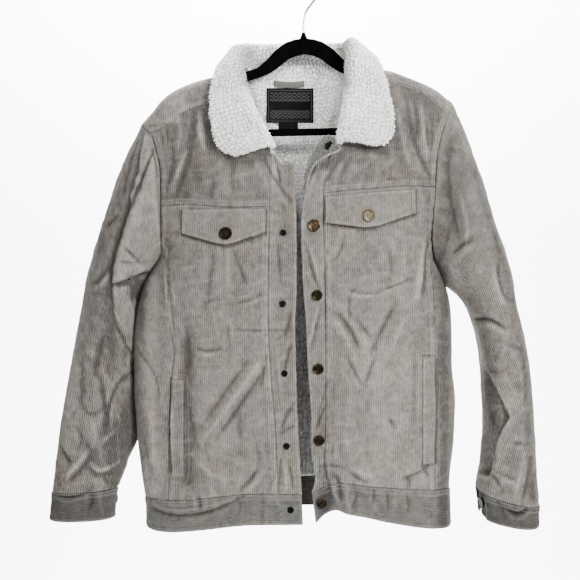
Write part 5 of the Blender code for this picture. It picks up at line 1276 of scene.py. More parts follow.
def wale(w, vector, pitch, worn):
    """Ribs of corduroy along the second coordinate, with the fibres of their nap."""
    u, v = w.split(vector)
    bend = w.minus(w.stretched(u, v, 90.0, 60.0), 0.5)
    phase = w.blend(bend, 1.5, w.math("DIVIDE", u, pitch))
    wave = w.blend(w.math("COSINE", w.times(phase, 2 * math.pi)), 0.5, 0.5)
    bare = w.ramp(w.stretched(u, v, 150.0, 95.0, slice_at=2.0), 0.3, 0.62, 0.15, 1.0)
    rib = w.blend(w.minus(wave, 0.6), bare, 0.6, clamp=True)
    grain, dash = w.stretched(u, v, 2600.0, 900.0), w.stretched(u, v, 520.0, 170.0)
    streak = w.stretched(u, v, 190.0, 75.0, 4.0, 0.7)
    rubbed = w.stretched(u, v, 70.0, 90.0, 4.0, 0.65, 7.0)
    patch = w.stretched(u, v, 26.0, 17.0, 4.0)
    tone = w.times(w.minus(dash, 0.5), 1.7)
    for part, weight in ((streak, 1.3), (rubbed, 1.1), (patch, 1.25), (grain, worn)):
        tone = w.blend(w.minus(part, 0.5), weight, tone)
    warm = w.ramp(w.stretched(u, v, 24.0, 11.0, 4.0, 0.65, 4.0), 0.36, 0.62)
    height = w.math("ADD", w.times(rib, 0.7), w.times(grain, 0.3))
    return {"Rib": rib, "Height": height, "Tone": tone, "Warm": warm}


def curled_pile(w, vector, clump):
    """Curled pile: round clumps, the gaps between them and the fibres on them."""
    place = w.vector("DIVIDE", vector, w.combine(clump, clump, clump))
    warp = w.noise(place, 1.1, 2.0, 0.5)
    bent = w.vector("ADD", place, w.combine(warp, w.times(warp, -0.7), warp))
    mound = w.ramp(w.cells(bent, 1.0, "DISTANCE_TO_EDGE"), 0.0, 0.32)
    curl = w.minus(1.0, w.cells(bent, 2.7, "F1"))
    fibre = w.noise(bent, 7.0, 4.0, 0.65)
    height = w.math("ADD", w.math("ADD", w.times(mound, 0.6), w.times(curl, 0.25)), w.times(fibre, 0.25))
    return {"Mound": mound, "Height": height, "Fibre": fibre}


def patina(w, vector):
    """Old metal: the tarnish in spots, where it is worn off, and fine scratches."""
    spots = w.noise(vector, 420.0, 5.0, 0.6)
    scratch = w.noise(w.vector("MULTIPLY", vector, (1.0, 1.0, 7.0)), 900.0, 3.0, 0.6)
    worn = w.ramp(w.math("ADD", spots, w.times(scratch, 0.3)), 0.5, 0.85)
    return {"Spots": spots, "Worn": worn, "Scratch": scratch}


def satin(w, vector):
    """Fine satin weave: its crossings, its weft and its uneven threads."""
    u, v = w.split(vector)
    warp, weft = w.wave(u, 9000.0), w.wave(v, 7000.0)
    return {"Weave": w.times(warp, weft), "Weft": weft, "Soft": w.noise(vector, 700.0, 3.0, 0.6)}


def new_material(name):
    """Wiring of a new material."""
    material = bpy.data.materials.new(name)
    material.use_nodes = True
    MATERIALS[name] = material
    return Wiring(material.node_tree)


def scaled(colour, *shares):
    """A colour times a share of its own for each part, or one share for all."""
    shares = shares if len(shares) == 3 else shares * 3
    return tuple(part * share for part, share in zip(colour, shares))


def corduroy_material(name, rib, well, worn):
    """Corduroy: light ribs, darker wells, painted shade and light on its folds from the mesh's tone, and sheen towards
    the rim.
    """
    w = new_material(name)
    nap = w.placed("Corduroy wale", Vector=w.uv(), Pitch=sizes().wale, Worn=worn)
    shade = w.math("ADD", w.times(w.tone(), 1.15), 1.0)
    shade = w.times(shade, w.blend(nap["Tone"], 0.66, 1.0))
    cloth = w.shaded(w.mix(nap["Rib"], well, rib), shade)
    w.shader(
        colour=w.mix(1.0, cloth, w.mix(nap["Warm"], COOL_TINT, WARM_TINT), "MULTIPLY"),
        rough=w.ramp(nap["Height"], 0.0, 1.0, 0.98, 0.82),
        specular=0.06,
        sheen=0.03,
        sheen_rough=0.45,
        sheen_tint=NAP_TINT,
        normal=w.bump(nap["Height"], 0.0007, 0.9),
    )


def pile_material(name, light, deep, clump=0.0042, depth=0.0016):
    """Curled pile: light mounds, with painted shade in the gaps between them and from the mesh's tone."""
    w = new_material(name)
    pile = w.placed("Curled pile", Vector=w.places(), Clump=clump)
    body = w.mix(w.blend(pile["Mound"], 0.75, w.times(pile["Fibre"], 0.3), clamp=True), deep, light)
    w.shader(
        colour=w.shaded(body, w.blend(w.tone(), PILE_CONTRAST, 1.0)),
        rough=0.95,
        specular=0.1,
        sheen=0.35,
        sheen_rough=0.6,
        normal=w.bump(pile["Height"], depth, 0.8),
    )


def metal_material(name, tarnish, worn, roughness):
    """Metal whose tarnish is worn off in spots."""
    w = new_material(name)
    old = w.placed("Patina", Vector=w.places())
    w.shader(
        colour=w.mix(old["Worn"], tarnish, worn),
        metallic=1.0,
        rough=w.ramp(old["Spots"], 0.2, 0.8, roughness + 0.075, roughness),
        normal=w.bump(old["Scratch"], 0.00008, 0.5),
    )


def flock_material():
    """Black flock of the hanger."""
    w = new_material("black flock")
    place = w.places()
    nap, patch = w.noise(place, 2600.0, 3.0, 0.6), w.noise(place, 60.0, 3.0, 0.5)
    tint = w.ramp(w.blend(patch, 0.6, w.times(nap, 0.4)), 0.3, 0.8)
    dark, light = (0.0004, 0.0004, 0.0004), (0.0012, 0.0012, 0.0012)
    w.shader(colour=w.mix(tint, dark, light), rough=1.0, specular=0.02, sheen=0.0, normal=w.bump(nap, 0.0002, 0.6))


def wire_material():
    """Drawn wire of the hook."""
    w = new_material("hook wire")
    drawn = w.noise(w.vector("MULTIPLY", w.places(), (900.0, 900.0, 60.0)), 1.0, 3.0, 0.5)
    w.shader(
        colour=w.mix(w.ramp(drawn, 0.3, 0.8), (0.42, 0.42, 0.43), (0.62, 0.62, 0.63)),
        metallic=1.0,
        rough=w.ramp(drawn, 0.2, 0.9, 0.18, 0.32),
        normal=w.bump(drawn, 0.00005, 0.4),
    )


def thread_material():
    """Twisted sewing thread."""
    w = new_material("thread")
    twist = w.noise(w.vector("MULTIPLY", w.places(), (3000.0, 3000.0, 3000.0)), 1.0, 2.0, 0.5)
    dark, light = (0.17, 0.158, 0.142), (0.31, 0.292, 0.27)
    w.shader(colour=w.mix(twist, dark, light), rough=0.75, normal=w.bump(twist, 0.0001, 0.6))


def tape_material():
    """Diagonal weave of the hanging loop."""
    w = new_material("grey tape")
    u, v = w.split(w.uv())
    weave = w.wave(w.math("ADD", u, w.times(v, 0.8)), 5200.0)
    mixed = w.blend(weave, 0.4, w.times(w.noise(w.places(), 300.0, 3.0, 0.6), 0.6))
    dark, light = (0.035, 0.034, 0.031), (0.095, 0.092, 0.084)
    w.shader(colour=w.mix(mixed, dark, light), rough=0.9, sheen=0.2, normal=w.bump(weave, 0.0003, 0.6))


def label_material(name, patterned):
    """Black woven label: a satin ground, and on the large one a plain frame round woven stripes."""
    w = new_material(name)
    cloth = w.placed("Satin", Vector=w.uv())
    ground = w.mix(
        w.blend(cloth["Weave"], 0.5, w.times(cloth["Soft"], 0.5)), (0.0012, 0.0012, 0.0014), (0.005, 0.005, 0.0055)
    )
    if patterned:
        thread = w.mix(
            w.blend(cloth["Weft"], 0.6, w.times(cloth["Soft"], 0.4)), (0.012, 0.0125, 0.0135), (0.06, 0.061, 0.063)
        )
        ground = w.mix(w.times(label_pattern(w), 0.85), ground, thread)
    w.shader(
        colour=ground,
        rough=w.ramp(cloth["Weave"], 0.0, 1.0, 0.95, 0.75),
        specular=0.08,
        normal=w.bump(w.math("ADD", cloth["Weave"], w.times(cloth["Soft"], 0.5)), 0.00025, 0.7),
    )


def label_pattern(w):
    """Mask of a frame, two bands of zigzag and the bars beside the empty middle band."""
    u, v = w.split(w.uv())
    from_side, from_end = (w.minus(half, w.math("ABSOLUTE", place)) for half, place in zip(LABEL_HALF, (u, v)))
    inset, from_middle = w.math("MINIMUM", from_side, from_end), w.math("ABSOLUTE", v)
    outline = w.times(w.ramp(inset, 0.0022, 0.0026), w.ramp(inset, 0.0038, 0.0034))
    inside = w.ramp(inset, 0.0058, 0.0062)
    stripe = w.math("PINGPONG", w.math("ADD", v, w.math("PINGPONG", u, 0.0077)), 0.0026)
    chevrons = w.times(w.ramp(stripe, 0.0016, 0.0009), inside)
    band = w.times(w.ramp(from_middle, 0.0072, 0.0068), inside)
    bars = w.times(w.ramp(from_middle, 0.0088, 0.0084), w.ramp(from_middle, 0.0076, 0.008))
    woven = w.math("MAXIMUM", w.times(chevrons, w.minus(1.0, band)), outline)
    return w.math("MAXIMUM", woven, w.times(bars, inside))


def stage_material():
    """White paper of the floor and backdrop."""
    w = new_material("stage")
    grain = w.noise(w.places(), 3.0, 2.0, 0.5)
    w.shader(colour=w.mix(grain, (0.93, 0.93, 0.93), (0.96, 0.96, 0.96)), rough=0.9)


# --------------------------------------------------------------------------------- operators


class JacketSizes(bpy.types.PropertyGroup):
    """Sizes that a user would change."""

    spacing: bpy.props.FloatProperty(
        name="Mesh step",
        description="Distance between points of the cloth, in millimetres",
        default=2.5,
        min=1.5,
        max=8,
    )
    wale: bpy.props.FloatProperty(
        name="Wale", description="Distance from rib to rib", default=0.0029, unit="LENGTH", precision=4
    )
    crease: bpy.props.FloatProperty(
        name="Creases", description="How deep the creases are", default=1.0, min=0.0, max=2.0, subtype="FACTOR"
    )
    nub: bpy.props.FloatProperty(
        name="Pile nubs", description="Width of a nub of the pile, in millimetres", default=6.8, min=2, max=10
    )


class JacketColours(bpy.types.PropertyGroup):
    """Colours that a user would change."""

    rib: bpy.props.FloatVectorProperty(
        name="Rib", description="Colour of the corduroy's ribs", default=(0.158, 0.148, 0.136), subtype="COLOR"
    )
    well: bpy.props.FloatVectorProperty(
        name="Well", description="Colour between the ribs", default=(0.068, 0.063, 0.057), subtype="COLOR"
    )
    pile: bpy.props.FloatVectorProperty(
        name="Pile", description="Colour of the pile", default=(0.93, 0.935, 0.905), subtype="COLOR"
    )


def sizes():
    """Settings of the jacket's sizes."""
    return bpy.context.scene.jacket_sizes


class JACKET_OT_materials(bpy.types.Operator):
    """Make the materials of the jacket and the hanger"""

    bl_idname = "jacket.materials"
    bl_label = "Materials"

    def execute(self, context):
        new_group("Corduroy wale", {"Vector": (VECTOR, None), "Pitch": (FLOAT, 0.0032), "Worn": (FLOAT, 0.5)}, wale)
        new_group("Curled pile", {"Vector": (VECTOR, None), "Clump": (FLOAT, 0.0042)}, curled_pile)
        new_group("Patina", {"Vector": (VECTOR, None)}, patina)
        new_group("Satin", {"Vector": (VECTOR, None)}, satin)
        chosen = context.scene.jacket_colours
        rib, well, pile = tuple(chosen.rib), tuple(chosen.well), tuple(chosen.pile)
        dyes = {"rib": rib, "band": scaled(rib, *BAND_TINT)}
        for name, (dye, rib_share, well_share, worn) in CORDUROYS.items():
            corduroy_material(name, scaled(dyes[dye], rib_share), scaled(well, well_share), worn)
        for name, share in PILE_GAPS.items():
            pile_material(name, pile, scaled(pile, share))
        pile_material("shaded corner pile", *SHADED_CORNER_PILE)
        for name, look in METALS.items():
            metal_material(name, *look)
        for make in (flock_material, wire_material, thread_material, tape_material, stage_material):
            make()
        label_material("neck label", True)
        label_material("size tab", False)
        return {"FINISHED"}


def front_cloth(name, x, z, seed):
    """Cloth on the front of the body, with its creases and shade."""
    cloth = Cloth(name, body_at("front", x, z), FRONT, seed=seed)
    cloth.relief += creased("front", x, z)
    cloth.shade += shade_along(SHADES["front"], x, z)
    return cloth


def placket_top(side):
    """Level of a front strip's top edge: the collar's end on the left, a slant on the right."""
    if side == "left":
        return z_by_x(COLLAR_END)
    edge_x, edge_z = FRONT_EDGE[side]["x"][-1], FRONT_EDGE[side]["z"][-1]
    seam_x = read(PLACKET_SEAM[side], "x", "z", PLACKET_TOP)
    return lambda at: edge_z + (PLACKET_TOP - edge_z) * np.clip((at - edge_x) / (seam_x - edge_x), -0.2, 1.2)


class JACKET_OT_fronts(bpy.types.Operator):
    """Make the front panels, chest pieces and front strips"""

    bl_idname = "jacket.fronts"
    bl_label = "Fronts"

    def execute(self, context):
        step = sizes().spacing
        lines = []
        for side in SIDES:
            hem, chest, placket = z_by_x(HEM_SEAM[side]), z_by_x(CHEST_SEAM[side]), x_by_z(PLACKET_SEAM[side])
            strap, neck, armhole = z_by_x(STRAP_SEAM[side]), x_by_z(YOKE_INNER[side]), x_by_z(ARMHOLE[side])
            borders = {
                "front_panel": (hem, chest, placket, edge_then_armhole(side, PANEL_SEAM[side])),
                "front_yoke": (chest, strap, neck, armhole),
                "placket": (hem, placket_top(side), x_by_z(FRONT_EDGE[side]), placket),
            }
            for name, (height, width, share, seed, shade, styles) in FRONT_PIECES.items():
                rows, columns = stations(height, step), stations(width, step * share)
                cloth = front_cloth(f"{name}_{side}", *spread(*borders[name], rows, columns), seed)
                cloth.shade += shade
                cloth.seams(*styles)
                lines += cloth.add("corduroy", "corduroy", rests=["hanger_frame"])
        stitches_object("front_stitches", lines, seed=2)
        return {"FINISHED"}


def side_rows(side, face):
    """Side seam and hem seam of a face of the body."""
    return (PANEL_SEAM[side], HEM_SEAM[side]) if face == "front" else (BACK_SEAM[side], BACK_HEM_SEAM)


def side_seam_angle(side, face, z):
    """Turn round the body's side at which a side seam lies."""
    return angle_of(side, face, read(side_rows(side, face)[0], "x", "z", z), z)


def side_strip(side, rows, shares):
    """Points round the side: columns run from the front seam over the side line to the back seam."""
    columns = []
    for share in shares:
        face = "front" if share <= 0 else "back"
        near = 1 - abs(share)
        seam, hem = side_rows(side, face)
        low = float(read(hem, "z", "x", seam["x"][0]))
        z = low + (crossing(side, face, near) - low) * rows
        angle = side_seam_angle(side, face, z)
        columns.append(body_by_angle(side, face, angle + (math.pi / 2 - angle) * near, z))
    return np.stack(columns, axis=1)


def crossing(side, face, near):
    """Level at which a column of the side strip runs into the armhole."""
    low, high = armhole_span(side)[0], PANEL_SEAM[side]["z"][-1]
    if near >= 1:
        return low
    for _ in range(SETTLING):
        middle = np.array((low + high) / 2)
        start = side_seam_angle(side, face, middle)
        if start + (math.pi / 2 - start) * near < np.arcsin(np.sqrt(fullness(side, face, middle))):
            low = float(middle)
        else:
            high = float(middle)
    return (low + high) / 2


def neck_level(x):
    """Level of the neck seam at the back."""
    return smooth(COLLAR["neck_x"][BACK_NECK], COLLAR["neck_z"][BACK_NECK], x)


class JACKET_OT_sides_and_back(bpy.types.Operator):
    """Make the side strips, the back and the yoke over the shoulders"""

    bl_idname = "jacket.sides_and_back"
    bl_label = "Sides and back"

    def execute(self, context):
        step = sizes().spacing
        lines = []
        half = stations(66, step, (True, False))
        shares = np.concatenate([half - 1, (1 - half)[::-1][1:]])
        for side in SIDES:
            points = side_strip(side, stations(385, step * 1.1), shares)
            strip = Cloth(f"side_panel_{side}", points, np.array([SIGN[side], 0.0, 0.0]), "rows", seed=41)
            x, z = points[..., 0], points[..., 2]
            front, turn = (shares <= 0)[None, :], np.abs(shares)[None, :]
            fold = np.where(front, body_relief("front", x, z), body_relief("back", x, z))
            fold += (1 - turn) * 1.6 * soft_noise(turn * 20, z * 0.5, 22, 8)
            strip.relief += sizes().crease * fold
            strip.shade += shade_along(SHADES["front"], x, z) * front
            strip.seams("under", "under", "under", "under")
            lines += strip.add("corduroy", "corduroy", rests=["hanger_frame"])
        x, z = spread(
            z_by_x(BACK_HEM_SEAM),
            z_by_x(BACK_YOKE_SEAM),
            *(edge_then_armhole(side, BACK_SEAM[side]) for side in SIDES),
            stations(520, step * 1.15),
            stations(420, step * 1.15),
        )
        back = Cloth("back_panel", body_at("back", x, z), BACK, seed=51)
        back.relief += creased("back", x, z)
        back.seams("under", "under", "double", "double")
        lines += back.add("corduroy", "corduroy", rests=["hanger_frame"])
        lines += self.yoke(step)
        stitches_object("back_stitches", lines, seed=3)
        return {"FINISHED"}

    def yoke(self, step):
        """The yoke's back, its two straps over the shoulders to the front, and the stays under its edge."""
        necks = COLLAR["neck_x"][BACK_NECK][[0, -1]]

        def top(x):
            blend = step_between(necks[0] - 6, necks[0] + 6, x) * (1 - step_between(necks[1] - 6, necks[1] + 6, x))
            return read(RIDGE, "z", "x", x) * (1 - blend) + (neck_level(x) - 1.5) * blend

        rise = np.unique(np.clip(1 - (1 - stations(120, step)) ** 1.6, 0, 1))
        armholes = (x_by_z(ARMHOLE[side]) for side in SIDES)
        x, z = spread(z_by_x(BACK_YOKE_SEAM), top, *armholes, rise, stations(490, step * 1.1))
        yoke = Cloth("back_yoke", body_at("back", x, z), np.array([0.0, 1.0, 0.2]), seed=61)
        yoke.relief += creased("back", x, z)
        yoke.seams("double", None, "double", "double")
        layers = [yoke.finished(sides=(True, False, True, True))]
        lines = yoke.lines
        for side, neck in zip(SIDES, necks):
            v, across = (stations(60, step * 0.9, (False, True)) ** 1.5)[:, None], stations(165, step * 1.1)
            x_top = neck + (RIDGE_END[side] - neck) * across
            inner = YOKE_INNER[side]["x"][-1]
            x_low = inner + (STRAP_END[side] - inner) * across
            x = x_top[None, :] + (x_low - x_top)[None, :] * v
            ridge, low = read(RIDGE, "z", "x", x_top), read(STRAP_SEAM[side], "z", "x", x_low)[None, :]
            z = ridge[None, :] + (low - ridge[None, :]) * v
            points = body_at("front", x, z)
            points[0, :, 1], points[0, :, 2] = 0.0, ridge
            strap = Cloth("strap", points, np.array([0.0, -1.0, 0.6]), seed=71)
            strap.relief += creased("front", x, z) * step_between(0, 0.3, v)
            strap.shade += shade_along(SHADES["front"], x, z)
            strap.seams(None, "double", "plain", "double")
            layers.append(strap.finished(sides=(False, True, True, True)))
            lines += strap.lines
        layers += [self.stay(side, face) for side in SIDES for face in OUTWARD]
        piece = grid_mesh("back_yoke", layers, "corduroy", "corduroy")
        declare(piece, "back_yoke")
        return lines

    def stay(self, side, face):
        """Turned-in cloth under the yoke's edge at the shoulder point."""
        x = (RIDGE_END[side] * np.linspace(0.82, 0.999, 16))[None, :] + np.zeros((10, 1))
        z = read(RIDGE, "z", "x", x) - np.linspace(0.4, 26.0, 10)[:, None]
        base = body_at(face, x, z)
        points = base - grid_normals(base, OUTWARD[face] + np.array([0.0, 0.0, 0.3])) * 1.7
        # The stays' tone of 0.35 is painted shade under the yoke's edge.
        return points, np.stack([x, z], axis=-1) * MM, np.full(x.shape, 0.35)


def sleeve_relief(side, points, turn, row):
    """Creases, folds and unevenness of a sleeve, which fade out at its armhole."""
    x, z, front = points[..., 0], points[..., 2], turn >= 0
    raised = creases_at(SLEEVE_CREASES[side]["front"], x, z) + folds_over(SLEEVE_FOLDS[side], x, z)
    relief = np.where(front[None, :], raised, creases_at(SLEEVE_CREASES[side]["back"], x, z))
    relief = relief * (np.abs(np.sin(turn)) ** 0.7)[None, :]
    start = step_between(0.0, 0.5, row)[:, None]
    relief = relief * start + 0.8 * crumple(x + 40 * turn[None, :], z, 40) * start
    lengthways = 1.1 * soft_noise(turn[None, :] * 60 + 0 * x, z * 0.45, 24, 12)
    return relief + (lengthways + 0.5 * soft_noise(turn[None, :] * 60 + z * 0.5, z * 0.8, 11, 13)) * start


class JACKET_OT_sleeves(bpy.types.Operator):
    """Make the sleeves in two parts"""

    bl_idname = "jacket.sleeves"
    bl_label = "Sleeves"

    def execute(self, context):
        step = sizes().spacing
        for side in SIDES:
            row = (len(SLEEVE[side]["front"]) - 1) * stations(600, step * 1.15)
            for part, (low, high, width, middle_turn) in SLEEVE_PARTS.items():
                turn = low + (high - low) * stations(width, step * 0.95)
                signed = np.where(turn > math.pi, turn - 2 * math.pi, turn)
                points = sleeve_points(side, row, signed)
                outward = unit(points - (points[:, :1] + points[:, -1:]) / 2)
                near = self.beside_body(side, points[..., 2], signed)
                points = points + grid_normals(points, outward) * (SWELL[side][0] * near)[..., None]
                cloth = Cloth(f"sleeve_{part}_{side}", points, outward, "rows", seed=81)
                cloth.uv = self.on_the_bias(side, points, np.argmin(np.abs(turn - middle_turn)))
                cloth.relief += sizes().crease * sleeve_relief(side, points, signed, row)
                cloth.shade += SWELL[side][1] * near + self.shade(side, points, signed)
                cloth.seams("under", "under", "plain", "plain")
                cloth.add("sleeve corduroy", "corduroy", turn_in=CLOSE_EDGE)
        return {"FINISHED"}

    def on_the_bias(self, side, points, centre):
        """Places along and across the wales, which lean from the sleeve's length."""
        arc, along = arcs(points, 1), arcs(points, 0)
        across, down = arc - arc[:, centre : centre + 1], along[:, centre : centre + 1] + 0 * arc
        cosine, sine = math.cos(SIGN[side] * SLEEVE_GRAIN), math.sin(SIGN[side] * SLEEVE_GRAIN)
        return np.stack([across * cosine + down * sine, down * cosine - across * sine], axis=-1) * MM

    def beside_body(self, side, z, turn):
        """How near the under sleeve is to where it swells against the body, from 0 to 1."""
        if side == "left":
            away = (turn - math.radians(-160) + math.pi) % (2 * math.pi) - math.pi
            span = step_between(-760, -720, z) * (1 - step_between(-468, -446, z))
            return np.exp(-((away / 0.5) ** 2))[None, :] * span
        away = turn % (2 * math.pi) - math.pi
        return np.exp(-((away / 0.75) ** 2))[None, :] * np.exp(-(((z + 474) / 15) ** 2))

    def shade(self, side, points, turn):
        """Painted shade beside the folds and over the half of the left sleeve that turns away, and painted light where
        a line's depth is below zero.
        """
        x, z, front = points[..., 0], points[..., 2], (turn >= 0)[None, :]
        shade = shade_along(SHADES[side], x, z) * front
        if side == "left":
            border = np.interp(-z, OUTER_HALF["down"], OUTER_HALF["x"])
            outer = 1 - step_between(border - 9, border + 2, x)
            away = 0.24 * outer * (1 - 0.6 * step_between(-560, -700, z)) * front
            shade = np.maximum(shade, away) + np.minimum(shade, 0.0)
        return shade


class JACKET_OT_bands(bpy.types.Operator):
    """Make the hem bands, the cuffs and their tabs"""

    bl_idname = "jacket.bands"
    bl_label = "Hem bands and cuffs"

    def execute(self, context):
        step = sizes().spacing * 0.9
        lines = []
        for side in SIDES:
            lines += self.front_band(side, step)
        lines += self.back_band(step)
        for side in SIDES:
            lines += self.cuff(side, step)
        stitches_object("band_stitches", lines, seed=5)
        return {"FINISHED"}

    def front_band(self, side, step):
        """Hem band of one front, which runs on to the side line."""
        rows = stations(50, step * 0.7)
        v = rows[:, None]
        bottom_x, top_x = (read(FRONT_EDGE[side], "x", "z", z) for z in (FRONT_EDGE[side]["z"][0], -800.0))
        start = bottom_x + (top_x - bottom_x) * v
        x = start + (PANEL_SEAM[side]["x"][0] - start) * stations(205, step, (True, False))[None, :]
        low, high = read(HEM[side], "z", "x", x), read(HEM_SEAM[side], "z", "x", x)
        z = low + (high - low) * v
        share = stations(66, step, (False, False))[1:]
        round_side = self.round_side(side, "front", rows, share, float(z[-1, -1]))
        points = np.concatenate([body_at("front", x, z), round_side], axis=1)
        band = Cloth(f"hem_band_{side}", points, np.array([SIGN[side] * 0.2, -1.0, 0.0]), "columns", seed=91)
        band.relief += creased("front", points[..., 0], points[..., 2])
        band.shade += shade_along(SHADES["front"], points[..., 0], points[..., 2])
        band.seams("edge", "double", "edge", "plain")
        return band.add("corduroy band", "corduroy_band")

    def round_side(self, side, face, rows, share, top):
        """Points of a band from its side seam to the side line."""
        seam_x = side_rows(side, face)[0]["x"][0]
        reach_x = float(reach(side, np.array(top)))
        columns = []
        for s in share:
            x = seam_x + (reach_x - seam_x) * s
            low = float(read(HEM[side] if face == "front" else BACK_HEM, "z", "x", x))
            z = low + (top - low) * rows
            start = side_seam_angle(side, face, np.full_like(z, top))
            columns.append(body_by_angle(side, face, start + (math.pi / 2 - start) * s, z))
        return np.stack(columns, axis=1)

    def back_band(self, step):
        """Hem band of the back from side line to side line, and its inner face."""
        rows, share = stations(50, step * 0.7), stations(66, step, (False, False))[1:]
        left, right = (BACK_SEAM[side]["x"][0] for side in SIDES)
        x = left + (right - left) * stations(410, step, (False, False))[None, :] + 0 * rows[:, None]
        low, high = read(BACK_HEM, "z", "x", x), read(BACK_HEM_SEAM, "z", "x", x)
        z = low + (high - low) * rows[:, None]
        parts = (
            self.round_side("left", "back", rows, share[::-1], float(z[-1, 0])),
            body_at("back", x, z),
            self.round_side("right", "back", rows, share, float(z[-1, -1])),
        )
        points = np.concatenate(parts, axis=1)
        band = Cloth("hem_band_back", points, BACK, "columns", seed=95)
        band.relief += creased("back", points[..., 0], points[..., 2])
        band.seams("edge", "double", "plain", "plain")
        lines = band.add("corduroy band", "corduroy_band")
        # The inner face gets painted shade: a dark tone on the darker cuff corduroy.
        inner = (band.points - band.normals * BAND_THICKNESS)[::2, ::2]
        facing = (inner, band.uv[::2, ::2], np.full(inner.shape[:2], FACING_SHADE))
        grid_mesh("band_facing", [facing], "shaded cuff corduroy", "corduroy_band")
        return lines

    def cuff(self, side, step):
        """A cuff that runs round from its open edge, and the tab that laps it there."""
        edge = CUFF_EDGE[side]
        far = -math.copysign(math.radians(178), edge)
        low, high = min(far, edge), max(far, edge)
        rows = stations(44, step * 0.7)[:, None, None]

        def ring(turn):
            signed = np.where(turn > math.pi, turn - 2 * math.pi, np.where(turn < -math.pi, turn + 2 * math.pi, turn))
            start = ring_points(SLEEVE[side], len(SLEEVE[side]["front"]) - 1, signed)
            return start[None] * (1 - rows) + ring_points(CUFF_END[side], 0, signed)[None] * rows

        points = ring(low + (high - low) * stations(250, step))
        middle = np.mean(points, axis=1, keepdims=True)
        cuff = Cloth(f"cuff_{side}", points, unit(points - middle), "columns", seed=97)
        creases = creases_at(CUFF_CREASES[side], points[..., 0], points[..., 2])
        cuff.relief += sizes().crease * creases * (points[..., 1] < 4)
        cuff.seams("double", "edge", "edge", "edge")
        lines = cuff.add("shaded cuff corduroy", "corduroy_band", held="folded")
        points = ring(np.linspace(edge - math.copysign(0.25, edge), math.copysign(math.radians(176), edge), 16))
        tab = Cloth(f"cuff_tab_{side}", points, unit(points - middle), "columns", seed=99)
        tab.seams("under", "edge", "plain", "plain")
        return lines + tab.add("shaded cuff corduroy", "corduroy_band", held="folded", lift=-3.4)


def front_patch(x, z, lift):
    """Points of a piece laid on the front at places of the hanger's plane."""
    base = body_at("front", x, z)
    return base + grid_normals(base, FRONT) * (creased("front", x, z) + lift)[..., None]


class JACKET_OT_pockets(bpy.types.Operator):
    """Make the pocket flaps, welts and the stitching of the pocket bags"""

    bl_idname = "jacket.pockets"
    bl_label = "Pockets"

    def execute(self, context):
        lines = []
        for make in (self.flap, self.welt):
            for side in SIDES:
                cloth = make(side)
                laid = {"held": "laid", "rests": [f"front_panel_{side}"], "turn_in": LAID_EDGE}
                lines += cloth.add("corduroy", "corduroy", **laid)
        stitches_object("pocket_stitches", lines + self.bag_lines(), seed=6)
        return {"FINISHED"}

    def flap(self, side):
        """Pointed flap that bows away from the front."""
        (x0, x1), (low0, low1), (tip_x, tip_z), (top0, top1) = FLAP[side]
        u, v = stations(x1 - x0, POCKET_STEP)[None, :], stations(48, POCKET_STEP)[:, None]
        x = x0 + (x1 - x0) * u + 0 * v
        left = low0 + (tip_z - low0) * (x - x0) / (tip_x - x0)
        right = low1 + (tip_z - low1) * (x1 - x) / (x1 - tip_x)
        low = np.maximum(left, right) + 1.6 * np.exp(-(((x - tip_x) / 7.0) ** 2))
        top = top0 + (top1 - top0) * (x - x0) / (x1 - x0)
        z = low + (top - low) * v
        bow = 1.2 + 1.6 * (1 - v) * np.sin(math.pi * u) + 0.8 * (1 - v)
        flap = Cloth(f"flap_{side}", front_patch(x, z, 2.4 + bow), FRONT, seed=101)
        flap.relief += 0.4 * soft_noise(x, z, 14, 17)
        flap.seams("edge", "single", "edge", "edge")
        return flap

    def welt(self, side):
        """Welt whose free side gapes a little."""
        (x0, x1), (z0, z1), free_edge_shade = WELT[side]
        u, v = stations(x1 - x0, 1.4)[None, :], stations(z1 - z0, POCKET_STEP)[:, None]
        x, z = x0 + (x1 - x0) * u + 0 * v, z0 + (z1 - z0) * v + 0 * u
        from_free = u if side == "left" else 1 - u
        gape = 4.2 * np.sin(math.pi * v) ** 2 * (1 - from_free) ** 2
        welt = Cloth(f"welt_{side}", front_patch(x, z, 1.9 + gape), FRONT, seed=111)
        free = np.exp(-((from_free * (x1 - x0) / 1.6) ** 2))
        # The free edge gets the table's painted shade, which below zero is a painted highlight, and the rest gets the
        # front's painted shade.
        welt.shade += free_edge_shade * free + 0.8 * shade_along(SHADES["front"], x, z) * (1 - free)
        welt.seams("edge", "edge", "edge", "edge")
        return welt

    def bag_lines(self):
        """Rows of stitches through the fronts that hold the chest pockets' and hand pockets' bags."""
        lines = []
        for outline in BAGS:
            outline = np.array(outline, dtype=float)
            run = np.arange(len(outline), dtype=float)
            fine = np.linspace(0, len(outline) - 1, 60 * len(outline))
            x, z = (smooth(run, outline[:, k], fine) for k in (0, 1))
            x, z = np.stack([x, x + 0.5]), np.stack([z, z + 0.5])
            points = front_patch(x, z, 0.0 * x)[0]
            lines.append((points, np.repeat(FRONT[None], len(points), axis=0)))
        return lines


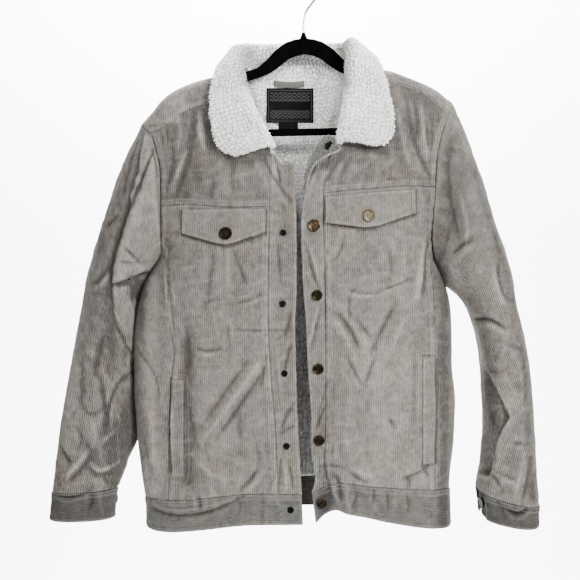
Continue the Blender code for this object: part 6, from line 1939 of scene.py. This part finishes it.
def collar_points(t, across):
    """Pile side of the collar at places along it, and at shares of the way from neck seam to edge."""
    index = np.arange(len(COLLAR["neck_x"]), dtype=float)
    result = np.zeros((len(t), len(across), 3))
    for k, place in enumerate(t):
        neck, roll, edge = (
            np.array([float(smooth(index, COLLAR[f"{line}_{axis}"], place)) for axis in "xyz"])
            for line in ("neck", "roll", "edge")
        )
        up = unit(roll - neck)
        out = unit(edge - roll - up * np.dot(edge - roll, up))
        centre = roll + out * ROLL_RADIUS
        ahead, above = np.dot(edge - centre, out), np.dot(edge - centre, up)
        turn = math.acos(-ROLL_RADIUS / math.hypot(ahead, above)) - math.atan2(above, ahead)
        arc = [centre + (up * math.sin(a) - out * math.cos(a)) * ROLL_RADIUS for a in np.linspace(0, turn, 14)]
        path = np.array([neck, *arc, arc[-1] * 0.5 + edge * 0.5, edge])
        run = np.concatenate([[0], np.cumsum(np.linalg.norm(np.diff(path, axis=0), axis=-1))])
        from_end = 25.0 * min(place, index[-1] - place)
        cut = CORNER_RADIUS - math.sqrt(CORNER_RADIUS**2 - max(CORNER_RADIUS - from_end, 0.0) ** 2)
        for axis in range(3):
            result[k, :, axis] = np.interp(across * (run[-1] - cut), run, path[:, axis])
    return result


def pile_curls(name, points, outward, tones, count, seed, material):
    """Small curls of yarn that stand on a pile surface."""
    rows, columns = points.shape[:2]
    chance = [hashed(np.arange(count), np.full(count, k), seed) for k in range(5)]
    row, column = chance[0] * (rows - 2), chance[1] * (columns - 2)
    i, j = row.astype(int), column.astype(int)
    a, b = (row - i)[:, None], (column - j)[:, None]
    foot = points[i, j] * (1 - a - b) + points[i + 1, j] * a + points[i, j + 1] * b
    normal, along = outward[i, j], unit(points[i + 1, j] - points[i, j])
    turn = (2 * math.pi * chance[2])[:, None]
    lean = along * np.cos(turn) + np.cross(normal, along) * np.sin(turn)
    length = (1.9 + 1.6 * chance[3])[:, None]
    wide, low = np.cross(lean, normal) * 0.55, foot - normal * 0.5
    bend = foot + lean * length * 0.35 + normal * length * 0.62
    tip = foot + lean * length * 0.95 + normal * length * 0.4
    verts = np.stack([low - wide, low + wide, bend - wide, bend + wide, tip], axis=1).reshape(-1, 3)
    faces = (np.arange(count)[:, None, None] * 5 + np.array([(0, 1, 3), (0, 3, 2), (2, 3, 4)])).reshape(-1, 3)
    # Curls take the painted shade of the surface at their foot, with a random tone of their own.
    tone = np.repeat(tones[i, j] - 0.03 + 0.12 * chance[4], 5)
    mesh_object(name, verts, faces, verts[:, ::2] * MM, tone, material, "sherpa_pile")


def pile_grid(points, outward, nub, turn_in, sides, seed, height=1.5):
    """Grid of a pile surface whose edges roll under, with nubs on it, and rough outward directions."""
    normals = grid_normals(points, outward)
    s, t = arcs(points, 1), np.mean(arcs(points, 0), axis=1, keepdims=True)
    s = s - s[:, -1:] / 2
    uv = np.stack([s, t + 0 * s], axis=-1) * MM
    rolled, uv, _ = tucked(points, normals, uv, np.zeros(s.shape), turn_in, sides)
    s, t = uv[..., 0] / MM, uv[..., 1] / MM
    normals = grid_normals(rolled, np.pad(normals, (*margins(turn_in, sides), (0, 0)), mode="edge"))
    bump, tone = nubs(s + 1.3 * soft_noise(s, t, 5, seed + 5), t + 1.3 * soft_noise(t, s, 5, seed + 6), nub, seed)
    small, _ = nubs(s, t, nub * 0.45, seed + 9)
    relief = height * (bump - 0.6) + 0.3 * height * (small - 0.5) + 1.2 * soft_noise(s, t, 26, seed + 3)
    # The shade is painted shade in the cracks between the nubs, with each nub's own tone.
    shade = -0.08 + 0.64 * bump + 0.1 * small + 0.14 * (tone - 0.5)
    return rolled + normals * relief[..., None], uv, shade, normals


def darker(tone, share):
    """Tone of pile that gets only a share of the light."""
    return 0.5 + ((1 + (tone - 0.5) * PILE_CONTRAST) * share - 1) / PILE_CONTRAST


class JACKET_OT_pile(bpy.types.Operator):
    """Make the collar, the turned-back corner and the linings"""

    bl_idname = "jacket.pile"
    bl_label = "Pile"

    def execute(self, context):
        nub = sizes().nub
        along, across = (np.linspace(0, end, count) for end, count in zip((len(COLLAR["neck_x"]) - 1, 1), COLLAR_GRID))
        base = collar_points(along, across)
        outward = unit(np.cross(np.gradient(base, axis=0), np.gradient(base, axis=1)))
        points, uv, tone, normals = pile_grid(base, outward, nub, PILE_EDGE, (True, True, False, True), 201)
        facing = grid_normals(points, normals)
        x, y, z = (points[..., k] for k in range(3))
        # Painted shade on the inside of the collar's stand and beside the collar's leaves.
        inward = step_between(-0.05, 0.5, -np.sign(x) * facing[..., 0]) * step_between(-205, -175, z)
        stand = step_between(-30, -5, y) * (1 - step_between(36, 42, y))
        tone = darker(tone, 1 - np.maximum(0.62 * inward, stand * shade_along(SHADES["neck"], x, z)))
        piece = grid_mesh("collar_top", [(points, uv, tone)], "pile", "sherpa_pile")
        pile_curls("collar_curls", points, facing, tone, COLLAR_CURLS, 205, "pile")
        declare(piece, "collar_top")
        self.under_collar(base[::3, ::3], outward[::3, ::3])
        self.corner(nub * 0.7)
        self.back_lining(nub)
        for side in SIDES:
            self.front_lining(side, nub * 1.6)
        return {"FINISHED"}

    def under_collar(self, points, outward):
        """Corduroy side of the collar."""
        normals = grid_normals(points, outward)
        cloth = Cloth("collar_under", points - normals * COLLAR_THICKNESS, -normals, "rows", seed=121)
        cloth.seams("edge", "edge", "plain", "edge")
        cloth.add("corduroy", "corduroy", held="folded", rests=["back_yoke"], turn_in=UNDER_COLLAR_EDGE)

    def corner(self, nub):
        """Top corner of the right front, turned back so that its pile shows."""
        z = np.linspace(CORNER["z"][0], CORNER["z"][-1], 62)
        fold, free = read(CORNER, "fold", "z", z), read(CORNER, "free", "z", z)
        u = np.linspace(0, 1, 40)
        x = fold[:, None] + (free - fold)[:, None] * u[None, :]
        lift = 6.2 + 1.6 * np.sin(math.pi * u)[None, :] * step_between(-340, -300, z)[:, None]
        points = front_patch(x, z[:, None] + 0 * x, lift)
        *grid, _ = pile_grid(points, FRONT, nub, CORNER_EDGE, ALL_SIDES, 231, 0.8)
        self.binding(free, z)
        piece = grid_mesh("turned_corner_right", [grid], "shaded corner pile", "sherpa_pile")
        declare(piece, "turned_corner_right")

    def binding(self, x, z):
        """Stitched edge that rolls forward round the turned-back corner."""
        spine = front_patch(np.stack([x, x + 1], axis=1), np.stack([z, z], axis=1), 7.6)
        side = unit(np.gradient(spine[:, 0], axis=0))
        normal = unit(np.cross(side, unit(spine[:, 1] - spine[:, 0])))
        normal = normal * np.sign(-normal[:, 1:2])
        across = unit(np.cross(side, normal))
        turn = np.linspace(-0.3, math.pi + 0.3, 9)[None, :, None]
        points = spine[:, :1] + across[:, None] * (1.5 * np.cos(turn)) + normal[:, None] * (1.5 * np.sin(turn))
        # The binding's light tone is a painted highlight along its rolled edge.
        tone = 0.72 + 0.12 * soft_noise(points[..., 2], points[..., 0], 3, 9)
        grid_mesh("corner_binding", [(points, points[..., ::2] * MM, tone)], "corduroy", "corduroy")

    def lining(self, name, face, points, nub, turn_in, seed, height, light, flat, rest):
        """A lining's pile, held inside the cloth of its face of the body; light gives its painted shade by x and depth.
        """
        points, uv, tone, _ = pile_grid(points, -OUTWARD[face], nub, turn_in, ALL_SIDES, seed, height)
        x, z, out = points[..., 0], points[..., 2], OUTWARD[face][1]
        for share in light(x, -z):
            tone = darker(tone, share)
        cloth = body_at(face, x, z)[..., 1] + out * creased(face, x, z)
        points[..., 1] = out * np.minimum(out * points[..., 1], out * cloth - LINING_GAP)
        piece = grid_mesh(name, [(points, uv, tone)], "lining pile", "sherpa_pile")
        declare(piece, name)

    def back_lining(self, nub):
        """Lining of the back, finer where the neck and the open front show it."""
        across = np.concatenate([np.linspace(-214, -100, 30), np.linspace(-98, 80, 128), np.linspace(84, 194, 28)])
        rise = np.concatenate([np.linspace(-800, -345, 120), np.linspace(-343, -150, 140)])

        def top(x):
            inside = (x > COLLAR["neck_x"][5]) & (x < COLLAR["neck_x"][11])
            return np.where(inside, neck_level(x) + 4.0, read(RIDGE, "z", "x", x) - 14.0)

        def light(x, down):
            share = 1.0
            for depth, start, end in BACK_LINING_SHADE:
                share = share - depth * step_between(start, end, down)
            return share, 1 - shade_along(SHADES["neck"], x, -down)

        borders = (edge_then_armhole(side, BACK_SEAM[side], 9) for side in SIDES)
        x, z = spread(z_by_x(BACK_HEM_SEAM), top, *borders, (rise + 800) / 650, (across + 214) / 408)
        points = body_at("back", x, z)
        points = points - grid_normals(points, BACK) * (-LINING_AT + SHERPA)
        flat = (440.0, 660.0)
        self.lining("lining_back", "back", points, nub, BACK_LINING_EDGE, 241, 1.3, light, flat, "back_panel")

    def front_lining(self, side, nub):
        """Lining of one front."""
        edge, neck = x_by_z(FRONT_EDGE[side]), x_by_z(YOKE_INNER[side])
        strap = z_by_x(STRAP_SEAM[side])
        edge_top = FRONT_EDGE[side]["z"][-1]

        def inner(z):
            share = step_between(edge_top - 20, edge_top + 40, z)
            return (edge(z) + SIGN[side] * 1.0) * (1 - share) + neck(z) * share

        u, v = (stations(length, LINING_STEP, (False, False)) for length in (200, 600))
        depth, start, end = FRONT_LINING_SHADE
        outer = edge_then_armhole(side, PANEL_SEAM[side], 5)
        x, z = spread(z_by_x(HEM_SEAM[side]), lambda at: strap(at) - 9.0, inner, outer, v, u)
        points = body_at("front", x, z)
        inside = creased("front", x, z) * 0.8 + LINING_AT - SHERPA
        points = points + grid_normals(points, FRONT) * inside[..., None]
        light, flat = lambda _, down: [1 - depth * step_between(start, end, down)], (215.0, 640.0)
        name, rest = f"lining_{side}", f"front_panel_{side}"
        self.lining(name, "front", points, nub, FRONT_LINING_EDGE, 251, 1.0, light, flat, rest)


def lathe(node, profile, radius, place, normal, material, slot_name):
    """A turned snap part with its axis along a normal, in place of its solid."""
    share, height = np.array(profile).T
    radius = np.maximum(share * radius, 0.01)
    angle = np.linspace(0, 2 * math.pi, 57)
    ring = (radius[:, None] * np.cos(angle), radius[:, None] * np.sin(angle), height[:, None] + 0 * angle)
    points = np.stack(ring, axis=-1)
    out = unit(normal)
    side = unit(np.cross(np.array([0.0, 0.0, 1.0]), out))
    above = np.cross(out, side)
    world = place + points[..., :1] * side + points[..., 1:2] * above + points[..., 2:] * out
    grid = (world, points[..., :2] * MM, np.full(points.shape[:2], 0.5))
    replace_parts(grid_mesh(node, [grid], material, slot_name), node)


class JACKET_OT_snaps(bpy.types.Operator):
    """Make the snap caps and sockets"""

    bl_idname = "jacket.snaps"
    bl_label = "Snaps"

    def execute(self, context):
        for i, (z, x) in enumerate(zip(*SNAPS["right"].values()), start=1):
            self.place(f"snap_cap_{i}", CAP, x, z, *(FIRST_CAP if i == 1 else OTHER_CAPS))
        for i, (z, x) in enumerate(zip(*SNAPS["left"].values()), start=1):
            self.place(f"snap_socket_{i}", SOCKET, x, z, *SOCKETS)
        for side, look in FLAP_CAPS.items():
            self.place(f"flap_snap_{side}", CAP, *FLAP_SNAP[side], *look)
        self.place("snap_socket_top", CAP, *TOP_SNAP, *TOP_SOCKET, lean=TOP_LEAN)
        for side in SIDES:
            node = f"cuff_snap_{side}"
            low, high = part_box(node)
            middle, out = (np.array(low) + np.array(high)) / 2 / MM, self.facing(node)
            radius, sunk, *look = CUFF_CAP
            lathe(node, CAP, radius, middle - unit(out) * sunk, out, *look)
        return {"FINISHED"}

    def facing(self, node):
        """Outward direction of a snap's solid: its thin way, away from the middle of the sleeve."""
        places = np.array([polygon.center for polygon in NODES[node].data.polygons])
        middle = places.mean(axis=0)
        axis = np.linalg.svd(places - middle, full_matrices=False)[2][-1]
        inward = np.array([0.33 * np.sign(middle[0]) - middle[0], -middle[1], 0.0])
        return -axis if np.dot(axis, inward) > 0 else axis

    def place(self, node, profile, x, z, radius, lift, material, slot_name, lean=(0.0, 0.0, 0.0)):
        """A turned part on the front, tilted a little its own way."""
        x_grid, z_grid = x + np.array([[-1, 0, 1]] * 3), z + np.array([[-1] * 3, [0] * 3, [1] * 3])
        spot = front_patch(x_grid, z_grid, lift + 0 * x_grid)[1, 1]
        normal = grid_normals(body_at("front", x_grid, z_grid), FRONT)[1, 1]
        tilt = unit(normal + np.array([0.04 * math.sin(z), 0.0, 0.05 * math.cos(z * 1.7)]) + np.array(lean))
        lathe(node, profile, radius, spot, tilt, material, slot_name)


class JACKET_OT_neck_trims(bpy.types.Operator):
    """Make the neck label, its tab and the hanging loop"""

    bl_idname = "jacket.neck_trims"
    bl_label = "Neck trims"

    def execute(self, context):
        for node, place in LABELS.items():
            self.patch(node, *place)
        self.loop()
        return {"FINISHED"}

    def surface(self, x, z, lift):
        """Places at a height over the back lining."""
        base = body_at("back", x, z)
        return base - grid_normals(base, BACK) * (-LINING_AT + SHERPA + lift)[..., None]

    def patch(self, node, span_x, span_z, lift, material, count):
        """A woven rectangle on the lining, with edges that wander a little."""
        x, z = np.meshgrid(np.linspace(*span_x, count), np.linspace(*span_z, max(int(count * 0.7), 8)))
        edge_u = np.minimum(x - span_x[0], span_x[1] - x)
        edge_v = np.minimum(z - span_z[0], span_z[1] - z)
        wavy = 0.5 * soft_noise(x, z, 9, 301)
        x = x + 0.25 * soft_noise(z * 3, x * 0, 3, 303) * (edge_u < 2)
        z = z + 0.25 * soft_noise(x * 3, z * 0, 3, 304) * (edge_v < 2)
        points = self.surface(x, z, lift + wavy)
        uv = np.stack([x - sum(span_x) / 2, z - sum(span_z) / 2], axis=-1) * MM
        grid = tucked(points, grid_normals(points, FRONT), uv, np.full(x.shape, 0.5), LABEL_EDGE)
        piece = grid_mesh(node, [grid], material, "black_woven")
        declare(piece, node)

    def loop(self):
        """Strap that bows away from the lining between its sewn ends."""
        u, v = np.linspace(0, 1, 60)[None, :], np.linspace(0, 1, 16)[:, None]
        x = -47.0 + 50.0 * u + 0 * v
        bow, curl = 5.0 * np.sin(math.pi * u) ** 0.7 + 0 * v, 1.2 * (2 * v - 1) ** 2
        z = -164.0 + 9.0 * v - 2.0 * np.sin(math.pi * u) - 2.0 * (u - 0.5) ** 2
        points = self.surface(x, z, 1.6 + bow - curl)
        uv = np.stack([50.0 * u + 0 * x, 9.0 * v + 0 * x], axis=-1) * MM
        grid = tucked(points, grid_normals(points, FRONT), uv, 0.5 + 0 * x, LOOP_EDGE)
        piece = grid_mesh("hanging_loop", [grid], "grey tape", "grey_tape")
        declare(piece, "hanging_loop")


class JACKET_OT_hanger(bpy.types.Operator):
    """Finish the hanger, its neck and its hook"""

    bl_idname = "jacket.hanger"
    bl_label = "Hanger"

    def execute(self, context):
        for node, (material, rounding) in HANGER_LOOKS.items():
            piece = NODES[node]
            piece.data.materials.clear()
            piece.data.materials.append(MATERIALS[material])
            soft = piece.modifiers.new("Soft edge", "BEVEL")
            soft.width, soft.segments = rounding, 3
            soft.limit_method, soft.angle_limit = "ANGLE", math.radians(50)
        return {"FINISHED"}


class JACKET_OT_stage(bpy.types.Operator):
    """Make the floor, the backdrop, the lights and the camera"""

    bl_idname = "jacket.stage"
    bl_label = "Stage"

    def execute(self, context):
        scene = context.scene
        bend = [
            (BACKDROP_Y + BEND_RADIUS * math.sin(a), FLOOR_Z + BEND_RADIUS * (1 - math.cos(a)))
            for a in np.linspace(0.1, math.pi / 2, 14)
        ]
        profile = [(-3.5, FLOOR_Z), (BACKDROP_Y, FLOOR_Z), *bend, (3.0, 3.6)]
        points = np.array([[(x, y, z) for x in (-5.0, 5.0)] for y, z in profile]) / MM
        floor = grid_mesh("floor", [(points, points[..., :2] * MM, np.full(points.shape[:2], 0.5))], "stage")
        scene.world = bpy.data.worlds.new("Studio")
        scene.world.use_nodes = True
        background = scene.world.node_tree.nodes["Background"].inputs
        background["Color"].default_value = (1.0, 1.0, 1.0, 1.0)
        background["Strength"].default_value = WORLD_STRENGTH
        for name, (place, target, size, power, spread_angle) in LIGHTS.items():
            self.light(name, place, target, size, power, spread_angle)
        camera_data = bpy.data.cameras.new("Camera")
        camera_data.lens, camera_data.sensor_width = LENS, SENSOR
        camera = bpy.data.objects.new("Camera", camera_data)
        camera.location = CAMERA_PLACE
        camera.rotation_euler = (math.pi / 2, 0.0, 0.0)
        scene.collection.objects.link(camera)
        scene.camera = camera
        return {"FINISHED"}

    def light(self, name, place, target, size, power, spread_angle):
        """A round area light aimed at a target."""
        data = bpy.data.lights.new(name, "AREA")
        data.shape = "DISK"
        data.size, data.energy, data.spread = size, power, math.radians(spread_angle)
        lamp = bpy.data.objects.new(name, data)
        ahead = np.array(target) - np.array(place)
        yaw, pitch = math.atan2(ahead[0], ahead[1]), math.atan2(ahead[2], math.hypot(ahead[0], ahead[1]))
        lamp.location = place
        lamp.rotation_euler = (math.pi / 2 + pitch, 0.0, -yaw)
        bpy.context.scene.collection.objects.link(lamp)


class JACKET_PT_panel(bpy.types.Panel):
    """Sidebar panel that lists the steps"""

    bl_label = "Jacket"
    bl_idname = "JACKET_PT_panel"
    bl_space_type = "VIEW_3D"
    bl_region_type = "UI"
    bl_category = "Jacket"

    def draw(self, context):
        for name in ("spacing", "wale", "crease", "nub"):
            self.layout.prop(context.scene.jacket_sizes, name)
        for name in ("rib", "well", "pile"):
            self.layout.prop(context.scene.jacket_colours, name)
        for operator in STEPS:
            self.layout.operator(operator.bl_idname)


STEPS = (
    JACKET_OT_materials,
    JACKET_OT_fronts,
    JACKET_OT_sides_and_back,
    JACKET_OT_sleeves,
    JACKET_OT_bands,
    JACKET_OT_pockets,
    JACKET_OT_pile,
    JACKET_OT_snaps,
    JACKET_OT_neck_trims,
    JACKET_OT_hanger,
    JACKET_OT_stage,
)
CLASSES = (JacketSizes, JacketColours, *STEPS, JACKET_PT_panel)


def register():
    for item in CLASSES:
        bpy.utils.register_class(item)
    bpy.types.Scene.jacket_sizes = bpy.props.PointerProperty(type=JacketSizes)
    bpy.types.Scene.jacket_colours = bpy.props.PointerProperty(type=JacketColours)


def unregister():
    del bpy.types.Scene.jacket_colours
    del bpy.types.Scene.jacket_sizes
    for item in reversed(CLASSES):
        bpy.utils.unregister_class(item)


def main():
    register()
    for operator in STEPS:
        group, name = operator.bl_idname.split(".")
        getattr(getattr(bpy.ops, group), name)()


if __name__ == "__main__":
    main()
